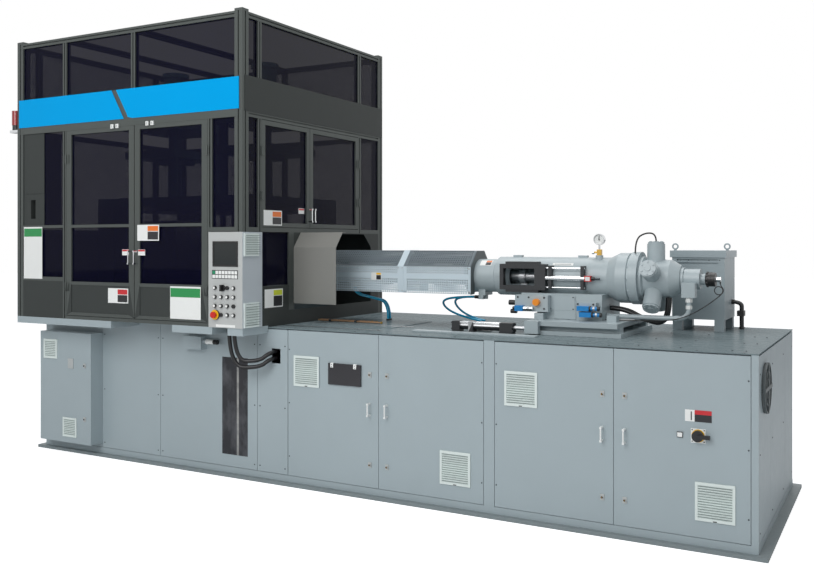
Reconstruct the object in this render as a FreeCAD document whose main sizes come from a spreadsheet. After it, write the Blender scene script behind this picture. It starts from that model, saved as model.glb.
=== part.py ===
"""One-step injection stretch blow moulding machine, in millimetres.

X runs along the machine towards the injection drive, Y to the back and Z up.
The origin is the centre of the floor plate's footprint, on the floor.
"""
import FreeCAD, Part
import math
import os
import re
import Sketcher
from FreeCAD import Placement, Rotation, Vector

# Each row is a size's name, its value and what it measures.
SIZES = (
    # floor plate and cabinet
    ("base_long", 5490, "floor plate length"),
    ("base_wide", 1650, "floor plate width"),
    ("base_thick", 22, "floor plate thickness"),
    ("end_margin", 51, "floor plate beyond the cabinet ends"),
    ("front_margin", 37, "floor plate beyond the cabinet front"),
    ("back_margin", 50, "floor plate beyond the cabinet back"),
    ("table_top", 1060, "height of the deck's upper face"),
    ("deck_thick", 6, "deck sheet"),
    ("cover_thick", 3, "cover plate on the deck"),
    ("cover_reach", 117, "barrel guard's left end to the cover plate"),
    ("cover_long", 608, "cover plate length"),
    ("cover_front", 460, "cover plate's front edge to the axis"),
    ("cover_back", 120, "cover plate's back edge to the axis"),
    ("plinth_high", 42, "plinth rail height"),
    ("frame_tube", 50, "square tube of the cabinet frame"),
    ("tray_deep", 20, "folded depth of doors and panels"),
    ("sheet_thick", 2, "door and panel sheet"),
    ("panel_gap", 3, "gap beside each door and panel"),
    ("partition", 4, "partition sheet between the bays"),
    ("bay_one_share", 0.11804, "first panel seam, as a share of the cabinet's length"),
    ("bay_two_share", 0.22921, "second panel seam, as a share of that length"),
    ("bay_three_share", 0.39588, "third panel seam, as a share of that length"),
    ("bay_doors_share", 0.44395, "first door's hinge side, as a share of that length"),
    ("bay_middle_share", 0.71232, "stile between the door pairs, as a share of that length"),
    ("stile_wide", 68, "stile between the door pairs"),
    ("corner_stile", 36, "right corner stile"),
    ("split_one_share", 0.57647, "gap between doors one and two, as a share of that length"),
    ("split_two_share", 0.85895, "gap between doors three and four, as a share of that length"),
    ("slot_wide", 229, "window in the long panel"),
    ("slot_high", 684, "window in the long panel"),
    ("slot_right", 84, "window to the panel's right edge"),
    ("slot_low", 128, "window above the floor plate"),
    ("slot_corner", 14, "clear sheet beyond the window's edges"),
    ("window_thick", 5, "clear sheets of the windows"),
    ("cable_hole_left", 125, "panel seam to the conduit hole"),
    ("cable_hole_wide", 72, "conduit hole in the short panel"),
    ("cable_hole_high", 100, "conduit hole in the short panel"),
    ("cable_hole_low", 794, "conduit hole above the floor plate"),
    ("junction_left", 270, "panel seam to the junction box"),
    ("junction_wide", 171, "junction box"),
    ("junction_low", 879, "junction box underside height"),
    ("junction_high", 92, "junction box"),
    ("junction_deep", 60, "junction box"),
    ("gland_long", 119, "cable gland beside the junction box"),
    ("gland_radius", 15, "cable gland"),
    ("gland_rise", 57, "cable gland above the box's underside"),
    ("vent_side", 205, "square filter grille"),
    ("vent_low", 137, "lower grilles above the floor plate"),
    ("vent_high", 654, "upper grilles above the floor plate"),
    ("vent_proud", 8, "grille in front of the door"),
    ("vent_one_edge", 50, "first door's hinge side to its grille"),
    ("vent_two_edge", 87, "second door's grille to its stile"),
    ("vent_three_edge", 64, "third door's hinge side to its grille"),
    ("vent_four_edge", 114, "fourth door's grille to the cabinet's right end"),
    ("vent_rim", 14, "rim of a grille"),
    ("slat_thick", 5, "louvre thickness"),
    ("slat_deep", 4, "depth of the gaps between louvres"),
    ("flap_wide", 251, "inspection flap"),
    ("flap_high", 140, "inspection flap"),
    ("flap_low", 708, "inspection flap's lower edge"),
    ("flap_edge", 129, "inspection flap to the second door"),
    ("flap_rim", 14, "door sheet behind the flap's edges"),
    ("flap_proud", 12, "flap in front of its door"),
    ("strap_wide", 22, "flap's hinge strap"),
    ("strap_high", 24, "flap's hinge strap"),
    ("strap_left", 20, "first strap to the flap's left edge"),
    ("strap_right", 54, "second strap's left side to the flap's right edge"),
    ("switch_edge", 303, "main switch to the cabinet's right end"),
    ("switch_z", 608, "main switch height"),
    ("switch_plate", 38, "main switch plate, half width"),
    ("switch_radius", 30, "main switch knob"),
    ("switch_deep", 26, "main switch knob"),
    ("switch_lever", 66, "main switch lever from its axis"),
    ("switch_grip", 20, "main switch lever's depth and height"),
    ("fan_radius", 135, "fan guard of the right end"),
    ("fan_back", 230, "fan guard's centre to the front"),
    ("fan_z", 855, "fan guard's centre height"),
    ("fan_sheet", 4, "plate behind the fan guard"),
    ("fan_wire", 10, "width of the fan guard's rings"),
    ("fan_proud", 19, "fan guard's rings in front of the end"),
    ("slat_count", 14, "slats in a grille"),
    ("back_panel_count", 5, "bolted panels of the back"),
    ("end_seam_front", 463, "front to the first seam of the end panels"),
    ("end_seam_back", 1135, "front to the second seam of the end panels"),
    ("lock_wide", 24, "lock escutcheon"),
    ("lock_high", 34, "lock escutcheon"),
    ("lock_upper", 790, "upper lock height"),
    ("lock_lower", 212, "lower lock height"),
    ("lock_edge", 62, "lock to the door's free edge"),
    ("handle_low", 525, "door handle's lower end"),
    ("handle_high", 610, "door handle's upper end"),
    ("handle_thick", 9, "door handle rod diameter"),
    ("handle_proud", 34, "door handle in front of the door"),
    # control box on the left of the front
    ("control_left", 77, "control box to the cabinet's left end"),
    ("control_wide", 560, "control box width"),
    ("control_deep", 118, "control box depth with its door"),
    ("control_low", 98, "control box underside height"),
    ("control_high", 848, "control box height"),
    ("control_door_deep", 18, "control box door thickness"),
    ("small_vent_side", 150, "filter grille of the control box"),
    ("control_vent_left", 44, "upper grille to the control box's left side"),
    ("control_vent_high", 737, "upper grille's underside height"),
    ("control_vent_right", 260, "lower grille to the control box's left side"),
    ("control_vent_low", 143, "lower grille's underside height"),
    ("control_plate_left", 314, "blank plate to the control box's left side"),
    ("control_plate_wide", 60, "blank plate"),
    ("control_plate_high", 76, "blank plate"),
    ("control_plate_low", 671, "blank plate's underside height"),
    ("control_lock_edge", 64, "locks to the control box's right side"),
    ("control_lock_high", 700, "upper lock height"),
    ("control_lock_low", 292, "lower lock height"),
    # enclosure
    ("enclosure_inset", 4, "enclosure inside the cabinet's left end"),
    ("enclosure_long", 2219, "enclosure length"),
    ("enclosure_deep", 1816, "enclosure depth"),
    ("overhang", 273, "enclosure in front of the cabinet"),
    ("enclosure_top", 3175, "top rail height"),
    ("sill_top", 1070, "top of the sill beams"),
    ("sill_high", 50, "sill beam height"),
    ("sill_wide", 60, "sill beam width"),
    ("sill_gap_left", 1013, "left end to the discharge gap in the sill"),
    ("sill_gap_right", 1602, "left end to the other side of that gap"),
    ("post_side", 66, "corner post section"),
    ("rail_side", 40, "rail and mullion section"),
    ("slot_mouth", 10, "mouth of the profile groove"),
    ("slot_deep", 9, "depth of the profile groove"),
    ("cap_high", 16, "post cap height"),
    ("fascia_low", 2525, "fascia's lower edge"),
    ("fascia_high", 213, "fascia height"),
    ("fascia_thick", 6, "fascia thickness"),
    ("fascia_end", 26, "fascia inside the enclosure's ends"),
    ("fascia_round", 40, "rounded corner of the right fascia"),
    ("fascia_split_low", 1145, "left end to the fascia's gap, at its lower edge"),
    ("fascia_split_high", 1021, "left end to the fascia's gap, at its upper edge"),
    ("fascia_split_gap", 46, "gap between the two fascia panels"),
    ("head_rail", 2478, "rail above the doors"),
    ("mid_rail", 1712, "rail at the operator box's top"),
    ("mid_rail_high", 30, "height of that rail"),
    ("front_bay_left", 509, "left bay of the front, with its mullion"),
    ("front_bay_right", 298, "right bay of the front, with its mullion"),
    ("upper_split", 1211, "left end to the second upper mullion"),
    ("side_bay_front", 205, "front bay of the side, with its mullion"),
    ("side_bay_back", 377, "back bay of the side, with its mullion"),
    ("side_door_split", 772, "front to the split of the side doors"),
    ("front_door_split", 1244, "left end to the split of the front doors"),
    ("front_door_gap", 6, "gap between the front doors"),
    ("pillar_front", 513, "front to the bar before the barrel opening"),
    ("pillar_side", 60, "bar before the barrel opening"),
    ("door_bar", 50, "stile of the enclosure doors"),
    ("side_door_bar", 38, "stile of the side doors"),
    ("door_bar_deep", 30, "depth of the door frames"),
    ("door_head_bar", 32, "top bar of the enclosure doors"),
    ("kick_bar", 24, "bars above and below the steel foot"),
    ("side_foot_bar", 30, "bottom bar of the side doors"),
    ("pane_back", 12, "panes behind the frame's face"),
    ("door_low", 1098, "front doors' lower edge"),
    ("kick_high", 252, "steel foot of the front doors"),
    ("cross_bar_low", 1750, "cross bar of the front doors"),
    ("cross_bar_high", 21, "cross bar of the front doors"),
    ("glass_thick", 5, "tinted panes"),
    ("leaf_gap", 4, "gap around each enclosure door"),
    ("front_grip_edge", 24, "front doors' handle to their free edge"),
    ("front_grip_low", 1484, "front doors' handle, lower end height"),
    ("front_grip_high", 1582, "front doors' handle, upper end height"),
    ("side_grip_edge", 18, "side doors' handle to their free edge"),
    ("side_grip_low", 1786, "side doors' handle, lower end height"),
    ("side_grip_high", 1886, "side doors' handle, upper end height"),
    ("hinge_radius", 6, "hinge barrel"),
    ("hinge_high", 62, "hinge height"),
    ("hinge_wide", 26, "hinge plate width"),
    ("hinge_frame_wide", 10, "hinge plate on the frame"),
    ("hinge_leaf", 4, "hinge plate thickness"),
    ("hinge_end", 180, "hinges to the door's ends"),
    ("skirt_high", 103, "side skirt height above the deck"),
    ("wall_sheet", 3, "fixed steel sheets of the enclosure"),
    ("cutout_front", 575, "side opening to the enclosure's front"),
    ("cutout_wide", 1055, "side opening width"),
    ("cutout_chamfer", 107, "chamfered corners of the opening"),
    ("hood_long", 359, "guard beside the opening"),
    ("hood_low", 1206, "guard's lower edge"),
    ("hood_sheet", 3, "guard sheet"),
    ("hood_top_long", 40, "flat top of the guard"),
    ("brow_lean", 22, "upright part of the guard's slanted corner"),
    ("column_wide", 231, "steel column width"),
    ("column_deep", 160, "steel column depth"),
    ("column_back", 6, "steel column behind the frame's face"),
    ("column_seam", 2010, "seam across the steel column"),
    ("column_slot_left", 82, "steel column's left side to its slot"),
    ("column_slot_wide", 52, "slot in the steel column"),
    ("column_slot_low", 1822, "slot's lower edge height"),
    ("column_slot_high", 1966, "slot's upper edge height"),
    ("column_slot_deep", 44, "slot in the steel column"),
    # beacon at the enclosure's left end
    ("beacon_reach", 55, "lamp's centre to the enclosure's left end"),
    ("beacon_back", 30, "lamp's centre to the enclosure's front"),
    ("beacon_low", 2496, "bracket's underside height"),
    ("beacon_bracket", 20, "bracket thickness"),
    ("beacon_arm", 90, "bracket length"),
    ("beacon_foot_high", 40, "lamp's foot"),
    ("beacon_foot", 27, "lamp's foot radius"),
    ("beacon_lens", 31, "lamp's lens radius"),
    ("beacon_lens_high", 112, "lamp's lens"),
    # operator box
    ("box_wide", 290, "operator box width"),
    ("box_deep", 209, "operator box depth"),
    ("box_high", 639, "operator box height"),
    ("box_proud", 8, "operator box in front of the frame"),
    ("screen_wide", 215, "touch screen width"),
    ("screen_high", 169, "touch screen height"),
    ("screen_top", 62, "touch screen below the box's top"),
    ("screen_proud", 4, "touch screen in front of the box"),
    ("screen_bezel", 12, "screen's bezel width"),
    ("screen_sunk", 2, "screen surface to the box's face"),
    ("key_pitch", 27, "keypad pitch"),
    ("key_side", 22, "keypad key"),
    ("key_top", 254, "keypad below the box's top"),
    ("key_row_count", 2, "keypad rows"),
    ("key_column_count", 8, "keypad columns"),
    ("button_radius", 13, "push button"),
    ("button_pitch_x", 53, "push button columns"),
    ("button_pitch_z", 60, "push button rows"),
    ("button_top", 373, "first button row below the box's top"),
    ("button_side", 59, "first button column to the box's left"),
    ("button_proud", 12, "push button in front of the box"),
    ("stop_radius", 21, "emergency stop mushroom"),
    ("stop_ring", 33, "emergency stop ring"),
    ("stop_travel", 8, "emergency stop travel"),
    ("stop_collar", 14, "emergency stop collar"),
    ("stop_stem", 12, "emergency stop stem"),
    ("stop_head", 14, "emergency stop mushroom thickness"),
    ("stop_shift", 6, "emergency stop beside its column"),
    ("selector_radius", 22, "selector switch"),
    ("selector_shift", 13, "selector switch beside its column"),
    ("selector_low", 12, "selector switch's disc"),
    ("selector_high", 30, "selector switch with its grip"),
    ("box_vent_count", 10, "gaps in each side grille of the box"),
    ("box_vent_pitch", 13, "their pitch"),
    ("box_vent_gap", 8, "height of each gap"),
    ("box_vent_front", 12, "side grilles to the box's front"),
    ("box_vent_wide", 155, "side grille width"),
    ("box_vent_high", 151, "upper side grille"),
    ("box_vent_low", 164, "lower side grille"),
    ("box_vent_rim", 12, "rim of a side grille"),
    # forming mechanism inside the enclosure
    ("table_reach", 1114, "cabinet's left end to the rotary table's centre"),
    ("station_reach", 470, "stations to the table centre"),
    ("bed_high", 120, "machine bed height"),
    ("bed_long", 1560, "machine bed length"),
    ("bed_wide", 1120, "machine bed width"),
    ("pedestal_half", 190, "pedestal under the blow mould, half its length"),
    ("pedestal_wide", 640, "pedestal under the blow mould"),
    ("pillar_wide", 180, "pillars under the upper base"),
    ("upper_base_low", 1930, "upper base underside"),
    ("upper_base_thick", 60, "upper base thickness"),
    ("window_long", 330, "station window in the upper base"),
    ("window_wide", 250, "station window in the upper base"),
    ("table_radius", 650, "rotary table radius"),
    ("table_thick", 42, "rotary table thickness"),
    ("table_gap", 6, "gap above the rotary table"),
    ("table_window", 220, "windows of the rotary table, towards its centre"),
    ("table_window_lap", 12, "upper base's window beyond the table's"),
    ("table_hub", 90, "rotary table's hub"),
    ("column_radius", 38, "tie columns"),
    ("column_x", 210, "tie column to its station, along the machine"),
    ("column_y", 250, "tie column to its station, across"),
    ("column_nut", 40, "tie columns above the clamp head"),
    ("head_low", 2560, "underside of the clamp head"),
    ("head_thick", 80, "clamp head thickness"),
    ("head_lap", 75, "clamp head beyond its columns"),
    ("head_cap", 36, "cap of the clamp cylinder"),
    ("head_cap_lip", 14, "cap beyond the clamp cylinder"),
    ("platen_low", 2330, "moving platen underside"),
    ("platen_thick", 60, "moving platen thickness"),
    ("platen_lap", 60, "moving platen beyond its columns"),
    ("holder_side", 220, "tool holder under the platen"),
    ("holder_high", 40, "tool holder under the platen"),
    ("ram_short", 120, "ram's end below the cylinder's top"),
    ("cylinder_radius", 95, "clamp cylinder"),
    ("cylinder_high", 380, "clamp cylinder"),
    ("ram_radius", 32, "clamp ram"),
    ("core_radius", 15, "core rods"),
    ("core_long", 290, "core rods"),
    ("core_pitch", 150, "core rods and injection cavities"),
    ("bottle_pitch", 160, "blow cavities"),
    ("stretch_long", 290, "stretch rods"),
    ("stretch_radius", 7, "stretch rods"),
    ("mould_low", 1400, "blow mould underside"),
    ("mould_high", 420, "blow mould height"),
    ("mould_long", 360, "blow mould length"),
    ("mould_deep", 190, "depth of each mould half"),
    ("bottle_radius", 36, "bottle cavity"),
    ("bottle_high", 250, "bottle cavity"),
    ("bottle_low", 60, "cavity's floor above the mould's underside"),
    ("bottle_shoulder", 70, "bottle's sloped shoulder"),
    ("bottle_foot", 6, "bottle's narrower foot"),
    ("bottle_foot_high", 8, "bottle's narrower foot"),
    ("neck_radius", 14, "bottle neck"),
    ("running_gap", 0.3, "clearance of sliding fits"),
    ("manifold_high", 320, "hot runner block above the bed"),
    ("manifold_left", 170, "hot runner block beyond its station"),
    ("manifold_wide", 460, "hot runner block"),
    ("cavity_block_long", 300, "injection mould"),
    ("cavity_block_wide", 400, "injection mould"),
    ("cavity_block_high", 300, "injection mould"),
    ("cavity_deep", 160, "injection cavities"),
    ("cavity_room", 6, "injection cavities round the core rods"),
    # injection unit
    ("axis_z", 1412, "injection axis height"),
    ("bed_plate_reach", 546, "cylinder's flange to the guide bed"),
    ("bed_plate_long", 620, "guide bed of the injection unit"),
    ("bed_plate_wide", 760, "guide bed of the injection unit"),
    ("bed_plate_thick", 26, "guide bed of the injection unit"),
    ("rail_high", 30, "guide rails"),
    ("rail_wide", 60, "guide rails"),
    ("rail_apart", 600, "guide rails, centre to centre"),
    ("rail_short", 15, "guide rails inside the guide bed's ends"),
    ("strip_reach", 226, "traverse cylinder to the strip's left end"),
    ("strip_long", 852, "strip on the deck"),
    ("strip_front", 575, "strip's front edge to the axis"),
    ("strip_wide", 75, "strip on the deck"),
    ("strip_thick", 8, "strip on the deck"),
    ("slide_thick", 30, "carriage foot"),
    ("slide_wide", 780, "carriage foot"),
    ("slide_inset", 20, "carriage foot inside the guide bed's ends"),
    ("body_reach", 456, "cylinder's flange to the carriage casting"),
    ("body_long", 540, "carriage casting"),
    ("body_wide", 400, "carriage casting"),
    ("body_top", 1310, "carriage casting's top edges"),
    ("console_low", 60, "console's underside above the carriage foot"),
    ("body_cover_left", 225, "casting's left end to its cover"),
    ("body_cover_long", 146, "casting's cover"),
    ("body_cover_thick", 6, "casting's cover"),
    ("body_cover_drop", 40, "cover below the casting's top"),
    ("step_long", 60, "clamping steps of the foot"),
    ("step_wide", 70, "clamping steps of the foot"),
    ("step_high", 40, "clamping steps of the foot"),
    ("step_left", 6, "foot's left end to the first step"),
    ("step_right", 100, "second step's left side to the foot's right end"),
    ("barrel_long", 1599, "nozzle tip to the cylinder's flange"),
    ("housing_radius", 113, "front housing"),
    ("housing_long", 218, "front housing"),
    ("housing_flange", 10, "flange round the front housing"),
    ("flange_thick", 22, "flange round the front housing"),
    ("housing_step", 12, "slope behind the front housing"),
    ("clamp_left", 86, "flange to the clamp under the housing"),
    ("clamp_long", 50, "clamp under the housing"),
    ("clamp_wide", 124, "clamp under the housing"),
    ("clamp_high", 22, "clamp under the housing"),
    ("elbow_side", 32, "water elbows"),
    ("elbow_deep", 28, "water elbows"),
    ("elbow_high", 30, "water elbows"),
    ("elbow_shift", 10, "second elbow beside the first, along the axis"),
    ("elbow_step", 40, "second elbow behind the first"),
    ("barrel_end_radius", 130, "injection cylinder"),
    ("cylinder_long", 1001, "injection cylinder with its housing"),
    ("bore_floor", 30, "front housing's end to the cylinder's bore"),
    ("lug_long", 60, "lifting lugs"),
    ("lug_wide", 40, "lifting lugs"),
    ("lug_high", 12, "lifting lugs above the cylinder"),
    ("lug_left", 108, "front housing's end to the first lug"),
    ("lug_right", 220, "second lug's left side to the cylinder's right end"),
    ("boss_radius", 24, "gauge boss"),
    ("boss_high", 14, "gauge boss above the cylinder"),
    ("drum_radius", 160, "drum before the motor"),
    ("drum_flange", 167, "flange before the motor"),
    ("drum_long", 197, "drum between the cylinder and the motor"),
    ("drum_cone", 62, "cone between the cylinder and the drum"),
    ("drum_groove", 8, "groove before the flange"),
    ("drum_edge", 4, "slopes of that groove"),
    ("drum_plate", 54, "flange thickness"),
    ("motor_long", 245, "motor housing"),
    ("motor_radius", 118, "motor housing"),
    ("motor_lip", 20, "lip where the motor meets the drum"),
    ("motor_cone", 60, "motor's narrowing end"),
    ("motor_narrow", 34, "how far it narrows"),
    ("motor_room", 40, "room for the coupling in the motor"),
    ("motor_bore", 10, "motor shaft's bore"),
    ("lobe_radius", 55, "motor cylinders"),
    ("lobe_reach", 230, "motor cylinders from the axis"),
    ("lobe_place", 86, "drum to the motor cylinders' centre"),
    ("lobe_root", 70, "motor cylinders' inner end to the axis"),
    ("lobe_cap", 12, "stepped cap of the motor cylinders"),
    ("lobe_cap_step", 5, "cap inside the cylinder's edge"),
    ("lobe_count", 5, "motor cylinders"),
    ("tail_long", 115, "distributor behind the motor"),
    ("tail_radius", 63, "distributor behind the motor"),
    ("tail_lip", 8, "distributor's flange beyond its body"),
    ("tail_flange", 18, "distributor's flange"),
    ("neck_long", 30, "neck before the encoder"),
    ("neck_wide", 34, "radius of that neck"),
    ("valve_left", 22, "motor to its valve block"),
    ("valve_long", 80, "valve block"),
    ("valve_out", 60, "valve block in front of the distributor"),
    ("valve_lap", 4, "valve block's seat on the distributor"),
    ("valve_low", 110, "valve block's underside below the axis"),
    ("valve_high", 20, "valve block's top below the axis"),
    ("encoder_long", 58, "encoder"),
    ("encoder_radius", 43, "encoder"),
    ("encoder_edge", 6, "encoder's chamfer"),
    ("encoder_tip", 15, "encoder's tip radius"),
    ("encoder_tip_long", 30, "encoder's tip"),
    ("guard_long", 1168, "barrel guard length"),
    ("guard_lap", 74, "barrel guard over the front housing"),
    ("guard_half", 166, "barrel guard half width"),
    ("guard_top_half", 62, "flat top of the barrel guard, half width"),
    ("guard_low", 1286, "barrel guard's lower edge"),
    ("guard_shoulder", 1472, "where the guard's chamfer begins"),
    ("guard_top", 1582, "barrel guard's top"),
    ("guard_sheet", 3, "barrel guard sheet"),
    ("guard_split", 597, "guard's left end to the joint band"),
    ("guard_band", 48, "joint band between the guard's halves"),
    ("barrel_radius", 62, "heated barrel"),
    ("barrel_bore", 24, "barrel bore"),
    ("nozzle_bore", 6, "nozzle's bore"),
    ("nozzle_point", 14, "nozzle's tip radius"),
    ("nozzle_radius", 26, "nozzle"),
    ("nozzle_cone", 40, "nozzle's tip"),
    ("nozzle_long", 90, "nozzle with its tip"),
    ("bore_start", 80, "nozzle tip to the start of the wide bore"),
    ("heater_radius", 78, "heater bands"),
    ("heater_long", 120, "heater bands"),
    ("heater_count", 6, "heater bands"),
    ("heater_start", 130, "nozzle tip to the first heater band"),
    ("heater_end", 40, "room after the last heater band"),
    ("stub_reach", 150, "barrel guard's left end to the water stubs"),
    ("stub_radius", 9, "water stubs"),
    ("stub_low", 8, "water stubs below the heater bands"),
    ("nozzle_reach", 1789, "cabinet's left end to the nozzle's tip"),
    ("screw_radius", 23.7, "screw"),
    ("screw_start", 102, "nozzle tip to the screw's point"),
    ("screw_point", 30, "screw's point"),
    ("screw_neck", 29, "screw shank in the crosshead"),
    ("screw_shank", 36, "screw shank"),
    ("screw_step", 300, "cylinder's flange to the screw's shank"),
    ("screw_end", 100, "screw's end before the cylinder's right end"),
    ("crosshead_left", 90, "coupling guard's left end to the crosshead"),
    ("crosshead_long", 40, "crosshead"),
    ("crosshead_radius", 52, "crosshead"),
    ("shoe_wide", 24, "crosshead's shoe"),
    ("shoe_lift", 1.5, "shoe above the cylinder's bore"),
    ("cylinder_bore", 62, "bore of the injection cylinder"),
    ("window_reach", 288, "cylinder's flange to the coupling guard"),
    ("coupling_long", 320, "coupling guard"),
    ("coupling_high", 170, "coupling guard"),
    ("coupling_front", 170, "coupling guard's front face to the axis"),
    ("coupling_deep", 60, "coupling guard"),
    ("coupling_bar", 26, "guard's left side to its window"),
    ("coupling_wall", 74, "window to the guard's right side"),
    ("coupling_window", 112, "height of the guard's window"),
    ("brow_left", 40, "guard's left side to its brows"),
    ("brow_right", 50, "brows to the guard's right side"),
    ("brow_back", 6, "brows behind the guard's face"),
    ("brow_high", 16, "brows above and below the window"),
    ("scale_long", 260, "stroke scale beside the coupling guard"),
    ("scale_radius", 17, "stroke scale's tube"),
    ("scale_drop", 4, "stroke scale's tube below the axis"),
    ("scale_back", 18, "scale behind the guard's face"),
    ("scale_rod", 6, "rods beside the scale"),
    ("scale_rod_high", 60, "upper rod above the axis"),
    ("scale_rod_low", 65, "lower rod below the axis"),
    ("scale_head_long", 42, "sensor block at the scale's end"),
    ("scale_head_deep", 32, "sensor block"),
    ("scale_head_low", 22, "sensor block below the axis"),
    ("scale_head_high", 14, "sensor block above the axis"),
    ("bracket_thick", 20, "brackets of the rods"),
    ("bracket_high", 76, "brackets above and below the axis"),
    ("bracket_end", 24, "last bracket's left side to the rods' end"),
    ("gauge_reach", 70, "pressure gauge to the cylinder's right end"),
    ("gauge_z", 1659, "pressure gauge centre"),
    ("gauge_radius", 36, "pressure gauge"),
    ("gauge_y", 40, "pressure gauge in front of the axis"),
    ("gauge_front", 18, "gauge's face to its stem"),
    ("gauge_back", 14, "gauge's back to its stem"),
    ("gauge_rim", 4, "gauge's rim"),
    ("gauge_sunk", 10, "dial behind the rim's edge"),
    ("gauge_stem", 6, "gauge's stem and its valve's spindle"),
    ("gauge_valve", 28, "valve under the gauge"),
    ("gauge_valve_high", 38, "valve under the gauge"),
    ("gauge_wheel", 12, "valve's wheel"),
    ("gauge_spindle", 34, "stem to the valve's wheel"),
    ("gauge_wheel_thick", 14, "valve's wheel"),
    ("block_lap", 20, "valve block before the casting"),
    ("block_long", 225, "valve block on the casting's front"),
    ("block_deep", 62, "valve block on the casting's front"),
    ("knob_long", 52, "upper adjusting knob of the valve block"),
    ("knob_one_drop", 63, "upper adjusting knob below the casting's top"),
    ("knob_two_drop", 120, "lower adjusting knob below the casting's top"),
    ("knob_front", 132, "casting's left end to the front knob"),
    ("knob_front_drop", 54, "front knob below the casting's top"),
    ("knob_proud", 30, "front knob"),
    ("knob_radius", 22, "front knob"),
    ("valve_block_left", 390, "casting's left end to the solenoid block"),
    ("valve_block_long", 126, "solenoid block"),
    ("valve_block_deep", 52, "solenoid block"),
    ("coil_shift", 15, "each solenoid beside the one above it"),
    ("coil_drop", 84, "upper solenoid below the casting's top"),
    ("coil_step", 38, "solenoids, centre to centre"),
    ("coil_base", 76, "solenoid's square base"),
    ("coil_end", 132, "solenoid with its base"),
    ("coil_proud", 40, "solenoids in front of their block"),
    ("coil_radius", 12, "solenoid"),
    ("traverse_y", -412, "traverse cylinder"),
    ("traverse_z", 1098, "traverse cylinder"),
    ("traverse_reach", 478, "traverse cylinder to the guide bed"),
    ("traverse_long", 420, "traverse cylinder"),
    ("traverse_radius", 24, "traverse cylinder"),
    ("traverse_rod", 12, "traverse rod"),
    ("traverse_flange", 32, "heads of the traverse cylinder, half width"),
    ("traverse_head", 56, "left head"),
    ("traverse_middle", 118, "left end to the middle head"),
    ("traverse_middle_long", 32, "middle head"),
    ("traverse_right_head", 86, "right head"),
    ("rod_eye_long", 90, "plate that joins the rod to the foot"),
    ("rod_eye_wide", 40, "plate that joins the rod to the foot"),
    # hoses and cables
    ("pipe_radius", 15, "steel pipe at the motor's valve"),
    ("hose_radius", 14, "hydraulic hoses and conduits"),
    ("cable_radius", 5, "motor cable"),
    ("pipe_out", 95, "steel pipe in front of the axis"),
    ("pipe_drop", 138, "casting's top to the steel pipe"),
    ("hose_drop", 94, "casting's top to the hydraulic hoses"),
    ("hose_left", 24, "left hydraulic hose behind the axis"),
    ("hose_right", 20, "right hydraulic hose in front of the axis"),
    ("port_place", 165, "drum to the motor's ports"),
    ("thin_cable", 3, "encoder's cable"),
    ("curl_radius", 29, "corners of the curl in the encoder's cable"),
    ("curl_pitch", 18, "a turn of that curl towards the front"),
    ("curl_edge", 11, "encoder's end to the curl's centre"),
    ("curl_drop", 67, "axis to the curl's centre"),
    ("water_radius", 8, "water hoses"),
    ("supply_radius", 12, "transformer cables"),
    ("supply_step", 28, "transformer cables, centre to centre"),
    ("supply_z", 1240, "transformer cables' height"),
    ("supply_reach", 62, "transformer cables beside the cabinet"),
    ("conduit_step", 44, "conduits, centre to centre"),
    ("conduit_low", 792, "first conduit's lowest height"),
    # transformer cabinet on the deck
    ("trafo_margin", 698, "transformer cabinet's left side to the cabinet's right end"),
    ("trafo_long", 334, "transformer cabinet"),
    ("trafo_front", 415, "transformer cabinet's front to the cabinet's back"),
    ("trafo_deep", 385, "transformer cabinet"),
    ("trafo_low", 1135, "transformer cabinet underside"),
    ("trafo_high", 406, "transformer cabinet height"),
    ("trafo_lid", 45, "transformer cabinet lid"),
    ("trafo_lip", 12, "lid beyond the cabinet"),
    ("trafo_leg", 60, "transformer's legs"),
    ("trafo_leg_inset", 4, "legs inside the cabinet's sides"),
    ("trafo_slot_left", 30, "louvres to the left side"),
    ("trafo_slot_right", 40, "louvres to the right side"),
    ("trafo_slot_count", 2, "louvres under the lid"),
    ("trafo_slot_top", 12, "first louvre under the lid"),
    ("trafo_slot_high", 10, "louvre"),
    ("trafo_slot_pitch", 22, "louvres"),
    ("trafo_slot_deep", 12, "louvre"),
    ("eye_radius", 17, "eye bolt ring"),
    ("eye_wire", 5, "eye bolt wire radius"),
    ("eye_shank", 9, "eye bolt's collar"),
    ("eye_shank_high", 8, "eye bolt's collar"),
)

os.makedirs("parts", exist_ok=True)
doc = FreeCAD.newDocument("BlowMouldingMachine")
sheet = doc.addObject("Spreadsheet::Sheet", "Sizes")
for row, (name, size, meaning) in enumerate(SIZES, start=1):
    sheet.set(f"A{row}", name)
    sheet.set(f"B{row}", str(size))
    sheet.set(f"C{row}", meaning)
    sheet.setAlias(f"B{row}", name)
doc.recompute()

WORD = re.compile(r"\b(" + "|".join(sorted((row[0] for row in SIZES), key=len, reverse=True)) + r")\b")
nodes = []
frame_plates = []

# ---------------------------------------------------------------- helpers


def bind(text):
    """The expression for the sheet: each size's name becomes a reference to its cell."""
    return WORD.sub(r"Sizes.\1", str(text))


def number(text):
    """The value of an expression, for counts and for shapes made by code."""
    return float(sheet.evalExpression(bind(text)))


def place(solid, **where):
    """Bind the origin of a solid to expressions."""
    for axis, text in where.items():
        solid.setExpression(f".Placement.Base.{axis}", bind(text))
    return solid


def box(x, y, z, name="block"):
    """A block between the low and high value given for each axis."""
    solid = doc.addObject("Part::Box", name)
    for side, (low, high) in zip(("Length", "Width", "Height"), (x, y, z)):
        solid.setExpression(side, bind(f"({high}) - ({low})"))
    return place(solid, x=x[0], y=y[0], z=z[0])


TURNS = {
    "x": Rotation(Vector(0, 1, 0), 90),
    "y": Rotation(Vector(1, 0, 0), -90),
    "z": Rotation(),
}


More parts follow.
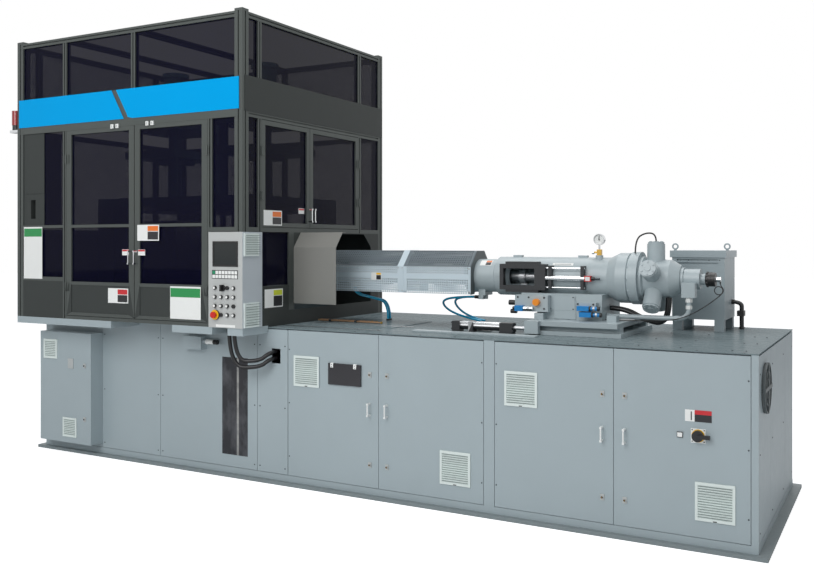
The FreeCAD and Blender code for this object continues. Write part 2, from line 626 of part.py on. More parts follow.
def along(axis, centre, low):
    """Where something that starts at low and runs along an axis has its origin."""
    other = iter(centre)
    return {name: low if name == axis else next(other) for name in "xyz"}


def rod(axis, centre, span, radius, name="rod"):
    """A cylinder along an axis: centre gives its two other coordinates in order."""
    solid = doc.addObject("Part::Cylinder", name)
    solid.Placement = Placement(Vector(), TURNS[axis])
    solid.setExpression("Radius", bind(radius))
    solid.setExpression("Height", bind(f"({span[1]}) - ({span[0]})"))
    return place(solid, **along(axis, centre, span[0]))


def ring(axis, centre, middle, radius, wire, name="ring"):
    """A torus whose own axis runs along an axis."""
    solid = doc.addObject("Part::Torus", name)
    solid.Placement = Placement(Vector(), TURNS[axis])
    solid.setExpression("Radius1", bind(radius))
    solid.setExpression("Radius2", bind(wire))
    return place(solid, **along(axis, centre, middle))


def fuse(*solids):
    """One solid from several that touch or overlap."""
    joined = doc.addObject("Part::MultiFuse", "joined")
    joined.Shapes = list(solids)
    joined.Refine = True
    return joined


def cut(base, *tools):
    """A solid less one or more others."""
    result = doc.addObject("Part::Cut", "trimmed")
    result.Base = base
    result.Tool = tools[0] if len(tools) == 1 else fuse(*tools)
    return result


def group(*solids):
    """Separate solids that belong to one sub-part."""
    bundle = doc.addObject("Part::Compound", "bundle")
    bundle.Links = list(solids)
    return bundle


def node(label, shape):
    """Name a finished sub-part: the label is also its file's name."""
    shape.Label = label
    nodes.append(shape)
    return shape


def outline(body, plane, points):
    """A closed sketch of straight sides, each corner bound to the sheet."""
    sketch = body.newObject("Sketcher::SketchObject", "outline")
    sketch.AttachmentSupport = [(next(f for f in body.Origin.OriginFeatures if f.Role == plane), "")]
    sketch.MapMode = "FlatFace"
    corners = [Vector(number(a), number(b), 0) for a, b in points]
    for start, end in zip(corners, corners[1:] + corners[:1]):
        sketch.addGeometry(Part.LineSegment(start, end))
    for index, (a, b) in enumerate(points):
        sketch.addConstraint(Sketcher.Constraint("Coincident", index, 1, (index - 1) % len(points), 2))
        for kind, text, size in (("DistanceX", a, corners[index].x), ("DistanceY", b, corners[index].y)):
            bound = sketch.addConstraint(Sketcher.Constraint(kind, -1, 1, index, 1, size))
            sketch.setExpression(f"Constraints[{bound}]", bind(text))
    return sketch


PAD_PLANES = {"x": "YZ_Plane", "y": "XZ_Plane", "z": "XY_Plane"}


def plate(axis, points, span, name="plate"):
    """A padded outline along an axis. The outline's two coordinates are the other axes in order."""
    body = doc.addObject("PartDesign::Body", name)
    pad = body.newObject("PartDesign::Pad", "thickness")
    pad.Profile = outline(body, PAD_PLANES[axis], points)
    pad.setExpression("Length", bind(f"({span[1]}) - ({span[0]})"))
    pad.Reversed = axis == "y"
    body.Tip = pad
    return place(body, **{axis: span[0]})


def turned(points, centre, name="turned"):
    """A body turned about an axis along X. Each point is a place along X and a radius."""
    body = doc.addObject("PartDesign::Body", name)
    sketch = outline(body, "XZ_Plane", points)
    spin = body.newObject("PartDesign::Revolution", "spin")
    spin.Profile = sketch
    spin.ReferenceAxis = (sketch, ["H_Axis"])
    body.Tip = spin
    return place(body, y=centre[0], z=centre[1])


def tray(axis, face, inward, first, second, deep="tray_deep", thick="sheet_thick", name="tray"):
    """A folded sheet: a skin at face with returns that point inward (1 or -1) along an axis."""
    def blocks(low, high, edge):
        spans = {axis: (f"{face} + {inward} * {low}", f"{face} + {inward} * {high}")}
        if inward < 0:
            spans[axis] = spans[axis][::-1]
        others = [name for name in "xyz" if name != axis]
        for other, (start, end) in zip(others, (first, second)):
            spans[other] = (f"{start} + {edge}", f"{end} - {edge}")
        return box(spans["x"], spans["y"], spans["z"], name)
    return cut(blocks("0", f"({deep})", "0"), blocks(f"({thick})", f"({deep} + 1)", f"({thick})"))


def slot_section(side):
    """The outline of a grooved profile, one groove in the middle of each side."""
    near = f"({side} - slot_mouth) / 2"
    far = f"({side} + slot_mouth) / 2"
    low = "slot_deep"
    high = f"{side} - slot_deep"
    points = [("0", "0"), (near, "0"), (near, low), (far, low), (far, "0")]
    points += [(side, "0"), (side, near), (high, near), (high, far), (side, far)]
    points += [(side, side), (far, side), (far, high), (near, high), (near, side)]
    points += [("0", side), ("0", far), (low, far), (low, near), ("0", near)]
    body = doc.addObject("PartDesign::Body", "profile")
    return outline(body, "XY_Plane", points)


PROFILE_TURNS = {
    "x": Rotation(Vector(1, 1, 1), 120),
    "y": Rotation(Vector(1, 1, 1), 240),
    "z": Rotation(),
}


def profile(section, axis, corner, span):
    """A length of grooved profile: corner is the low corner across its length."""
    length = doc.addObject("Part::Extrusion", "profile_length")
    length.Base = section
    length.DirMode = "Normal"
    length.Solid = True
    length.setExpression("LengthFwd", bind(f"({span[1]}) - ({span[0]})"))
    length.Placement = Placement(Vector(), PROFILE_TURNS[axis])
    return place(length, **along(axis, corner, span[0]))


def least_gap(path, radius):
    """The least gap that a curled tube leaves to itself, measured on points one diameter apart."""
    spots = path.discretize(Distance=2 * radius)
    same_bend = 8
    return min(spot.distanceToPoint(other) for index, spot in enumerate(spots)
               for other in spots[index + same_bend:]) - 2 * radius


def tube(points, radius, name="tube", curled=False):
    """A hose through the given points: straight runs joined by tangent arcs."""
    spots = [Vector(*(number(value) for value in point)) for point in points]
    edges = []
    start = spots[0]
    bends = []
    for before, spot, after in zip(spots, spots[1:], spots[2:]):
        to_start = (before - spot).normalize()
        to_end = (after - spot).normalize()
        turn = math.pi - to_start.getAngle(to_end)
        run = min(before.distanceToPoint(spot), after.distanceToPoint(spot))
        back = 0.45 * run
        bends.append(back / math.tan(turn / 2))
        first = spot + to_start * back
        last = spot + to_end * back
        inner = (to_start + to_end).normalize()
        middle_reach = bends[-1] / math.cos(turn / 2) - bends[-1]
        edges.append(Part.LineSegment(start, first).toShape())
        edges.append(Part.Arc(first, spot + inner * middle_reach, last).toShape())
        start = last
    edges.append(Part.LineSegment(start, spots[-1]).toShape())
    path = Part.Wire(edges)
    heading = (spots[1] - spots[0]).normalize()
    circle = Part.Wire(Part.Circle(spots[0], heading, number(radius)).toShape())
    hose = doc.addObject("Part::Feature", name)
    hose.Shape = path.makePipeShell([circle], True, False)
    section = math.pi * number(radius) ** 2
    share = hose.Shape.Volume / (section * path.Length)
    print(f"{name}: length {path.Length:.0f}, volume ratio {share:.3f}, radii",
          [round(bend) for bend in bends])
    if curled:
        print(f"{name}: least gap to itself {least_gap(path, number(radius)):.1f}")
    return hose


# ---------------------------------------------------------------- places shared by several sub-parts

CAB_LEFT = "(end_margin - base_long / 2)"
CAB_RIGHT = "(base_long / 2 - end_margin)"
CAB_FRONT = "(front_margin - base_wide / 2)"
CAB_BACK = "(base_wide / 2 - back_margin)"
DECK_UNDER = "(table_top - deck_thick)"
PLINTH_TOP = "(base_thick + plinth_high)"
LEAF_LOW = f"({PLINTH_TOP} + panel_gap)"
LEAF_HIGH = f"({DECK_UNDER} - panel_gap - 4)"
FRAME_FRONT = f"({CAB_FRONT} + tray_deep)"
FRAME_BACK = f"({CAB_BACK} - tray_deep)"
FRAME_LEFT = f"({CAB_LEFT} + tray_deep)"
FRAME_RIGHT = f"({CAB_RIGHT} - tray_deep)"
CAB_LONG = "(base_long - 2 * end_margin)"

ENC_LEFT = f"({CAB_LEFT} + enclosure_inset)"
ENC_RIGHT = f"({ENC_LEFT} + enclosure_long)"
ENC_FRONT = f"({CAB_FRONT} - overhang)"
ENC_BACK = f"({ENC_FRONT} + enclosure_deep)"
HEAD_TOP = "(head_rail + rail_side)"
TOP_UNDER = "(enclosure_top - rail_side)"
MID_TOP = "(mid_rail + mid_rail_high)"

BOX_RIGHT = f"({ENC_RIGHT} + box_proud)"
BOX_LEFT = f"({BOX_RIGHT} - box_wide)"
BOX_FRONT = f"({ENC_FRONT} - box_proud)"
BOX_BACK = f"({BOX_FRONT} + box_deep)"
BOX_TOP = "(sill_top + box_high)"

# The front's and the side's bays: each mullion starts at one of these.
FRONT_MULLION = f"({ENC_LEFT} + front_bay_left)"
FRONT_JAMB = f"({ENC_RIGHT} - front_bay_right)"
SIDE_MULLION = f"({ENC_FRONT} + side_bay_front - rail_side)"
BACK_MULLION = f"({ENC_BACK} - side_bay_back)"
PILLAR = f"({ENC_FRONT} + pillar_front)"

# The forming units stand on the left end; each part of the injection unit follows the one before it.
TABLE_X = f"({CAB_LEFT} + table_reach)"
NOZZLE_TIP = f"({CAB_LEFT} + nozzle_reach)"
FLANGE_LEFT = f"({NOZZLE_TIP} + barrel_long)"
GUARD_RIGHT = f"({FLANGE_LEFT} + guard_lap)"
GUARD_LEFT = f"({GUARD_RIGHT} - guard_long)"
CYLINDER_RIGHT = f"({FLANGE_LEFT} + cylinder_long)"
MOTOR_LEFT = f"({CYLINDER_RIGHT} + drum_long)"
GAUGE_X = f"({CYLINDER_RIGHT} - gauge_reach)"
WINDOW_LEFT = f"({FLANGE_LEFT} + window_reach)"
WINDOW_X = (f"({WINDOW_LEFT} + coupling_bar)", f"({WINDOW_LEFT} + coupling_long - coupling_wall)")
WINDOW_Z = ("(axis_z - coupling_window / 2)", "(axis_z + coupling_window / 2)")
BODY_LEFT = f"({FLANGE_LEFT} + body_reach)"
BED_LEFT = f"({FLANGE_LEFT} + bed_plate_reach)"
TRAVERSE_LEFT = f"({BED_LEFT} - traverse_reach)"
TRAFO_LEFT = f"({CAB_RIGHT} - trafo_margin)"
TRAFO_FRONT = f"({CAB_BACK} - trafo_front)"


def span_from(low, size):
    """A low value and the value that lies size above it."""
    return (low, f"{low} + {size}")


def bay(share):
    """The place along the cabinet's front at a share of its length."""
    return f"({CAB_LEFT} + {share} * {CAB_LONG})"


BAY_TWO = bay("bay_two_share")
BAY_THREE = bay("bay_three_share")
BAY_DOORS = bay("bay_doors_share")
MIDDLE_STILE = bay("bay_middle_share")
SPLIT_ONE = bay("split_one_share")
SPLIT_TWO = bay("split_two_share")


# ---------------------------------------------------------------- cabinet


def make_base_plate():
    signs = (("-", "-"), ("", "-"), ("", ""), ("-", ""))
    points = [(f"{x}base_long / 2", f"{y}base_wide / 2") for x, y in signs]
    node("base_plate", plate("z", points, ("0", "base_thick")))


def frame_posts():
    """Posts behind the seams and doors, with the two stiles that show between the doors."""
    seams = (bay("bay_one_share"), BAY_TWO, BAY_THREE, BAY_DOORS)
    lefts = [FRAME_LEFT] + [f"{seam} - frame_tube / 2" for seam in seams]
    lefts += [f"{MIDDLE_STILE} + (stile_wide - frame_tube) / 2", f"{FRAME_RIGHT} - frame_tube"]
    rise = (PLINTH_TOP, f"{DECK_UNDER} - frame_tube")
    posts = []
    for left in lefts:
        posts.append(box(span_from(left, "frame_tube"), span_from(FRAME_FRONT, "frame_tube"), rise))
        posts.append(box(span_from(left, "frame_tube"), (f"{FRAME_BACK} - frame_tube", FRAME_BACK), rise))
    stile_rise = (PLINTH_TOP, DECK_UNDER)
    posts.append(box(span_from(MIDDLE_STILE, "stile_wide"), (CAB_FRONT, FRAME_FRONT), stile_rise))
    posts.append(box((f"{CAB_RIGHT} - corner_stile", CAB_RIGHT), (CAB_FRONT, FRAME_FRONT), stile_rise))
    return posts


def frame_rails():
    """Plinth rails on the floor plate, top rails under the deck and ties between them."""
    rails = []
    floor = ("base_thick", PLINTH_TOP)
    top = (f"{DECK_UNDER} - frame_tube", DECK_UNDER)
    full = (CAB_LEFT, CAB_RIGHT)
    for rise, front, back, left, right in (
        (floor, CAB_FRONT, CAB_BACK, CAB_LEFT, CAB_RIGHT),
        (top, FRAME_FRONT, FRAME_BACK, FRAME_LEFT, FRAME_RIGHT),
    ):
        length = full if rise is floor else (FRAME_LEFT, FRAME_RIGHT)
        rails.append(box(length, span_from(front, "frame_tube"), rise))
        rails.append(box(length, (f"{back} - frame_tube", back), rise))
        across = (f"{front} + frame_tube", f"{back} - frame_tube")
        rails.append(box(span_from(left, "frame_tube"), across, rise))
        rails.append(box((f"{right} - frame_tube", right), across, rise))
    for middle in (bay("bay_one_share"), BAY_DOORS):
        width = (f"{middle} - frame_tube / 2", f"{middle} + frame_tube / 2")
        rails.append(box(width, (f"{FRAME_FRONT} + frame_tube", f"{FRAME_BACK} - frame_tube"), top))
    return rails


def partitions():
    """Sheets that divide the cabinet behind the first door and between the door pairs."""
    rise = (PLINTH_TOP, f"{DECK_UNDER} - frame_tube")
    across = (f"{FRAME_FRONT} + frame_tube", f"{FRAME_BACK} - frame_tube")
    middles = (BAY_DOORS, f"{MIDDLE_STILE} + stile_wide / 2")
    return [box((f"{x} - partition / 2", f"{x} + partition / 2"), across, rise) for x in middles]


def front_panel(first, last):
    """A bolted panel of the front between two seams."""
    across = (f"{first} + panel_gap / 2", f"{last} - panel_gap / 2")
    return tray("y", CAB_FRONT, 1, across, (LEAF_LOW, LEAF_HIGH))


SLOT_X = (f"({BAY_THREE} - slot_right - slot_wide)", f"({BAY_THREE} - slot_right)")
SLOT_Z = ("(base_thick + slot_low)", "(base_thick + slot_low + slot_high)")
HOLE_LEFT = f"({BAY_THREE} + cable_hole_left)"


def make_base_panels():
    """The bolted panels of the front, the back and both ends, with the junction box."""
    bay_one = bay("bay_one_share")
    wide = front_panel(BAY_TWO, BAY_THREE)
    slot = box(SLOT_X, (f"{CAB_FRONT} - 1", FRAME_FRONT), SLOT_Z)
    short = front_panel(BAY_THREE, BAY_DOORS)
    hole = box(span_from(HOLE_LEFT, "cable_hole_wide"), (f"{CAB_FRONT} - 1", FRAME_FRONT),
               span_from("base_thick + cable_hole_low", "cable_hole_high"))
    panels = [front_panel(CAB_LEFT, bay_one), front_panel(bay_one, BAY_TWO), cut(wide, slot),
              cut(short, hole)]
    share = f"{CAB_LONG} / back_panel_count"
    for index in range(int(number("back_panel_count"))):
        low = f"{CAB_LEFT} + {index} * {share}"
        across = (f"{low} + panel_gap / 2", f"{low} + {share} - panel_gap / 2")
        panels.append(tray("y", CAB_BACK, -1, across, (LEAF_LOW, LEAF_HIGH)))
    seams = (FRAME_FRONT, f"{CAB_FRONT} + end_seam_front", f"{CAB_FRONT} + end_seam_back", FRAME_BACK)
    for face, inward in ((CAB_LEFT, 1), (CAB_RIGHT, -1)):
        for low, high in zip(seams, seams[1:]):
            across = (f"{low} + panel_gap / 2", f"{high} - panel_gap / 2")
            panels.append(tray("x", face, inward, across, (LEAF_LOW, LEAF_HIGH)))
    x = f"({BAY_TWO} + junction_left)"
    depth = (f"{CAB_FRONT} - junction_deep", CAB_FRONT)
    case = box(span_from(x, "junction_wide"), depth, span_from("junction_low", "junction_high"))
    centre = (f"{CAB_FRONT} - junction_deep / 2", "junction_low + gland_rise")
    gland = rod("x", centre, span_from(f"{x} + junction_wide", "gland_long"), "gland_radius")
    node("base_panels", group(*panels, fuse(case, gland)))


def make_deck():
    deck = box((CAB_LEFT, CAB_RIGHT), (f"{CAB_FRONT} - 2", f"{CAB_BACK} + 2"), (DECK_UNDER, "table_top"))
    across = ("-cover_front", "cover_back")
    cover = box(span_from(f"{GUARD_LEFT} + cover_reach", "cover_long"), across,
                span_from("table_top", "cover_thick"))
    node("deck_plate", group(deck, cover))


def grille(x, z, side, front, proud="vent_proud", name="grille"):
    """A square filter grille: a frame with louvres across it."""
    body = box(span_from(x, side), (f"{front} - {proud}", front), span_from(z, side))
    slots = []
    pitch = f"({side} - 2 * vent_rim) / slat_count"
    for index in range(int(number("slat_count"))):
        low = f"{z} + vent_rim + {index} * {pitch}"
        depth = (f"{front} - {proud} - 1", f"{front} - {proud} + slat_deep")
        rise = (f"{low} + slat_thick / 2", f"{low} + {pitch} - slat_thick / 2")
        slots.append(box((f"{x} + vent_rim", f"{x} + {side} - vent_rim"), depth, rise))
    return cut(body, *slots)


def pull_handle(axis, face, outward, place_across, low, high):
    """A pull handle: a round grip between two stand-offs. Outward is 1 or -1 along an axis."""
    half = "(handle_thick / 2 + 1)"
    out = f"({face} + {outward} * handle_proud)"
    reach = (face, f"{out} + {outward} * {half}")
    reach = reach if outward > 0 else reach[::-1]
    across = (f"{place_across} - {half}", f"{place_across} + {half}")
    feet = []
    for rise in ((low, f"{low} + 2 * {half}"), (f"{high} - 2 * {half}", high)):
        feet.append(box(reach, across, rise) if axis == "x" else box(across, reach, rise))
    centre = (out, place_across) if axis == "x" else (place_across, out)
    grip = rod("z", centre, (f"{low} + 2 * {half}", f"{high} - 2 * {half}"), "handle_thick / 2")
    return [*feet, grip]


def lock(x, z, front):
    """A quarter-turn lock in its escutcheon."""
    shield = box((f"{x} - lock_wide / 2", f"{x} + lock_wide / 2"), (f"{front} - 5", front),
                 (f"{z} - lock_high / 2", f"{z} + lock_high / 2"))
    barrel = rod("y", (x, z), (f"{front} - 11", f"{front} - 5"), "8")
    return fuse(shield, barrel)


PAIR_ONE = f"({BAY_DOORS} + panel_gap)"
PAIR_TWO = f"({MIDDLE_STILE} + stile_wide + panel_gap)"
VENT_LOW = "(base_thick + vent_low)"
VENT_HIGH = "(base_thick + vent_high)"
# Each door's left edge, right edge, hinge side, grille's left edge and grille's lower edge.
DOORS = (
    (PAIR_ONE, f"{SPLIT_ONE} - panel_gap", "left", f"{PAIR_ONE} + vent_one_edge", VENT_HIGH),
    (SPLIT_ONE, f"{MIDDLE_STILE} - panel_gap", "right", f"{MIDDLE_STILE} - vent_two_edge - vent_side",
     VENT_LOW),
    (PAIR_TWO, f"{SPLIT_TWO} - panel_gap", "left", f"{PAIR_TWO} + vent_three_edge", VENT_HIGH),
    (SPLIT_TWO, f"{CAB_RIGHT} - corner_stile - panel_gap", "right",
     f"{CAB_RIGHT} - vent_four_edge - vent_side",
     VENT_LOW),
)
FLAP_X = (f"({SPLIT_ONE} - flap_edge - flap_wide)", f"({SPLIT_ONE} - flap_edge)")
FLAP_Z = ("flap_low", "(flap_low + flap_high)")
SWITCH_X = f"({CAB_RIGHT} - switch_edge)"
SWITCH_Z = "switch_z"


def make_base_doors():
    for index, (left, right, hinge, vent_x, vent_z) in enumerate(DOORS, start=1):
        skin = tray("y", CAB_FRONT, 1, (left, right), (LEAF_LOW, LEAF_HIGH))
        free = f"{right} - lock_edge" if hinge == "left" else f"{left} + lock_edge"
        if index == 1:
            hatch = box((f"{FLAP_X[0]} + flap_rim", f"{FLAP_X[1]} - flap_rim"),
                        (f"{CAB_FRONT} - 1", FRAME_FRONT),
                        (f"{FLAP_Z[0]} + flap_rim", f"{FLAP_Z[1]} - flap_rim"))
            skin = cut(skin, hatch)
        pieces = [skin, grille(vent_x, vent_z, "vent_side", CAB_FRONT)]
        pieces += [lock(free, height, CAB_FRONT) for height in ("lock_upper", "lock_lower")]
        pieces += pull_handle("y", CAB_FRONT, -1, free, "handle_low", "handle_high")
        if index == 4:
            pieces.append(box((f"{SWITCH_X} - switch_plate", f"{SWITCH_X} + switch_plate"),
                              (f"{CAB_FRONT} - 3", CAB_FRONT),
                              (f"{SWITCH_Z} - switch_plate", f"{SWITCH_Z} + switch_plate")))
            pieces.append(box((f"{SWITCH_X} - 111", f"{SWITCH_X} - 80"), (f"{CAB_FRONT} - 6", CAB_FRONT),
                              (f"{SWITCH_Z} - 17", f"{SWITCH_Z} + 13")))
        node(f"base_door_{index}", group(*pieces))


def make_flap():
    """A dark cover that lifts on two white hinge straps at its top edge."""
    front = f"({CAB_FRONT} - flap_proud)"
    cover = tray("y", front, 1, FLAP_X, FLAP_Z, deep="flap_proud - running_gap")
    straps = [box(span_from(x, "strap_wide"), (f"{front} - 3", front),
                  (f"{FLAP_Z[1]} - strap_high", FLAP_Z[1]))
              for x in (f"{FLAP_X[0]} + strap_left", f"{FLAP_X[1]} - strap_right")]
    node("inspection_flap", fuse(cover, *straps))


def make_main_switch():
    front = f"({CAB_FRONT} - 3)"
    knob = rod("y", (SWITCH_X, SWITCH_Z), (f"{front} - switch_deep", f"{front} - running_gap"),
               "switch_radius")
    lever = box(span_from(SWITCH_X, "switch_lever"), span_from(f"{front} - switch_deep - 12", "switch_grip"),
                (f"{SWITCH_Z} - switch_grip / 2", f"{SWITCH_Z} + switch_grip / 2"))
    node("main_switch", fuse(knob, lever))


CONTROL_LEFT = f"({CAB_LEFT} + control_left)"
CONTROL_RIGHT = f"({CONTROL_LEFT} + control_wide)"
CONTROL_FRONT = f"({CAB_FRONT} - control_deep)"
CONTROL_TOP = "(control_low + control_high)"


def make_control_box():
    shell_front = f"({CONTROL_FRONT} + control_door_deep + running_gap)"
    outer = box((CONTROL_LEFT, CONTROL_RIGHT), (shell_front, CAB_FRONT), ("control_low", CONTROL_TOP))
    wall = "sheet_thick"
    inner = box((f"{CONTROL_LEFT} + {wall}", f"{CONTROL_RIGHT} - {wall}"),
                (f"{shell_front} - 1", f"{CAB_FRONT} - {wall}"),
                (f"control_low + {wall}", f"{CONTROL_TOP} - {wall}"))
    node("control_box", cut(outer, inner))
    pieces = [tray("y", CONTROL_FRONT, 1, (CONTROL_LEFT, CONTROL_RIGHT), ("control_low", CONTROL_TOP),
                   deep="control_door_deep")]
    vents = ((f"{CONTROL_LEFT} + control_vent_left", "control_vent_high"),
             (f"{CONTROL_LEFT} + control_vent_right", "control_vent_low"))
    pieces += [grille(x, z, "small_vent_side", CONTROL_FRONT) for x, z in vents]
    pieces.append(box(span_from(f"{CONTROL_LEFT} + control_plate_left", "control_plate_wide"),
                      (f"{CONTROL_FRONT} - 3", CONTROL_FRONT),
                      span_from("control_plate_low", "control_plate_high")))
    pieces += [lock(f"{CONTROL_RIGHT} - control_lock_edge", z, CONTROL_FRONT)
               for z in ("control_lock_high", "control_lock_low")]
    node("control_box_door", group(*pieces))


# ---------------------------------------------------------------- enclosure


def sill_beams():
    """The beams that carry the part of the enclosure in front of the cabinet."""
    front = span_from(ENC_FRONT, "sill_wide")
    back = (f"{ENC_FRONT} + sill_wide", f"{CAB_FRONT} - 2")
    rise = ("(sill_top - sill_high)", "sill_top")
    corner = f"({ENC_RIGHT} + 4)"
    runs = ((ENC_LEFT, f"({ENC_LEFT} + sill_gap_left)"),
            (f"({ENC_LEFT} + sill_gap_right)", f"({BOX_LEFT} + 24)"),
            (f"({ENC_RIGHT} - 125)", corner))
    beams = [box(run, front, rise) for run in runs]
    ends = (ENC_LEFT, f"{runs[0][1]} - sill_wide", runs[1][0], f"{runs[1][1]} - sill_wide",
            f"{corner} - sill_wide")
    beams += [box(span_from(end, "sill_wide"), back, rise) for end in ends]
    return beams


def make_enclosure_frame():
    post = slot_section("post_side")
    rail = slot_section("rail_side")
    bars = []
    # corner posts: the front right one stands on the operator box
    fronts = ((ENC_LEFT, "sill_top"), (f"{ENC_RIGHT} - post_side", BOX_TOP))
    bars += [profile(post, "z", (x, ENC_FRONT), (low, "enclosure_top")) for x, low in fronts]
    backs = (ENC_LEFT, f"{ENC_RIGHT} - post_side")
    bars += [profile(post, "z", (x, f"{ENC_BACK} - post_side"),
                     ("table_top", "enclosure_top")) for x in backs]
    length = (f"{ENC_LEFT} + post_side", f"{ENC_RIGHT} - post_side")
    depth = (f"{ENC_FRONT} + post_side", f"{ENC_BACK} - post_side")
    # top, head and fascia rails go all round
    for low in (TOP_UNDER, "head_rail", "(fascia_low + fascia_high - rail_side)"):
        for y in (ENC_FRONT, f"{ENC_BACK} - rail_side"):
            bars.append(profile(rail, "x", (y, low), length))
        for x in (ENC_LEFT, f"{ENC_RIGHT} - rail_side"):
            bars.append(profile(rail, "y", (x, low), depth))
    # mullions of the front
    tall = (HEAD_TOP, "fascia_low + fascia_high - rail_side")
    upper = ("fascia_low + fascia_high", TOP_UNDER)
    bars.append(profile(rail, "z", (FRONT_MULLION, ENC_FRONT), ("sill_top", "head_rail")))
    bars.append(profile(rail, "z", (FRONT_JAMB, ENC_FRONT), (MID_TOP, "head_rail")))
    for x in (FRONT_MULLION, f"{ENC_LEFT} + upper_split"):
        bars.append(profile(rail, "z", (x, ENC_FRONT), upper))
        bars.append(profile(rail, "z", (x, ENC_FRONT), tall))
    # mullions of the side, the back and the left end: each stands on what is under it
    feet = {(True, True): "sill_top", (True, False): "table_top", (False, True): BOX_TOP,
            (False, False): "mid_rail"}
    for x in (f"{ENC_RIGHT} - rail_side", ENC_LEFT):
        for y in (SIDE_MULLION, BACK_MULLION):
            foot = feet[x == ENC_LEFT, y == SIDE_MULLION]
            bars.append(profile(rail, "z", (x, y), (foot, "head_rail")))
            bars.append(profile(rail, "z", (x, y), upper))
    for x in (FRONT_MULLION, f"{ENC_LEFT} + upper_split"):
        bars.append(profile(rail, "z", (x, f"{ENC_BACK} - rail_side"), ("table_top", "head_rail")))
        bars.append(profile(rail, "z", (x, f"{ENC_BACK} - rail_side"), upper))
    # two roof beams between the long top rails
    roof = (f"{ENC_FRONT} + rail_side", f"{ENC_BACK} - rail_side")
    for x in (FRONT_MULLION, f"{ENC_LEFT} + upper_split"):
        bars.append(profile(rail, "y", (x, TOP_UNDER), roof))
    caps = []
    for x in (ENC_LEFT, f"{ENC_RIGHT} - post_side"):
        for y in (ENC_FRONT, f"{ENC_BACK} - post_side"):
            caps.append(box(span_from(x, "post_side"), span_from(y, "post_side"),
                            span_from("enclosure_top", "cap_high")))
    node("enclosure_frame", group(*bars, *caps, *lower_bars(), *frame_plates))


def lower_bars():
    """Plain square bars at the foot and at the mid height of the enclosure."""
    bars = []
    thin = "rail_side"
    front = span_from(ENC_FRONT, thin)
    foot = ("sill_top", "door_low - leaf_gap")
    mullion_right = f"({FRONT_MULLION} + rail_side)"
    post_right = f"({ENC_LEFT} + post_side)"
    bars.append(box((mullion_right, BOX_LEFT), front, foot))
    bars.append(box((post_right, FRONT_MULLION), front, span_from("cross_bar_low", "cross_bar_high")))
    bars.append(box((post_right, FRONT_MULLION), front,
                    ("door_low + kick_high", "door_low + kick_high + 30")))
    bars.append(box((FRONT_JAMB, f"{ENC_RIGHT} - post_side"), front, ("mid_rail", MID_TOP)))
    bars.append(box((FRONT_JAMB, BOX_LEFT), front, ("door_low - leaf_gap", "mid_rail")))
    side = (f"{ENC_RIGHT} - {thin}", ENC_RIGHT)
    bars.append(box(side, (f"{ENC_FRONT} + post_side", f"{SIDE_MULLION}"), ("mid_rail", MID_TOP)))
    bars.append(box(side, (f"{SIDE_MULLION} + rail_side", BACK_MULLION), ("mid_rail", MID_TOP)))
    bars.append(box(side, (f"{BACK_MULLION} + rail_side", f"{ENC_BACK} - post_side"), ("mid_rail", MID_TOP)))
    bars.append(box(side, span_from(PILLAR, "pillar_side"), ("table_top + skirt_high", "mid_rail")))
    back = (f"{ENC_BACK} - {thin}", ENC_BACK)
    left = (ENC_LEFT, f"{ENC_LEFT} + {thin}")
    spans = ((post_right, FRONT_MULLION), (mullion_right, f"{ENC_LEFT} + upper_split"),
             (f"{ENC_LEFT} + upper_split + rail_side", f"{ENC_RIGHT} - post_side"))
    bars += [box(span, back, ("mid_rail", MID_TOP)) for span in spans]
    spans = ((f"{ENC_FRONT} + post_side", SIDE_MULLION), (f"{SIDE_MULLION} + rail_side", BACK_MULLION),
             (f"{BACK_MULLION} + rail_side", f"{ENC_BACK} - post_side"))
    bars += [box(left, span, ("mid_rail", MID_TOP)) for span in spans]
    return bars


def make_fascia():
    """Two coloured panels that a slanting gap divides."""
    depth = (f"{ENC_FRONT} - fascia_thick", ENC_FRONT)
    left = f"({ENC_LEFT} + fascia_end)"
    right = f"({ENC_RIGHT} - fascia_end)"
    high = "(fascia_low + fascia_high)"
    split_low = f"({ENC_LEFT} + fascia_split_low)"
    split_high = f"({ENC_LEFT} + fascia_split_high)"
    gap = "fascia_split_gap"
    first = plate("y", [(left, "fascia_low"), (split_low, "fascia_low"), (split_high, high), (left, high)],
                  depth)
    points = [(f"{split_low} + {gap} + fascia_round", "fascia_low"), (right, "fascia_low"), (right, high),
              (f"{split_high} + {gap}", high), (f"{split_low} + {gap} - 18", "fascia_low + 36"),
              (f"{split_low} + {gap} - 6", "fascia_low + 10")]
    second = plate("y", points, depth)
    node("front_fascia", group(first, second))


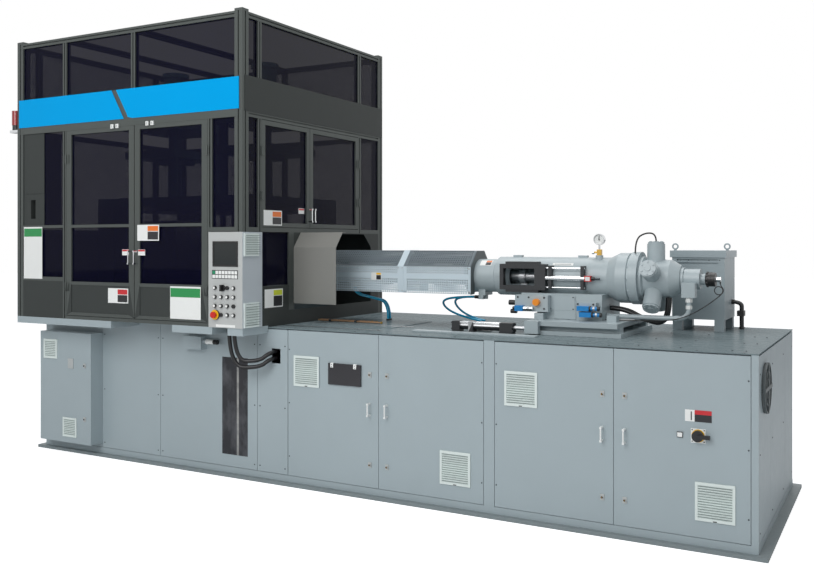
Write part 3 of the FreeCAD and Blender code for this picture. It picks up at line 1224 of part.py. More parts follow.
def make_enclosure_sheets():
    sheets = []
    inner = "rail_side"
    side = (f"{ENC_RIGHT} - wall_sheet", ENC_RIGHT)
    # dark band above the side doors, in front of the rails' grooves
    band = span_from("fascia_low - 12", "fascia_high + 24")
    sheets.append(box(span_from(ENC_RIGHT, "wall_sheet"), (f"{ENC_FRONT} + 24", f"{ENC_BACK} - 14"), band))
    # front left foot panel
    post_right = f"({ENC_LEFT} + post_side)"
    sheets.append(box((post_right, FRONT_MULLION), span_from(ENC_FRONT, "wall_sheet"),
                      ("sill_top", "door_low + kick_high")))
    # side: foot panel under the small window, and the skirt along the deck
    sheets.append(box(side, (BOX_BACK, PILLAR), ("table_top + skirt_high", "door_low + kick_high - 8")))
    step = f"({CAB_FRONT} - 2)"
    rear = f"({ENC_BACK} - post_side)"
    high = "(table_top + skirt_high)"
    points = [(BOX_BACK, "sill_top"), (step, "sill_top"), (step, "table_top"), (rear, "table_top"),
              (rear, high), (BOX_BACK, high)]
    sheets.append(plate("x", points, side))
    # side wall with its chamfered opening for the barrel
    low = "(table_top + skirt_high)"
    wall_front = f"({PILLAR} + pillar_side)"
    wall_back = f"({ENC_BACK} - post_side)"
    hole_front = f"({ENC_FRONT} + cutout_front)"
    hole_back = f"({hole_front} + cutout_wide)"
    shoulder = "(mid_rail - cutout_chamfer)"
    brow = "(mid_rail - 6)"
    points = [(wall_front, low), (hole_front, low), (hole_front, shoulder),
              (f"{hole_front} + cutout_chamfer - brow_lean", brow),
              (f"{hole_back} - cutout_chamfer", brow), (hole_back, shoulder), (hole_back, low),
              (wall_back, low), (wall_back, "mid_rail"), (wall_front, "mid_rail")]
    sheets.append(plate("x", points, side))
    # lower walls of the back and of the left end
    back = (f"{ENC_BACK} - wall_sheet", ENC_BACK)
    upper_split = f"({ENC_LEFT} + upper_split)"
    for span in ((post_right, FRONT_MULLION), (f"{FRONT_MULLION} + {inner}", upper_split),
                 (f"{upper_split} + {inner}", f"{ENC_RIGHT} - post_side")):
        sheets.append(box(span, back, ("table_top", "mid_rail")))
    left = span_from(ENC_LEFT, "wall_sheet")
    sheets.append(box(left, (f"{ENC_FRONT} + post_side", SIDE_MULLION), ("sill_top", "mid_rail")))
    sheets.append(box(left, (f"{SIDE_MULLION} + {inner}", f"{CAB_FRONT} - 2"), ("sill_top", "mid_rail")))
    sheets.append(box(left, (f"{CAB_FRONT} - 2", BACK_MULLION), ("table_top", "mid_rail")))
    sheets.append(box(left, (f"{BACK_MULLION} + {inner}", f"{ENC_BACK} - post_side"),
                      ("table_top", "mid_rail")))
    node("enclosure_sheets", group(*sheets, side_column()))


def pane(axis, face, inward, first, second):
    """A tinted pane set behind a face, clear of the bars around it."""
    depth = (f"{face} + {inward} * pane_back", f"{face} + {inward} * (pane_back + glass_thick)")
    depth = depth if inward > 0 else depth[::-1]
    spans = [depth if name == axis else None for name in "xyz"]
    rest = iter((first, second))
    spans = [span if span else next(rest) for span in spans]
    return box(*spans, name="pane")


def make_glazing():
    panes = []
    right_post = f"({ENC_RIGHT} - post_side)"
    left_post = f"({ENC_LEFT} + post_side)"
    upper = ("fascia_low + fascia_high", TOP_UNDER)
    split = f"({ENC_LEFT} + upper_split)"
    inner = "rail_side"
    columns = ((left_post, FRONT_MULLION), (f"{FRONT_MULLION} + {inner}", split),
               (f"{split} + {inner}", right_post))
    for face, inward in ((ENC_FRONT, 1), (ENC_BACK, -1)):
        panes += [pane("y", face, inward, column, upper) for column in columns]
    panes += [pane("y", ENC_BACK, -1, column, (MID_TOP, "head_rail")) for column in columns]
    front_post = f"({ENC_FRONT} + post_side)"
    back_post = f"({ENC_BACK} - post_side)"
    rows = ((front_post, SIDE_MULLION), (f"{SIDE_MULLION} + {inner}", BACK_MULLION),
            (f"{BACK_MULLION} + {inner}", back_post))
    for face, inward in ((ENC_RIGHT, -1), (ENC_LEFT, 1)):
        panes += [pane("x", face, inward, row, upper) for row in rows]
    middle = (MID_TOP, "head_rail")
    panes += [pane("x", ENC_LEFT, 1, row, middle) for row in rows]
    panes += [pane("x", ENC_RIGHT, -1, row, middle) for row in (rows[0], rows[2])]
    # front bays beside the doors
    column_right = f"({left_post} + column_wide)"
    panes.append(pane("y", ENC_FRONT, 1, (column_right, FRONT_MULLION),
                      ("cross_bar_low + cross_bar_high", "head_rail")))
    panes.append(pane("y", ENC_FRONT, 1, (left_post, FRONT_MULLION),
                      ("door_low + kick_high + 30", "cross_bar_low")))
    panes.append(pane("y", ENC_FRONT, 1, (f"{FRONT_JAMB} + {inner}", right_post), middle))
    # small window of the side, behind the operator box
    panes.append(pane("x", ENC_RIGHT, -1, (f"{SIDE_MULLION} + rail_side", PILLAR),
                      ("door_low + kick_high - 8", "mid_rail")))
    # clear sheet behind the slot of the long base panel
    edge = "slot_corner"
    spans = [(f"{low} - {edge}", f"{high} + {edge}") for low, high in (SLOT_X, SLOT_Z)]
    panes.append(box(spans[0], span_from(f"{CAB_FRONT} + sheet_thick", "window_thick"), spans[1]))
    node("glazing", group(*panes))


def leaf(axis, face, inward, first, second, stile, extra):
    """The bars around an enclosure door, with its cross bars."""
    depth = (face, f"{face} + {inward} * door_bar_deep")
    depth = depth if inward > 0 else depth[::-1]
    (left, right), (low, high) = first, second

    def bar(span, rise):
        return box(depth, span, rise) if axis == "x" else box(span, depth, rise)
    bars = [bar((left, f"{left} + {stile}"), second), bar((f"{right} - {stile}", right), second)]
    inside = (f"{left} + {stile}", f"{right} - {stile}")
    bars.append(bar(inside, (f"{high} - door_head_bar", high)))
    bars += [bar(inside, rise) for rise in extra]
    return fuse(*bars)


def hinge_parts(axis, face, outward, edge, inward, low):
    """A butt hinge at a door's edge: the door's plate with its barrel, then the frame's plate."""
    middle = f"({edge} - {inward} * leaf_gap / 4)"
    out = f"({face} + {outward} * (hinge_radius + running_gap))"
    rise = span_from(low, "hinge_high")
    barrel = rod("z", (out, middle) if axis == "x" else (middle, out), rise, "hinge_radius")
    thick = (face, f"{face} + hinge_leaf") if outward > 0 else (f"{face} - hinge_leaf", face)

    def hinge_plate(near, towards, wide):
        across = span_from(near, wide) if towards > 0 else (f"{near} - {wide}", near)
        return box(thick, across, rise) if axis == "x" else box(across, thick, rise)
    clear = f"({middle} - {inward} * (hinge_radius + running_gap))"
    on_door = fuse(hinge_plate(edge, inward, "hinge_wide"), barrel)
    return on_door, hinge_plate(clear, -inward, "hinge_frame_wide")


def leaf_hinges(axis, face, outward, edge, inward, rise):
    """The two hinges of an enclosure door."""
    pairs = [hinge_parts(axis, face, outward, edge, inward, low) for low in
             (f"{rise[0]} + hinge_end", f"{rise[1]} - hinge_end - hinge_high")]
    return [pair[0] for pair in pairs], [pair[1] for pair in pairs]


FRONT_LEAVES = (
    (f"({FRONT_MULLION} + rail_side + leaf_gap / 2)",
     f"({ENC_LEFT} + front_door_split - front_door_gap / 2)", "left"),
    (f"({ENC_LEFT} + front_door_split + front_door_gap / 2)", f"({FRONT_JAMB} - leaf_gap / 2)", "right"),
)
SIDE_LEAVES = (
    (f"({SIDE_MULLION} + rail_side + leaf_gap / 2)", f"({ENC_FRONT} + side_door_split - leaf_gap / 2)",
     "front"),
    (f"({ENC_FRONT} + side_door_split + leaf_gap / 2)", f"({BACK_MULLION} - leaf_gap / 2)", "back"),
)


FRONT_RISE = ("door_low", "(head_rail - leaf_gap)")
SIDE_RISE = (f"({MID_TOP} + leaf_gap)", "(head_rail - leaf_gap)")


def make_front_leaves():
    rise = FRONT_RISE
    for left, right, side in FRONT_LEAVES:
        edge, inward = (left, 1) if side == "left" else (right, -1)
        hinges, plates = leaf_hinges("y", ENC_FRONT, -1, edge, inward, rise)
        frame_plates.extend(plates)
        kick_top = "door_low + kick_high"
        cross = span_from("cross_bar_low", "cross_bar_high")
        frame = leaf("y", ENC_FRONT, 1, (left, right), rise, "door_bar",
                     [(f"{kick_top} - kick_bar", kick_top), cross, span_from("door_low", "kick_bar")])
        inside = (f"{left} + door_bar", f"{right} - door_bar")
        kick = box(inside, span_from(f"{ENC_FRONT} + 4", "wall_sheet"),
                   ("door_low + kick_bar", f"{kick_top} - kick_bar"))
        grip = f"({right} - front_grip_edge)" if side == "left" else f"({left} + front_grip_edge)"
        handle = pull_handle("y", ENC_FRONT, -1, grip, "front_grip_low", "front_grip_high")
        glass = [pane("y", ENC_FRONT, 1, inside, span) for span in
                 ((kick_top, "cross_bar_low"),
                  ("cross_bar_low + cross_bar_high", "head_rail - leaf_gap - door_head_bar"))]
        node(f"front_door_{side}", group(frame, kick, *handle, *hinges))
        node(f"front_door_{side}_glass", group(*glass))


def make_side_leaves():
    rise = SIDE_RISE
    for front, back, side in SIDE_LEAVES:
        edge, inward = (front, 1) if side == "front" else (back, -1)
        hinges, plates = leaf_hinges("x", ENC_RIGHT, 1, edge, inward, rise)
        frame_plates.extend(plates)
        foot = span_from(f"{MID_TOP} + leaf_gap", "side_foot_bar")
        frame = leaf("x", ENC_RIGHT, -1, (front, back), rise, "side_door_bar", [foot])
        inside = (f"{front} + side_door_bar", f"{back} - side_door_bar")
        grip = f"({back} - side_grip_edge)" if side == "front" else f"({front} + side_grip_edge)"
        handle = pull_handle("x", ENC_RIGHT, 1, grip, "side_grip_low", "side_grip_high")
        glass = pane("x", ENC_RIGHT, -1, inside,
                     (f"{MID_TOP} + leaf_gap + side_foot_bar", "head_rail - leaf_gap - door_head_bar"))
        node(f"side_door_{side}", group(frame, *handle, *hinges))
        node(f"side_door_{side}_glass", glass)


def make_hood():
    """A folded guard beside the opening: an upright side, a slanted brow and a short top."""
    face = f"({ENC_FRONT} + cutout_front)"
    fold = "(mid_rail - cutout_chamfer)"
    top = "mid_rail"
    wall = "hood_sheet"
    lean = "(cutout_chamfer - brow_lean)"
    points = [(f"{face} - {wall}", "hood_low"), (face, "hood_low"), (face, f"{fold} - 1.5"),
              (f"{face} + {lean}", f"{top} - {wall}"),
              (f"{face} + {lean} + hood_top_long", f"{top} - {wall}"),
              (f"{face} + {lean} + hood_top_long", top), (f"{face} + {lean} - 2", top),
              (f"{face} - {wall}", fold)]
    node("nozzle_hood", plate("x", points, (f"{ENC_RIGHT}", f"{ENC_RIGHT} + hood_long")))


def side_column():
    """A steel housing in the left bay, with a slot in its lower half."""
    left = f"({ENC_LEFT} + post_side)"
    front = f"({ENC_FRONT} + column_back)"
    body = box(span_from(left, "column_wide"), span_from(front, "column_deep"),
               ("cross_bar_low + cross_bar_high", "head_rail"))
    seam = box((f"{left} - 1", f"{left} + column_wide + 1"), (f"{front} - 1", f"{front} + 3"),
               span_from("column_seam", "4"))
    slot = box(span_from(f"{left} + column_slot_left", "column_slot_wide"),
               (f"{front} - 1", f"{front} + column_slot_deep"),
               ("column_slot_low", "column_slot_high"))
    return cut(body, seam, slot)


def make_beacon():
    """A lamp on a bracket at the enclosure's left end."""
    x = f"({ENC_LEFT} - beacon_reach)"
    y = f"({ENC_FRONT} + beacon_back)"
    foot_low = "(beacon_low + beacon_bracket)"
    lens_low = f"({foot_low} + beacon_foot_high)"
    bracket = box((f"{ENC_LEFT} - beacon_arm", ENC_LEFT), (ENC_FRONT, f"{y} + beacon_back"),
                  ("beacon_low", foot_low))
    foot = rod("z", (x, y), (foot_low, lens_low), "beacon_foot")
    lens = rod("z", (x, y), span_from(lens_low, "beacon_lens_high"), "beacon_lens")
    node("beacon_lamp", group(fuse(bracket, foot), lens))


def make_operator_box():
    case = box((BOX_LEFT, BOX_RIGHT), (BOX_FRONT, BOX_BACK), ("sill_top", BOX_TOP))
    screen_x = span_from(f"{BOX_LEFT} + (box_wide - screen_wide) / 2", "screen_wide")
    screen_z = (f"{BOX_TOP} - screen_top - screen_high", f"{BOX_TOP} - screen_top")
    bezel = box(screen_x, (f"{BOX_FRONT} - screen_proud", BOX_FRONT), screen_z)
    recess = box((f"{screen_x[0]} + screen_bezel", f"{screen_x[1]} - screen_bezel"),
                 (f"{BOX_FRONT} - screen_proud - 1", f"{BOX_FRONT} - screen_sunk"),
                 (f"{screen_z[0]} + screen_bezel", f"{screen_z[1]} - screen_bezel"))
    node("touch_screen", cut(bezel, recess))
    keys = []
    for row in range(int(number("key_row_count"))):
        for column in range(int(number("key_column_count"))):
            x = f"{BOX_LEFT} + (box_wide - key_column_count * key_pitch) / 2 + {column} * key_pitch"
            z = f"{BOX_TOP} - key_top - {row + 1} * key_pitch"
            keys.append(box(span_from(x, "key_side"), (f"{BOX_FRONT} - 4", BOX_FRONT),
                            span_from(z, "key_side")))
    buttons = []
    for row in range(4):
        for column in range(4):
            if (row, column) in ((0, 1), (3, 0)):
                continue
            x = f"{BOX_LEFT} + button_side + {column} * button_pitch_x"
            z = f"{BOX_TOP} - button_top - {row} * button_pitch_z"
            buttons.append(rod("y", (x, z), (f"{BOX_FRONT} - button_proud", BOX_FRONT), "button_radius"))
    x = f"({BOX_LEFT} + button_side + stop_shift)"
    z = f"({BOX_TOP} - button_top - 3 * button_pitch_z)"
    collar = rod("y", (x, z), (f"{BOX_FRONT} - stop_collar", BOX_FRONT), "stop_ring")
    buttons.append(cut(collar,
                       rod("y", (x, z), (f"{BOX_FRONT} - stop_collar - 1", f"{BOX_FRONT} + 1"),
                           "stop_stem + running_gap")))
    node("push_buttons", group(*keys, *buttons))
    under = f"({BOX_FRONT} - stop_collar - stop_travel - running_gap)"
    stem = rod("y", (x, z), (f"{under} - 1", f"{BOX_FRONT} - stop_travel - running_gap"), "stop_stem")
    head = rod("y", (x, z), (f"{under} - stop_head", under), "stop_radius")
    node("emergency_stop", fuse(head, stem))
    x = f"({BOX_LEFT} + button_side + button_pitch_x + selector_shift)"
    z = f"({BOX_TOP} - button_top)"
    knob = rod("y", (x, z), (f"{BOX_FRONT} - selector_low", f"{BOX_FRONT} - running_gap"), "selector_radius")
    grip = box((f"{x} - 6", f"{x} + 6"), (f"{BOX_FRONT} - selector_high", f"{BOX_FRONT} - selector_low"),
               (f"{z} - selector_radius + 1", f"{z} + selector_radius - 1"))
    node("mode_selector", fuse(knob, grip))
    grilles = []
    front = f"({BOX_FRONT} + box_vent_front)"
    back = f"({front} + box_vent_wide)"
    for low, high in ((f"{BOX_TOP} - 10 - box_vent_high", "box_vent_high"), ("sill_top + 4", "box_vent_low")):
        body = box(span_from(BOX_RIGHT, "vent_proud"), (front, back), span_from(low, high))
        slots = []
        for index in range(int(number("box_vent_count"))):
            rise = span_from(f"{low} + box_vent_rim + {index} * box_vent_pitch", "box_vent_gap")
            depth = (f"{BOX_RIGHT} + vent_proud / 2", f"{BOX_RIGHT} + vent_proud + 1")
            slots.append(box(depth, (f"{front} + box_vent_rim", f"{back} - box_vent_rim"), rise))
        grilles.append(cut(body, *slots))
    node("operator_box", group(case, *grilles))


# ---------------------------------------------------------------- forming mechanism

STATION_LEFT = f"({TABLE_X} - station_reach)"
STATION_RIGHT = f"({TABLE_X} + station_reach)"
BED_TOP = "(table_top + bed_high)"
BASE_TOP = "(upper_base_low + upper_base_thick)"
HEAD_UPPER = "(head_low + head_thick)"


def make_machine_bed():
    slab = box((f"{TABLE_X} - bed_long / 2", f"{TABLE_X} + bed_long / 2"), ("-bed_wide / 2", "bed_wide / 2"),
               ("table_top", BED_TOP))
    pillars = []
    for x in (f"{TABLE_X} - bed_long / 2", f"{TABLE_X} + bed_long / 2 - pillar_wide"):
        for y in ("-bed_wide / 2", "bed_wide / 2 - pillar_wide"):
            pillars.append(box(span_from(x, "pillar_wide"), span_from(y, "pillar_wide"),
                               (BED_TOP, "upper_base_low")))
    pedestal = box((f"{STATION_LEFT} - pedestal_half", f"{STATION_LEFT} + pedestal_half"),
                   ("-pedestal_wide / 2", "pedestal_wide / 2"), (BED_TOP, "mould_low - running_gap"))
    node("machine_bed", group(slab, *pillars, pedestal))


def upper_base():
    slab = box((f"{TABLE_X} - bed_long / 2", f"{TABLE_X} + bed_long / 2"), ("-bed_wide / 2", "bed_wide / 2"),
               ("upper_base_low", BASE_TOP))
    through = ("upper_base_low - 1", f"{BASE_TOP} + 1")
    windows = []
    for x, y in ((STATION_LEFT, "0"), (STATION_RIGHT, "0")):
        windows.append(box((f"{x} - window_wide / 2", f"{x} + window_wide / 2"),
                           (f"{y} - window_long / 2", f"{y} + window_long / 2"), through))
    return cut(slab, *windows)


def make_rotary_table():
    """A round plate with four windows for the neck plates, hung on a central hub."""
    high = "(upper_base_low - table_gap)"
    low = f"({high} - table_thick)"
    disc = rod("z", (TABLE_X, "0"), (low, high), "table_radius")
    windows = []
    for index in range(4):
        along_x = index % 2 == 0
        sign = 1 if index < 2 else -1
        x = f"({TABLE_X} + {sign if along_x else 0} * station_reach)"
        y = f"({0 if along_x else sign} * station_reach)"
        narrow, long = "table_window / 2", "window_long / 2 - table_window_lap"
        half_x, half_y = (narrow, long) if along_x else (long, narrow)
        windows.append(box((f"{x} - ({half_x})", f"{x} + {half_x}"), (f"{y} - ({half_y})", f"{y} + {half_y}"),
                           (f"{low} - 1", f"{high} + 1")))
    hub = rod("z", (TABLE_X, "0"), (f"{high} - 1", "upper_base_low - running_gap"), "table_hub")
    node("rotary_table", fuse(cut(disc, *windows), hub))


def column_spots(station):
    """Where the four columns of a station stand."""
    return [(f"({station} + {sx} * column_x)", f"({sy} * column_y)") for sx in (-1, 1) for sy in (-1, 1)]


def tie_columns():
    """The round columns between the upper base and the heads."""
    rods = []
    for station in (STATION_LEFT, STATION_RIGHT):
        for spot in column_spots(station):
            rods.append(rod("z", spot, (BASE_TOP, f"{HEAD_UPPER} + column_nut"), "column_radius"))
    return rods


def make_clamp_tower():
    """The upper base, its columns and the fixed head above each station with its vertical cylinder."""
    heads = []
    for station in (STATION_LEFT, STATION_RIGHT):
        half = "(column_x + head_lap)"
        slab = box((f"{station} - {half}", f"{station} + {half}"),
                   ("-column_y - head_lap", "column_y + head_lap"),
                   ("head_low", HEAD_UPPER))
        holes = [rod("z", spot, ("head_low - 1", f"{HEAD_UPPER} + 1"),
                     "column_radius + running_gap") for spot in column_spots(station)]
        top = f"({HEAD_UPPER} + cylinder_high)"
        barrel = rod("z", (station, "0"), (HEAD_UPPER, top), "cylinder_radius")
        bore = rod("z", (station, "0"), ("head_low - 1", f"{top} - 30"), "ram_radius + running_gap")
        cap = rod("z", (station, "0"), span_from(top, "head_cap"), "cylinder_radius + head_cap_lip")
        heads.append(cut(fuse(slab, barrel, cap), bore, *holes))
    node("clamp_tower", group(upper_base(), *tie_columns(), *heads))


def make_platen(label, station, tool_radius, tool_long, pitch):
    """A moving platen on its ram, with two rods that reach down to the station's window."""
    half = "(column_x + platen_lap)"
    slab = box((f"{station} - {half}", f"{station} + {half}"),
               ("-column_y - platen_lap", "column_y + platen_lap"),
               span_from("platen_low", "platen_thick"))
    holes = [rod("z", spot, ("platen_low - 1", "platen_low + platen_thick + 1"),
                 "column_radius + running_gap") for spot in column_spots(station)]
    ram = rod("z", (station, "0"),
              ("platen_low + platen_thick - 1", f"{HEAD_UPPER} + cylinder_high - ram_short"), "ram_radius")
    holder = box((f"{station} - holder_side / 2", f"{station} + holder_side / 2"),
                 ("-holder_side / 2", "holder_side / 2"),
                 ("platen_low - holder_high", "platen_low"))
    turn = label == "stretch_platen"
    tools = []
    for step in ("-0.5", "0.5"):
        shift = f"{step} * {pitch}"
        spot = (f"{station} + {shift}", "0") if turn else (station, shift)
        tools.append(rod("z", spot, (f"platen_low - holder_high - {tool_long}", "platen_low - holder_high"),
                         tool_radius))
    node(label, cut(fuse(slab, ram, holder, *tools), *holes))


def bottle(x):
    """A bottle's outline turned about its upright axis at the parting plane."""
    base = "(mould_low + bottle_low)"
    body = doc.addObject("PartDesign::Body", "bottle")
    top = f"({base} + bottle_high)"
    mouth = "(mould_low + mould_high + 1)"
    points = [("0", base), ("bottle_radius - bottle_foot", base),
              ("bottle_radius", f"{base} + bottle_foot_high"),
              ("bottle_radius", f"{top} - bottle_shoulder"), ("neck_radius", top), ("neck_radius", mouth),
              ("0", mouth)]
    sketch = outline(body, "XZ_Plane", points)
    spin = body.newObject("PartDesign::Revolution", "spin")
    spin.Profile = sketch
    spin.ReferenceAxis = (sketch, ["V_Axis"])
    body.Tip = spin
    return place(body, x=x)


def make_moulds():
    rise = span_from("mould_low", "mould_high")
    across = (f"{STATION_LEFT} - mould_long / 2", f"{STATION_LEFT} + mould_long / 2")
    gap = "running_gap / 2"
    halves = (("front", (f"-{gap} - mould_deep", f"-{gap}")), ("back", (gap, f"{gap} + mould_deep")))
    for side, depth in halves:
        block = box(across, depth, rise)
        cavities = [bottle(f"{STATION_LEFT} + {step} * bottle_pitch") for step in ("-0.5", "0.5")]
        node(f"blow_mould_{side}", cut(block, *cavities))


def make_cavity_block():
    """The fixed injection mould with its manifold, which the nozzle meets."""
    right = f"({NOZZLE_TIP} - running_gap)"
    low = f"({BED_TOP} + manifold_high)"
    high = f"({low} + cavity_block_high)"
    manifold = box((f"{STATION_RIGHT} - manifold_left", right), ("-manifold_wide / 2", "manifold_wide / 2"),
                   (BED_TOP, low))
    block = box((f"{STATION_RIGHT} - cavity_block_long / 2", f"{STATION_RIGHT} + cavity_block_long / 2"),
                ("-cavity_block_wide / 2", "cavity_block_wide / 2"), (low, high))
    bores = [rod("z", (STATION_RIGHT, f"{step} * core_pitch"), (f"{high} - cavity_deep", f"{high} + 1"),
                 "core_radius + cavity_room") for step in ("-0.5", "0.5")]
    node("injection_mould", cut(fuse(manifold, block), *bores))


# ---------------------------------------------------------------- injection unit

RAIL_TOP = "(table_top + bed_plate_thick + rail_high)"
FOOT_LOW = f"({RAIL_TOP} + running_gap)"
FOOT_TOP = f"({FOOT_LOW} + slide_thick)"
AXIS = ("0", "axis_z")


def make_deck_rails():
    left, right = BED_LEFT, f"({BED_LEFT} + bed_plate_long)"
    slab = box((left, right), ("-bed_plate_wide / 2", "bed_plate_wide / 2"),
               span_from("table_top", "bed_plate_thick"))
    rails = []
    for side in (-1, 1):
        across = (f"{side} * rail_apart / 2 - rail_wide / 2", f"{side} * rail_apart / 2 + rail_wide / 2")
        rails.append(box((f"{left} + rail_short", f"{right} - rail_short"), across,
                         ("table_top + bed_plate_thick", RAIL_TOP)))
    strip = box(span_from(f"{TRAVERSE_LEFT} - strip_reach", "strip_long"),
                span_from("-strip_front", "strip_wide"),
                span_from("table_top", "strip_thick"))
    node("deck_rails", group(slab, *rails, strip))


def make_carriage():
    """The foot that slides on the rails and the casting that carries the cylinder."""
    left, right = f"({BED_LEFT} + slide_inset)", f"({BED_LEFT} + bed_plate_long - slide_inset)"
    foot = box((left, right), ("-slide_wide / 2", "slide_wide / 2"), (FOOT_LOW, FOOT_TOP))
    half = "body_wide / 2"
    points = [(f"-{half}", FOOT_TOP), (half, FOOT_TOP), (half, "body_top"), (f"-{half}", "body_top")]
    body = plate("x", points, (left, f"{BODY_LEFT} + body_long"))
    under = f"{FOOT_TOP} + console_low"
    nose = [(f"-{half}", under), (half, under), (half, "body_top"), (f"-{half}", "body_top")]
    console = plate("x", nose, (BODY_LEFT, left))
    seat = rod("x", AXIS, (f"{BODY_LEFT} - 1", f"{BODY_LEFT} + body_long + 1"),
               "barrel_end_radius + running_gap")
    cover = box(span_from(f"{BODY_LEFT} + body_cover_left", "body_cover_long"),
                (f"-{half} - body_cover_thick", f"-{half}"),
                (f"{FOOT_TOP} + 4", "body_top - body_cover_drop"))
    step = [box(span_from(x, "step_long"), (f"-{half} - step_wide", f"-{half}"),
                span_from(FOOT_TOP, "step_high"))
            for x in (f"{left} + step_left", f"{right} - step_right")]
    node("carriage", group(foot, cut(fuse(body, console), seat), cover, *step))


def make_traverse():
    """The hydraulic cylinder that moves the carriage, and its rod with the plate on the carriage's foot."""
    centre = ("traverse_y", "traverse_z")
    left = TRAVERSE_LEFT
    right = f"({TRAVERSE_LEFT} + traverse_long)"
    tube_body = rod("x", centre, (f"{left} + 10", f"{right} - 10"), "traverse_radius")
    spans = (span_from(left, "traverse_head"), span_from(f"{left} + traverse_middle", "traverse_middle_long"),
             (f"{right} - traverse_right_head", right))
    across = ("traverse_y - traverse_flange", "traverse_y + traverse_flange")
    heads = [box(span, across, ("table_top", "traverse_z + traverse_flange - 2")) for span in spans]
    bore = rod("x", centre, (f"{left} + 40", f"{right} + 1"), "traverse_rod + running_gap")
    node("traverse_cylinder", cut(fuse(tube_body, *heads), bore))
    edge = "(-slide_wide / 2)"
    eye = box(span_from(f"{BED_LEFT} + slide_inset", "rod_eye_long"), (f"{edge} - rod_eye_wide", edge),
              ("table_top + 8", FOOT_TOP))
    shaft = rod("x", centre, (f"{left} + 60", f"{BED_LEFT} + slide_inset + 1"), "traverse_rod")
    node("traverse_rod", fuse(eye, shaft))


def make_injection_cylinder():
    """Front housing, cylinder, drum and flange, turned about the injection axis."""
    left = FLANGE_LEFT
    step = f"({FLANGE_LEFT} + housing_long)"
    right = CYLINDER_RIGHT
    neck = "(barrel_bore + 8)"
    flange = "housing_radius + housing_flange"
    plate_left = f"{MOTOR_LEFT} - drum_plate"
    groove = "drum_radius - drum_groove"
    floor = f"{step} + bore_floor"
    points = [(left, neck), (left, flange), (f"{left} + flange_thick", flange),
              (f"{left} + flange_thick", "housing_radius"),
              (step, "housing_radius"), (f"{step} + housing_step", "barrel_end_radius"),
              (right, "barrel_end_radius"),
              (f"{right} + drum_cone", "drum_radius"),
              (f"{plate_left} - drum_groove - 2 * drum_edge", "drum_radius"),
              (f"{plate_left} - drum_groove - drum_edge", groove), (f"{plate_left} - drum_edge", groove),
              (plate_left, "drum_flange"), (MOTOR_LEFT, "drum_flange"), (MOTOR_LEFT, "cylinder_bore"),
              (floor, "cylinder_bore"), (floor, neck)]
    shell = turned(points, AXIS)
    window = box(WINDOW_X, ("-barrel_end_radius - 10", "0"), WINDOW_Z)
    crown = "axis_z + barrel_end_radius"
    lugs = [box(span_from(x, "lug_long"), ("-lug_wide / 2", "lug_wide / 2"),
                (f"{crown} - lug_high", f"{crown} + lug_high"))
            for x in (f"{step} + lug_left", f"{right} - lug_right")]
    boss = rod("z", (GAUGE_X, "-gauge_y"), ("axis_z + cylinder_bore + 18", f"{crown} + boss_high"),
               "boss_radius")
    start = f"{left} + clamp_left"
    clamp = box(span_from(start, "clamp_long"), ("-clamp_wide / 2", "clamp_wide / 2"),
                ("axis_z - housing_radius - clamp_high", "axis_z - cylinder_bore - 18"))
    node("injection_cylinder", fuse(cut(shell, window), *lugs, boss, clamp, *water_elbows(start)))


def water_elbows(start):
    """The two black water elbows under the housing's clamp, the second a step behind the first."""
    top = "(axis_z - housing_radius - clamp_high + 2)"
    elbows = []
    for index in range(2):
        left = f"{start} + {index} * elbow_shift"
        front = f"{index} * elbow_step - clamp_wide / 2"
        elbows.append(box(span_from(left, "elbow_side"), span_from(front, "elbow_deep"),
                          (f"{top} - elbow_high", top)))
    return elbows


def make_motor():
    """A radial piston motor: a round housing with cylinders in a star, and its distributor."""
    left = MOTOR_LEFT
    right = f"({MOTOR_LEFT} + motor_long)"
    tail = f"({right} + tail_long)"
    end = f"({tail} + neck_long)"
    lip = "motor_radius + motor_lip"
    flange = (f"{right} + tail_flange", "tail_radius + tail_lip")
    room = f"{left} + motor_cone"
    points = [(left, "motor_room"), (left, lip), (f"{left} + motor_lip", lip),
              (f"{left} + motor_lip + 10", "motor_radius"),
              (f"{right} - motor_cone", "motor_radius"), (right, "motor_radius - motor_narrow"),
              (right, flange[1]),
              flange, (flange[0], "tail_radius"), (tail, "tail_radius"), (tail, "neck_wide"),
              (end, "neck_wide"),
              (end, "motor_bore"), (room, "motor_bore"), (room, "motor_room")]
    housing = turned(points, AXIS)
    lobes = []
    count = int(number("lobe_count"))
    for index in range(count):
        angle = 90 + index * 360 / count
        steps = (("lobe_radius", "lobe_root", "lobe_reach - lobe_cap"),
                 ("lobe_radius - lobe_cap_step", "lobe_reach - lobe_cap - 1", "lobe_reach"))
        for radius, low, high in steps:
            cylinder = doc.addObject("Part::Cylinder", "lobe")
            cylinder.Placement = Placement(Vector(), Rotation(Vector(1, 0, 0), angle - 90))
            cylinder.setExpression("Radius", bind(radius))
            cylinder.setExpression("Height", bind(f"({high}) - ({low})"))
            outward = (-math.sin(math.radians(angle - 90)), math.cos(math.radians(angle - 90)))
            place(cylinder, x=f"{MOTOR_LEFT} + lobe_place", y=f"{outward[0]:.6f} * ({low})",
                  z=f"axis_z + {outward[1]:.6f} * ({low})")
            lobes.append(cylinder)
    core = rod("x", AXIS, (f"{left} - 1", f"{room} + 1"), "motor_room")
    node("hydraulic_motor", group(cut(fuse(housing, *lobes), core), motor_valve(right)))
    face = f"{end} + encoder_long"
    tip = f"{face} + encoder_tip_long"
    points = [(end, "0"), (end, "encoder_radius - encoder_edge"), (f"{end} + encoder_edge", "encoder_radius"),
              (face, "encoder_radius"), (face, "encoder_tip"), (tip, "encoder_tip"), (tip, "0")]
    node("encoder", turned(points, AXIS))


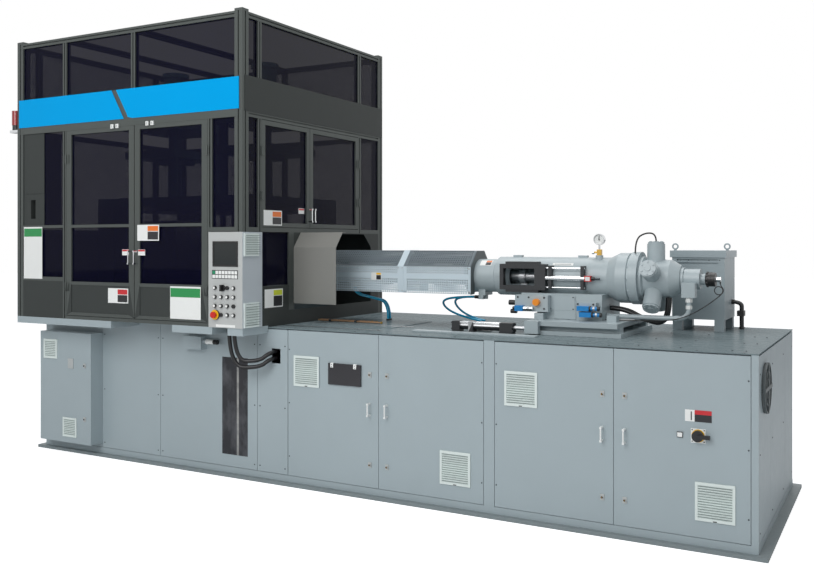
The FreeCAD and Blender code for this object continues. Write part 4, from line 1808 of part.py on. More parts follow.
def motor_valve(motor_right):
    """The valve block on the distributor's front side."""
    block = box(span_from(f"{motor_right} + valve_left", "valve_long"),
                ("-tail_radius - valve_out", "-tail_radius + valve_lap"),
                ("axis_z - valve_low", "axis_z - valve_high"))
    round_tail = rod("x", AXIS, (motor_right, f"{motor_right} + tail_long + 1"), "tail_radius + running_gap")
    return cut(block, round_tail)


def guard_outline(offset):
    """The section of the barrel guard, drawn in by an offset."""
    half = f"(guard_half - {offset})"
    flat = f"(guard_top_half - {offset} * 0.4)"
    shoulder = f"(guard_shoulder - {offset} * 0.4)"
    top = f"(guard_top - {offset})"
    return [(f"-{half}", "guard_low"), (f"-{half}", shoulder), (f"-{flat}", top), (flat, top),
            (half, shoulder), (half, "guard_low")]


def make_barrel_guard():
    """A folded cover over the barrel, open below, in two halves with a band over their joint."""
    outer = guard_outline("0")
    inner = guard_outline("guard_sheet")[::-1]
    shell = plate("x", outer + inner, (GUARD_LEFT, GUARD_RIGHT))
    band = plate("x", guard_outline("-2") + outer[::-1],
                 span_from(f"{GUARD_LEFT} + guard_split", "guard_band"))
    end = plate("x", guard_outline("guard_sheet"), (f"{GUARD_RIGHT} - guard_sheet", GUARD_RIGHT))
    neck = rod("x", AXIS, (f"{GUARD_RIGHT} - 10", f"{GUARD_RIGHT} + 1"), "housing_radius + running_gap")
    side = box((f"{GUARD_RIGHT} - 10", f"{GUARD_RIGHT} + 1"),
               ("-housing_radius - running_gap", "housing_radius + running_gap"),
               ("guard_low - 1", "axis_z"))
    node("barrel_guard", fuse(shell, band, cut(end, neck, side)))


STUB_X = f"({GUARD_LEFT} + stub_reach)"
STUB_Y = ("-40", "-10")
STUB_LOW = "(axis_z - heater_radius - stub_low)"


def make_barrel():
    """The barrel with its nozzle, heater bands and the two pipe stubs for water."""
    tip = NOZZLE_TIP
    shoulder = f"{tip} + nozzle_long"
    points = [(tip, "nozzle_bore"), (tip, "nozzle_point"), (f"{tip} + nozzle_cone", "nozzle_radius"),
              (shoulder, "nozzle_radius"), (shoulder, "barrel_radius"), (FLANGE_LEFT, "barrel_radius"),
              (FLANGE_LEFT, "barrel_bore"), (shoulder, "barrel_bore"), (f"{tip} + bore_start", "nozzle_bore")]
    tube_body = turned(points, AXIS)
    bands = []
    count = int(number("heater_count"))
    for index in range(count):
        pitch = "(barrel_long - heater_start - heater_end) / heater_count"
        start = f"({NOZZLE_TIP} + heater_start + {index} * {pitch})"
        bands.append(rod("x", AXIS, span_from(start, "heater_long"), "heater_radius"))
    hollow = rod("x", AXIS, (NOZZLE_TIP, FLANGE_LEFT), "barrel_radius - 1")
    stubs = [rod("z", (STUB_X, y), (STUB_LOW, "axis_z - barrel_radius + 6"), "stub_radius") for y in STUB_Y]
    node("barrel", fuse(tube_body, cut(fuse(*bands, *stubs), hollow)))


def make_screw():
    """The crosshead that slides in the cylinder and the screw that turns in it."""
    radius = "screw_radius"
    head = f"({WINDOW_LEFT} + crosshead_left)"
    tail = f"({head} + crosshead_long)"
    inside = "screw_neck + running_gap"
    block = turned([(head, inside), (head, "crosshead_radius"), (tail, "crosshead_radius"), (tail, inside)],
                   AXIS)
    shoe = box((head, tail), ("-shoe_wide / 2", "shoe_wide / 2"),
               ("axis_z - cylinder_bore + shoe_lift", "axis_z - crosshead_radius + 4"))
    node("screw_crosshead", fuse(block, shoe))
    start = f"{NOZZLE_TIP} + screw_start"
    step = f"{FLANGE_LEFT} + screw_step"
    end = f"{CYLINDER_RIGHT} - screw_end"
    points = [(start, "0"), (f"{start} + screw_point", radius), (step, radius), (step, "screw_shank"),
              (f"{head} - running_gap", "screw_shank"), (f"{head} - running_gap", "screw_neck"),
              (f"{tail} + running_gap", "screw_neck"), (f"{tail} + running_gap", "screw_shank"),
              (end, "screw_shank"), (end, "0")]
    node("injection_screw", turned(points, AXIS))


def make_coupling_guard():
    """The black framed window over the coupling, and the stroke scale on its rods and brackets."""
    left, right = WINDOW_LEFT, f"({WINDOW_LEFT} + coupling_long)"
    front = "(-coupling_front)"
    low, high = "(axis_z - coupling_high / 2)", "(axis_z + coupling_high / 2)"
    back = f"{front} + coupling_deep"
    frame = box((left, right), (front, back), (low, high))
    opening = box(WINDOW_X, (f"{front} - 1", f"{back} + 1"), WINDOW_Z)
    brows = [box((f"{left} + brow_left", f"{right} - brow_right"), (f"{front} + brow_back", back), rise)
             for rise in (span_from(high, "brow_high"), (f"{low} - brow_high", low))]
    frame = cut(fuse(frame, *brows), opening, cylinder_room())
    end = f"({right} + scale_long)"
    middle = f"({front} + scale_back)"
    rods = [rod("x", (middle, z), (right, end), "scale_rod")
            for z in ("axis_z + scale_rod_high", "axis_z - scale_rod_low")]
    scale = fuse(rod("x", (middle, "axis_z - scale_drop"), (right, f"{end} + 2"), "scale_radius"),
                 box(span_from(f"{end} + 2", "scale_head_long"), span_from(f"{front} + 2", "scale_head_deep"),
                     ("axis_z - scale_head_low", "axis_z + scale_head_high")))
    brackets = []
    for start in (f"{right} + bracket_thick", f"{end} - bracket_end"):
        block = box(span_from(start, "bracket_thick"), (f"{front} + 4", "-barrel_end_radius * 0.82"),
                    ("axis_z - bracket_high", "axis_z + bracket_high"))
        brackets.append(cut(block, cylinder_room()))
    node("coupling_guard", group(frame, fuse(*rods, scale, *brackets)))


def cylinder_room():
    """The cylinder's outside with a running gap, for pieces that seat on it."""
    return rod("x", AXIS, (FLANGE_LEFT, f"{CYLINDER_RIGHT} + 10"), "barrel_end_radius + running_gap")


def make_gauge():
    """A pressure gauge on its brass valve, with the needle apart."""
    foot = "(axis_z + barrel_end_radius + boss_high)"
    y = "(-gauge_y)"
    front = f"{y} - gauge_front"
    dial = rod("y", (GAUGE_X, "gauge_z"), (front, f"{y} + gauge_back"), "gauge_radius")
    recess = rod("y", (GAUGE_X, "gauge_z"), (f"{front} - 1", f"{front} + gauge_sunk"),
                 "gauge_radius - gauge_rim")
    top = f"{foot} + gauge_valve_high"
    stem = rod("z", (GAUGE_X, y), (f"{top} - 2", "gauge_z - gauge_radius + 6"), "gauge_stem")
    half = "gauge_valve / 2"
    valve = box((f"{GAUGE_X} - {half}", f"{GAUGE_X} + {half}"), (f"{y} - {half}", f"{y} + {half}"),
                (foot, top))
    centre = (y, f"{foot} + gauge_valve_high / 2")
    knob = rod("x", centre, (f"{GAUGE_X} - gauge_spindle", f"{GAUGE_X} - {half} + 1"), "gauge_stem")
    wheel = rod("x", centre,
                (f"{GAUGE_X} - gauge_spindle - gauge_wheel_thick", f"{GAUGE_X} - gauge_spindle + 1"),
                "gauge_wheel")
    node("pressure_gauge", cut(fuse(dial, stem, valve, knob, wheel), recess))
    pin = rod("y", (GAUGE_X, "gauge_z"), (f"{front} + 2", f"{front} + gauge_sunk - running_gap"), "3")
    hand = box((f"{GAUGE_X} - 1.5", f"{GAUGE_X} + 1.5"), (f"{front} + 4", f"{front} + 7"),
               ("gauge_z - 8", "gauge_z + gauge_radius - 12"))
    node("gauge_needle", fuse(pin, hand))


def make_manifold():
    """Valve blocks on the casting's front, with adjusting knobs and solenoids."""
    face = "(-body_wide / 2)"
    left = f"{BODY_LEFT} - block_lap"
    front = f"{face} - block_deep"
    pieces = [box(span_from(left, "block_long"), (front, face), (f"{FOOT_TOP} + 48", "body_top - 10"))]
    for reach, drop, radius in (("knob_long", "knob_one_drop", "17"),
                                ("knob_long - 12", "knob_two_drop", "14")):
        centre = (f"{face} - block_deep / 2", f"body_top - {drop}")
        pieces.append(rod("x", centre, (f"{left} - ({reach})", f"{left} + 1"), radius))
    pieces.append(rod("y", (f"{BODY_LEFT} + knob_front", "body_top - knob_front_drop"),
                      (f"{front} - knob_proud", f"{front} + 1"), "knob_radius"))
    front = f"{face} - valve_block_deep"
    pieces.append(box(span_from(f"{BODY_LEFT} + valve_block_left", "valve_block_long"), (front, face),
                      (f"{FOOT_TOP} + 42", "body_top - 48")))
    for index in range(2):
        x = f"{BODY_LEFT} + valve_block_left + {index + 1} * coil_shift"
        z = f"body_top - coil_drop - {index} * coil_step"
        pieces.append(box(span_from(x, "coil_base"), (f"{front} - coil_proud", f"{front} + 1"),
                          (f"{z} - 15", f"{z} + 15")))
        pieces.append(rod("x", (f"{front} - coil_proud / 2", z), (f"{x} + coil_base - 1", f"{x} + coil_end"),
                          "coil_radius"))
    node("valve_manifold", fuse(*pieces))


def make_hydraulic_lines():
    """The motor's steel pipe and two black hoses, its cable and the encoder's cable."""
    valve_x = f"{MOTOR_LEFT} + motor_long + valve_left + valve_long / 2"
    body_right = f"{BODY_LEFT} + body_long + running_gap"
    low = "body_top - pipe_drop"
    route = [(valve_x, "-pipe_out", "axis_z - valve_low - running_gap"), (valve_x, "-pipe_out", low),
             (body_right, "-pipe_out", low)]
    hoses = [tube(route, "pipe_radius", "pipe")]
    for y in ("-hose_right", "hose_left"):
        port = f"{MOTOR_LEFT} + port_place"
        high = "body_top - hose_drop"
        route = [(body_right, y, high), (f"{BODY_LEFT} + body_long + 90", y, high),
                 (f"{MOTOR_LEFT} + 10", y, "axis_z - 262"), (port, y, "axis_z - 292"),
                 (port, y, "axis_z - motor_radius - running_gap")]
        hoses.append(tube(route, "hose_radius", "hose"))
    lobe_x = f"{MOTOR_LEFT} + lobe_place"
    lobe_top = "axis_z + lobe_reach"
    route = [(f"{MOTOR_LEFT} - 30", "-60", "axis_z + drum_flange - 8"),
             (f"{MOTOR_LEFT} - 30", "-60", f"{lobe_top} + 20"),
             (f"{MOTOR_LEFT} + 30", "-30", f"{lobe_top} + 60"), (lobe_x, "0", f"{lobe_top} + 50"),
             (lobe_x, "0", f"{lobe_top} + running_gap")]
    hoses.append(tube(route, "cable_radius", "cable"))
    hoses.append(tube(encoder_route(body_right), "thin_cable", "encoder_cable", curled=True))
    node("hydraulic_hoses", group(*hoses))


def encoder_route(body_right):
    """The encoder's cable: down from its tip, once round in a curl, and along the foot to the casting."""
    tip = f"({MOTOR_LEFT} + motor_long + tail_long + neck_long + encoder_long + encoder_tip_long)"
    route = [(f"{tip} - 4", "0", "axis_z - encoder_tip - running_gap"),
             (f"{tip} - 4", "0", "axis_z - encoder_tip - 20")]
    for corner in range(8):
        turn = 20 - 60 * corner
        route.append((f"{tip} - curl_edge + curl_radius * cos({turn} deg)",
                      f"-1 - curl_pitch * {corner} / 6",
                      f"axis_z - curl_drop + curl_radius * sin({turn} deg)"))
    for left, out, high in ((27, 46, 145), (86, 78, 98), (148, 110, 58), (210, 131, 31), (282, 137, 15),
                            (360, 132, 8), (440, 135, 5.8), (518, 129, 5)):
        route.append((f"{tip} - {left}", f"-{out}", f"{FOOT_TOP} + {high}"))
    route.append((f"{body_right} + 79", "-133", f"{FOOT_TOP} + 4"))
    route.append((body_right, "-130", f"{FOOT_TOP} + 3.8"))
    return route


# ---------------------------------------------------------------- services on the deck


def make_transformer():
    """The transformer cabinet on its legs, with louvres under the lid, and its two eye bolts."""
    left, right = TRAFO_LEFT, f"({TRAFO_LEFT} + trafo_long)"
    front, back = TRAFO_FRONT, f"({TRAFO_FRONT} + trafo_deep)"
    top = "(trafo_low + trafo_high)"
    body = box((left, right), (front, back), ("trafo_low", top))
    slots = []
    for index in range(int(number("trafo_slot_count"))):
        high = f"{top} - trafo_slot_top - {index} * trafo_slot_pitch"
        slots.append(box((f"{left} + trafo_slot_left", f"{right} - trafo_slot_right"),
                         (f"{front} - 1", f"{front} + trafo_slot_deep"), (f"{high} - trafo_slot_high", high)))
    legs = []
    for x in (f"{left} + trafo_leg_inset", f"{right} - trafo_leg_inset - trafo_leg"):
        for y in (front, f"{back} - trafo_leg"):
            legs.append(box(span_from(x, "trafo_leg"), span_from(y, "trafo_leg"), ("table_top", "trafo_low")))
    lid = box((f"{left} - trafo_lip", f"{right} + trafo_lip"),
              (f"{front} - trafo_lip", f"{back} + trafo_lip"),
              span_from(top, "trafo_lid"))
    node("transformer_cabinet", group(cut(body, *slots), *legs, lid))
    eyes = []
    middle = f"({TRAFO_FRONT} + trafo_deep / 4)"
    shank_top = f"({top} + trafo_lid + eye_shank_high)"
    for x in (left, right):
        shank = rod("z", (x, middle), (f"{top} + trafo_lid", shank_top), "eye_shank")
        eye = ring("y", (x, f"{shank_top} + eye_radius + 2"), middle, "eye_radius", "eye_wire")
        eyes.append(fuse(shank, eye))
    node("eye_bolts", group(*eyes))


def make_cables():
    """Two cables from the transformer into the deck, and the conduits under the operator box."""
    start = f"{TRAFO_LEFT} + trafo_long + running_gap"
    cables = []
    bend = f"{start} + supply_reach"
    for index in range(2):
        y = f"{TRAFO_FRONT} + trafo_deep - 90 - {index} * supply_step"
        route = [(start, y, "supply_z"), (bend, y, "supply_z"), (bend, y, "table_top + running_gap")]
        cables.append(tube(route, "supply_radius", "cable"))
    hole_x = f"{HOLE_LEFT} + cable_hole_wide / 2 - 12"
    hole_z = "base_thick + cable_hole_low + 34"
    for index in range(2):
        lane = f"{index} * conduit_step"
        x = f"{BOX_LEFT} + 76 + {lane}"
        bottom = f"conduit_low + {lane}"
        route = [(x, f"{CAB_FRONT} - 160", "sill_top - running_gap"), (x, f"{CAB_FRONT} - 160", bottom),
                 (f"{hole_x} - 60", f"{CAB_FRONT} - 90", bottom),
                 (hole_x, f"{CAB_FRONT} - 60", f"{hole_z} + {lane}"),
                 (hole_x, f"{CAB_FRONT} + 15", f"{hole_z} + {lane}")]
        cables.append(tube(route, "hose_radius", "conduit"))
    node("cables", group(*cables))


def make_water_hoses():
    """Two hoses loop from the housing's elbows to the deck, and two drop from the barrel."""
    hoses = []
    top = "axis_z - housing_radius - 35"
    for index, reach in enumerate(("330", "262")):
        start = f"{FLANGE_LEFT} + clamp_left + {index} * elbow_shift - running_gap"
        y = f"{index} * elbow_step - 48"
        route = [(start, y, top), (f"{start} - 120", y, top),
                 (f"{start} - {reach}", f"{y} + 60", f"{top} - 30"),
                 (f"{start} - {reach}", f"{y} + 180", f"{top} - 120"),
                 (f"{start} - 190", f"{y} + 320", f"table_top + 9 + running_gap + 6"),
                 (f"{start} - 130", f"{y} + 330", "table_top + 9 + running_gap")]
        hoses.append(tube(route, "water_radius", "water_loop"))
    for y in STUB_Y:
        foot = f"{STUB_X} + 240"
        route = [(STUB_X, y, f"{STUB_LOW} - running_gap"), (STUB_X, y, "guard_low - 24"),
                 (f"{STUB_X} + 130", f"{y} + 50", "guard_low - 56"), (foot, f"{y} + 100", "guard_low - 86"),
                 (foot, f"{y} + 100", "table_top + cover_thick + running_gap")]
        hoses.append(tube(route, "water_radius", "water_drop"))
    node("water_hoses", group(*hoses))


def make_end_fan():
    """A round fan guard on the right end: a dark plate, rings and a cross of struts."""
    y, z = f"({CAB_FRONT} + fan_back)", "fan_z"
    face = CAB_RIGHT
    disc = rod("x", (y, z), span_from(face, "fan_sheet"), "fan_radius")
    rings = []
    near, far = f"{face} + 2 * fan_sheet", f"{face} + fan_proud"
    for share in ("0.98", "0.68", "0.38"):
        low, high = f"fan_radius * {share} - fan_wire / 2", f"fan_radius * {share} + fan_wire / 2"
        rings.append(turned([(near, low), (near, high), (far, high), (far, low)], (y, z)))
    depth = (f"{face} + fan_sheet - 1", f"{far} + 3")
    bar = box(depth, (f"{y} - fan_radius", f"{y} + fan_radius"), (f"{z} - fan_wire", f"{z} + fan_wire"))
    post = box(depth, (f"{y} - fan_wire", f"{y} + fan_wire"), (f"{z} - fan_radius", f"{z} + fan_radius"))
    node("end_fan_guard", fuse(disc, bar, post, *rings))


# ---------------------------------------------------------------- build

make_base_plate()
node("base_frame", group(*frame_posts(), *frame_rails(), *partitions(), *sill_beams()))
make_base_panels()
make_deck()
make_base_doors()
make_flap()
make_main_switch()
make_control_box()
make_front_leaves()
make_side_leaves()
make_enclosure_frame()
make_fascia()
make_enclosure_sheets()
make_glazing()
make_hood()
make_beacon()
make_operator_box()
make_machine_bed()
make_rotary_table()
make_clamp_tower()
make_platen("core_platen", STATION_RIGHT, "core_radius", "core_long", "core_pitch")
make_platen("stretch_platen", STATION_LEFT, "stretch_radius", "stretch_long", "bottle_pitch")
make_moulds()
make_cavity_block()
make_deck_rails()
make_carriage()
make_traverse()
make_injection_cylinder()
make_motor()
make_barrel_guard()
make_barrel()
make_screw()
make_coupling_guard()
make_gauge()
make_manifold()
make_hydraulic_lines()
make_transformer()
make_cables()
make_water_hoses()
make_end_fan()

doc.recompute()
for item in doc.Objects:
    if {"Invalid", "Error"} & set(item.State):
        raise RuntimeError(f"{item.Label} failed: {item.State}")
for item in nodes:
    if item.Shape.isNull() or not item.Shape.isValid():
        raise RuntimeError(f"{item.Label} has no valid shape")
for item in nodes:
    item.Shape.exportStep(f"parts/{item.Label}.step")
print(len(nodes), "sub-parts")
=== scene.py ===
"""The looks of a one-step injection stretch blow moulding machine, in metres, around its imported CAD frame."""
import math
from itertools import product

import bmesh
import bpy
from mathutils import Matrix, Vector
from mathutils.bvhtree import BVHTree


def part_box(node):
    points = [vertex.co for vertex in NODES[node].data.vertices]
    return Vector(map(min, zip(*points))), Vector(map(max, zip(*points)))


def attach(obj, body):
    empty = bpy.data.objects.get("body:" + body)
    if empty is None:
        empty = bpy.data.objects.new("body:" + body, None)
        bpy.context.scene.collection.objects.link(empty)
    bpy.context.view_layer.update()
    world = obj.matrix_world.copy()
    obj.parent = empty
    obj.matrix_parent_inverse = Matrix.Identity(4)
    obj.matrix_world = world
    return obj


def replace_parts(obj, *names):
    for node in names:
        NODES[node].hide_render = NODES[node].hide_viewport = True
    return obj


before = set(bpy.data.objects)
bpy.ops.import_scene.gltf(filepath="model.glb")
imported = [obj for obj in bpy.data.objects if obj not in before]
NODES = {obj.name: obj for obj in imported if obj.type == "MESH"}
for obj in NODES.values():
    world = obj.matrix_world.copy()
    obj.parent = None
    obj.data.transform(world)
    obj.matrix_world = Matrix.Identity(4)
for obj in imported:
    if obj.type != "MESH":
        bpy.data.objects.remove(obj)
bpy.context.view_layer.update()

# ---- places read from the frame


def tenth(value):
    """A length to the tenth of a millimetre, because the frame's numbers are single precision."""
    return round(value, 4)


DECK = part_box("deck_plate")[1].z
CABINET_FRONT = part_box("inspection_flap")[1].y
BOX_LOW, BOX_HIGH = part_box("operator_box")
GUARD_LOW, GUARD_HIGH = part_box("barrel_guard")
MOTOR_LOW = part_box("hydraulic_motor")[0]
ENCODER_LOW, ENCODER_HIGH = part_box("encoder")
TRAFO_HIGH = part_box("transformer_cabinet")[1]
GAUGE_LOW, GAUGE_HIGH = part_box("pressure_gauge")
BLOCKS_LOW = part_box("valve_manifold")[0]
BEACON_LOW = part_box("beacon_lamp")[0]
SWITCH_LOW, SWITCH_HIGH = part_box("main_switch")
CONTROL_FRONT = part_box("control_box_door")[0].y
COUPLING_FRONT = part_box("coupling_guard")[0].y
AXIS_Z = (ENCODER_LOW.z + ENCODER_HIGH.z) / 2
ENCODER_CABLE_X = tenth(ENCODER_HIGH.x - 0.004)

# The x and z of two middles, each from the corner of the box that its round part fills.
SWITCH_RADIUS = (SWITCH_HIGH.z - SWITCH_LOW.z) / 2
SWITCH = (SWITCH_LOW.x + SWITCH_RADIUS, SWITCH_LOW.z + SWITCH_RADIUS)
GAUGE_RADIUS = 0.036
GAUGE_CENTRE = (GAUGE_HIGH.x - GAUGE_RADIUS, GAUGE_HIGH.z - GAUGE_RADIUS)

# The enclosure's front and right faces: of the parts that carry signs, only door handles stand out past them.
FRONT_FACE = -1.066
SIDE_FACE = -0.4655

# Farther from the origin than any point of the machine, for the open side of a span.
FAR = 9.0
# The least step that tells a part's faces from those of the sheet it stands on.
SKIN = 0.0005

# ---- colours and finishes

GRAIN_SCALE = 400.0
PANE_IOR = 1.14
# The pipe painted dimly on the slot window's opaque face, as if seen behind it: its middle's x and half its
# width.
SLOT_PIPE = (-0.735, 0.009)


def srgb(red, green, blue):
    """A colour given as 0 to 255 values, as Blender's linear numbers."""
    def linear(value):
        share = value / 255
        return share / 12.92 if share <= 0.04045 else ((share + 0.055) / 1.055) ** 2.4
    return (linear(red), linear(green), linear(blue), 1.0)


def put(tree, socket, value):
    """Feed a socket from another socket, or with a constant."""
    if isinstance(value, bpy.types.NodeSocket):
        tree.links.new(value, socket)
    else:
        socket.default_value = value


def maths(tree, operation, *values):
    """The result of a Math node on sockets or numbers."""
    node = tree.nodes.new("ShaderNodeMath")
    node.operation = operation
    for socket, value in zip(node.inputs, values):
        put(tree, socket, value)
    return node.outputs[0]


def blank(name):
    """A new material with one Principled shader, and a function that adds nodes to it."""
    material = bpy.data.materials.new(name)
    material.use_nodes = True
    tree = material.node_tree
    shader = tree.nodes["Principled BSDF"]

    def add(kind, **inputs):
        node = tree.nodes.new(kind)
        for key, value in inputs.items():
            put(tree, node.inputs[key.replace("_", " ")], value)
        return node
    return material, tree, shader, add


def noise(add, scale, detail=3.0, stretch=(1, 1, 1)):
    """A noise in the object's own coordinates, stretched along its axes."""
    place = add("ShaderNodeTexCoord")
    mapping = add("ShaderNodeMapping", Vector=place.outputs["Object"], Scale=stretch)
    texture = add("ShaderNodeTexNoise", Vector=mapping.outputs["Vector"], Scale=scale, Detail=detail)
    return texture.outputs["Fac"]


def spread(add, value, low, high):
    """A 0 to 1 value spread over a range."""
    return add("ShaderNodeMapRange", Value=value, To_Min=low, To_Max=high).outputs["Result"]


def tone(tree, add, value, first, second):
    """A colour between two constants or sockets, by a value."""
    mix = add("ShaderNodeMix")
    mix.data_type = "RGBA"
    tree.links.new(value, mix.inputs["Factor"])
    for socket, colour in zip([s for s in mix.inputs if s.type == "RGBA"], (first, second)):
        put(tree, socket, colour)
    return next(s for s in mix.outputs if s.type == "RGBA")


def shade(colour, factor):
    """A colour made lighter or darker."""
    return tuple(min(1.0, part * factor) for part in colour[:3]) + (1.0,)


def surface(name, colour, rough, mottle, size=2.5, depth=0.0003, metallic=0.0, coat=0.0,
            stretch=(1, 1, 1), gloss=0.5, ior=1.5):
    """A finish in a 0 to 255 colour, with a soft mottle, an uneven gloss and a fine grain."""
    material, tree, shader, add = blank(name)
    large = noise(add, size, 4.0, stretch)
    base = srgb(*colour)
    colours = shade(base, 1 - mottle), shade(base, 1 + mottle)
    tree.links.new(tone(tree, add, large, *colours), shader.inputs["Base Color"])
    tree.links.new(spread(add, noise(add, size * 6, 3.0, stretch), *rough), shader.inputs["Roughness"])
    bump = add("ShaderNodeBump", Height=noise(add, GRAIN_SCALE, 2.0, stretch), Strength=0.35, Distance=depth)
    tree.links.new(bump.outputs["Normal"], shader.inputs["Normal"])
    shader.inputs["Metallic"].default_value = metallic
    shader.inputs["Coat Weight"].default_value = coat
    shader.inputs["Specular IOR Level"].default_value = gloss
    shader.inputs["IOR"].default_value = ior
    return material


def pane(name, alpha, *colours):
    """A tinted pane: each of its two faces stops the given share of the light."""
    material, tree, shader, add = blank(name)
    smear = noise(add, 2.0, 4.0)
    tree.links.new(tone(tree, add, smear, *colours), shader.inputs["Base Color"])
    tree.links.new(spread(add, smear, 0.02, 0.05), shader.inputs["Roughness"])
    shader.inputs["Alpha"].default_value = alpha
    shader.inputs["IOR"].default_value = PANE_IOR
    return material


def slot_pane():
    """The cabinet's narrow window, opaque: streaks of painted light and shade for the dim inside, with one pale
    pipe painted on it as if behind it.
    """
    material, tree, shader, add = blank("slot_window_painted_light")
    # Painted light and shade: near black and dimly lit streaks for the inside seen through the glass.
    painted_light_patches = spread(add, noise(add, 9.0, 6.0, (1, 1, 0.5)), -1.3, 1.6)
    painted_inside_light = tone(tree, add, painted_light_patches, (0.016, 0.017, 0.022, 1), (0.13, 0.135, 0.15, 1))
    place = add("ShaderNodeSeparateXYZ", Vector=add("ShaderNodeTexCoord").outputs["Object"])
    pipe = maths(tree, "COMPARE", place.outputs["X"], *SLOT_PIPE)
    # The painted pipe's painted light, uneven along its length.
    pale = spread(add, noise(add, 14.0, 5.0, (0.2, 0.2, 1)), 0.0, 1.1)
    colour = tone(tree, add, maths(tree, "MULTIPLY", pipe, pale), painted_inside_light, (0.50, 0.50, 0.48, 1))
    tree.links.new(colour, shader.inputs["Base Color"])
    tree.links.new(spread(add, noise(add, 20.0), 0.06, 0.14), shader.inputs["Roughness"])
    return material


PAINT = {
    "cabinet": surface("cabinet_enamel", (162, 175, 180), (0.30, 0.44), 0.05),
    "deck": surface("deck_enamel", (120, 133, 137), (0.18, 0.36), 0.08, size=3.0, ior=1.03),
    "plinth": surface("plinth_enamel", (128, 138, 141), (0.35, 0.55), 0.10, size=6.0),
    "machine": surface("machine_enamel", (172, 184, 188), (0.28, 0.44), 0.08, size=9.0, depth=0.0006),
    "inner": surface("inner_enamel", (132, 168, 178), (0.3, 0.5), 0.12, size=6.0),
    "bed": surface("bed_enamel", (92, 104, 108), (0.3, 0.5), 0.12, size=6.0),
    "profile": surface("grey_anodising", (84, 89, 87), (0.34, 0.48), 0.05, size=5.0,
                       metallic=0.35, stretch=(1, 1, 0.06), gloss=0.25),
    "dark_sheet": surface("dark_grey_enamel", (60, 64, 63), (0.36, 0.5), 0.05, ior=1.25),
    "hood": surface("guard_enamel", (132, 132, 128), (0.38, 0.52), 0.04),
    "hood_dark": surface("fan_grille_enamel", (84, 92, 94), (0.38, 0.52), 0.06),
    "fascia": surface("cyan_gloss", (0, 164, 232), (0.25, 0.38), 0.02, gloss=0.06),
    "box": surface("light_grey_enamel", (184, 187, 186), (0.34, 0.48), 0.03),
    "box_side": surface("box_side_enamel", (186, 194, 200), (0.34, 0.48), 0.03),
    "vent": surface("pale_vent_plastic", (220, 230, 227), (0.45, 0.6), 0.03),
    # Dark strips of painted shade where a grille's slots lie between its slats.
    "vent_slot": surface("vent_slot_painted_shade", (120, 134, 133), (0.5, 0.7), 0.06),
    "guard": surface("pale_blue_enamel", (204, 219, 227), (0.30, 0.42), 0.04),
    # The guard's own sheet, painted darker as shade on its sloped faces and its top.
    "guard_top": surface("guard_top_enamel", (112, 123, 129), (0.30, 0.42), 0.06, gloss=0.25),
    "black": surface("black_enamel", (38, 40, 43), (0.35, 0.5), 0.08),
    "black_plastic": surface("black_plastic", (24, 24, 25), (0.3, 0.5), 0.12),
    "black_gloss": surface("black_gloss_cover", (22, 20, 28), (0.06, 0.14), 0.12, size=8.0, coat=0.4),
    "rubber": surface("black_rubber", (19, 19, 21), (0.30, 0.45), 0.12, size=30.0),
    "blue_hose": surface("blue_polyurethane", (0, 172, 216), (0.14, 0.24), 0.10, size=12.0, coat=0.3),
    "chrome": surface("bright_chrome", (214, 216, 218), (0.08, 0.2), 0.03, metallic=1.0),
    "steel": surface("ground_steel", (176, 178, 180), (0.22, 0.4), 0.08, metallic=1.0, size=20.0,
                     stretch=(0.1, 1, 1)),
    "dark_steel": surface("blackened_bolt", (70, 74, 78), (0.3, 0.46), 0.12, metallic=0.7, size=60.0),
    "jacket": surface("heater_jacket", (222, 226, 228), (0.25, 0.45), 0.06, metallic=0.6, size=14.0),
    "brass": surface("brass", (196, 158, 78), (0.2, 0.38), 0.08, metallic=1.0, size=40.0),
    "copper": surface("copper_pipe", (186, 148, 116), (0.24, 0.42), 0.1, metallic=0.6, size=30.0),
    "white_plastic": surface("white_plastic", (238, 240, 238), (0.25, 0.4), 0.03, size=40.0),
    "cream": surface("cream_enamel", (216, 216, 200), (0.3, 0.45), 0.05, size=30.0),
    "green_plastic": surface("green_plastic", (30, 138, 98), (0.3, 0.42), 0.05, size=40.0),
    "yellow": surface("yellow_plastic", (246, 192, 32), (0.3, 0.42), 0.05, size=40.0),
    "red": surface("red_plastic", (206, 30, 22), (0.22, 0.36), 0.06, size=40.0, coat=0.3),
    "lamp_red": surface("red_lens", (150, 14, 18), (0.12, 0.24), 0.12, size=30.0, coat=0.6),
    "orange": surface("orange_plastic", (246, 146, 22), (0.3, 0.42), 0.05, size=40.0),
    "blue": surface("blue_plastic", (0, 128, 198), (0.3, 0.42), 0.06, size=40.0),
    "screen": surface("screen_black", (16, 25, 27), (0.08, 0.16), 0.10, size=8.0),
    # Near black that paints the shade inside holes and keyholes.
    "painted_hole_shade": surface("painted_shade_inside", (14, 15, 16), (0.6, 0.8), 0.1),
    "mould": surface("milled_aluminium", (168, 172, 176), (0.2, 0.36), 0.06, metallic=0.9, size=20.0),
    "sign": surface("sign_film", (236, 238, 236), (0.3, 0.42), 0.02, size=20.0),
    "sign_black": surface("sign_black", (34, 34, 38), (0.3, 0.42), 0.05, size=20.0),
    "glass": pane("tinted_glass", 0.83, (0.002, 0.002, 0.012, 1), (0.004, 0.004, 0.017, 1)),
    "clear_glass": pane("smoked_glass", 0.22, (0.02, 0.02, 0.03, 1), (0.03, 0.03, 0.04, 1)),
    "slot_glass": slot_pane(),
}

SIGN_COLOURS = {"green": (36, 142, 76), "orange": (232, 118, 40), "red": (200, 40, 48),
                "yellow": (206, 216, 60), "grey": (178, 182, 182)}
for name, colour in SIGN_COLOURS.items():
    PAINT[f"sign_{name}"] = surface(f"sign_{name}", colour, (0.3, 0.42), 0.03, size=20.0)

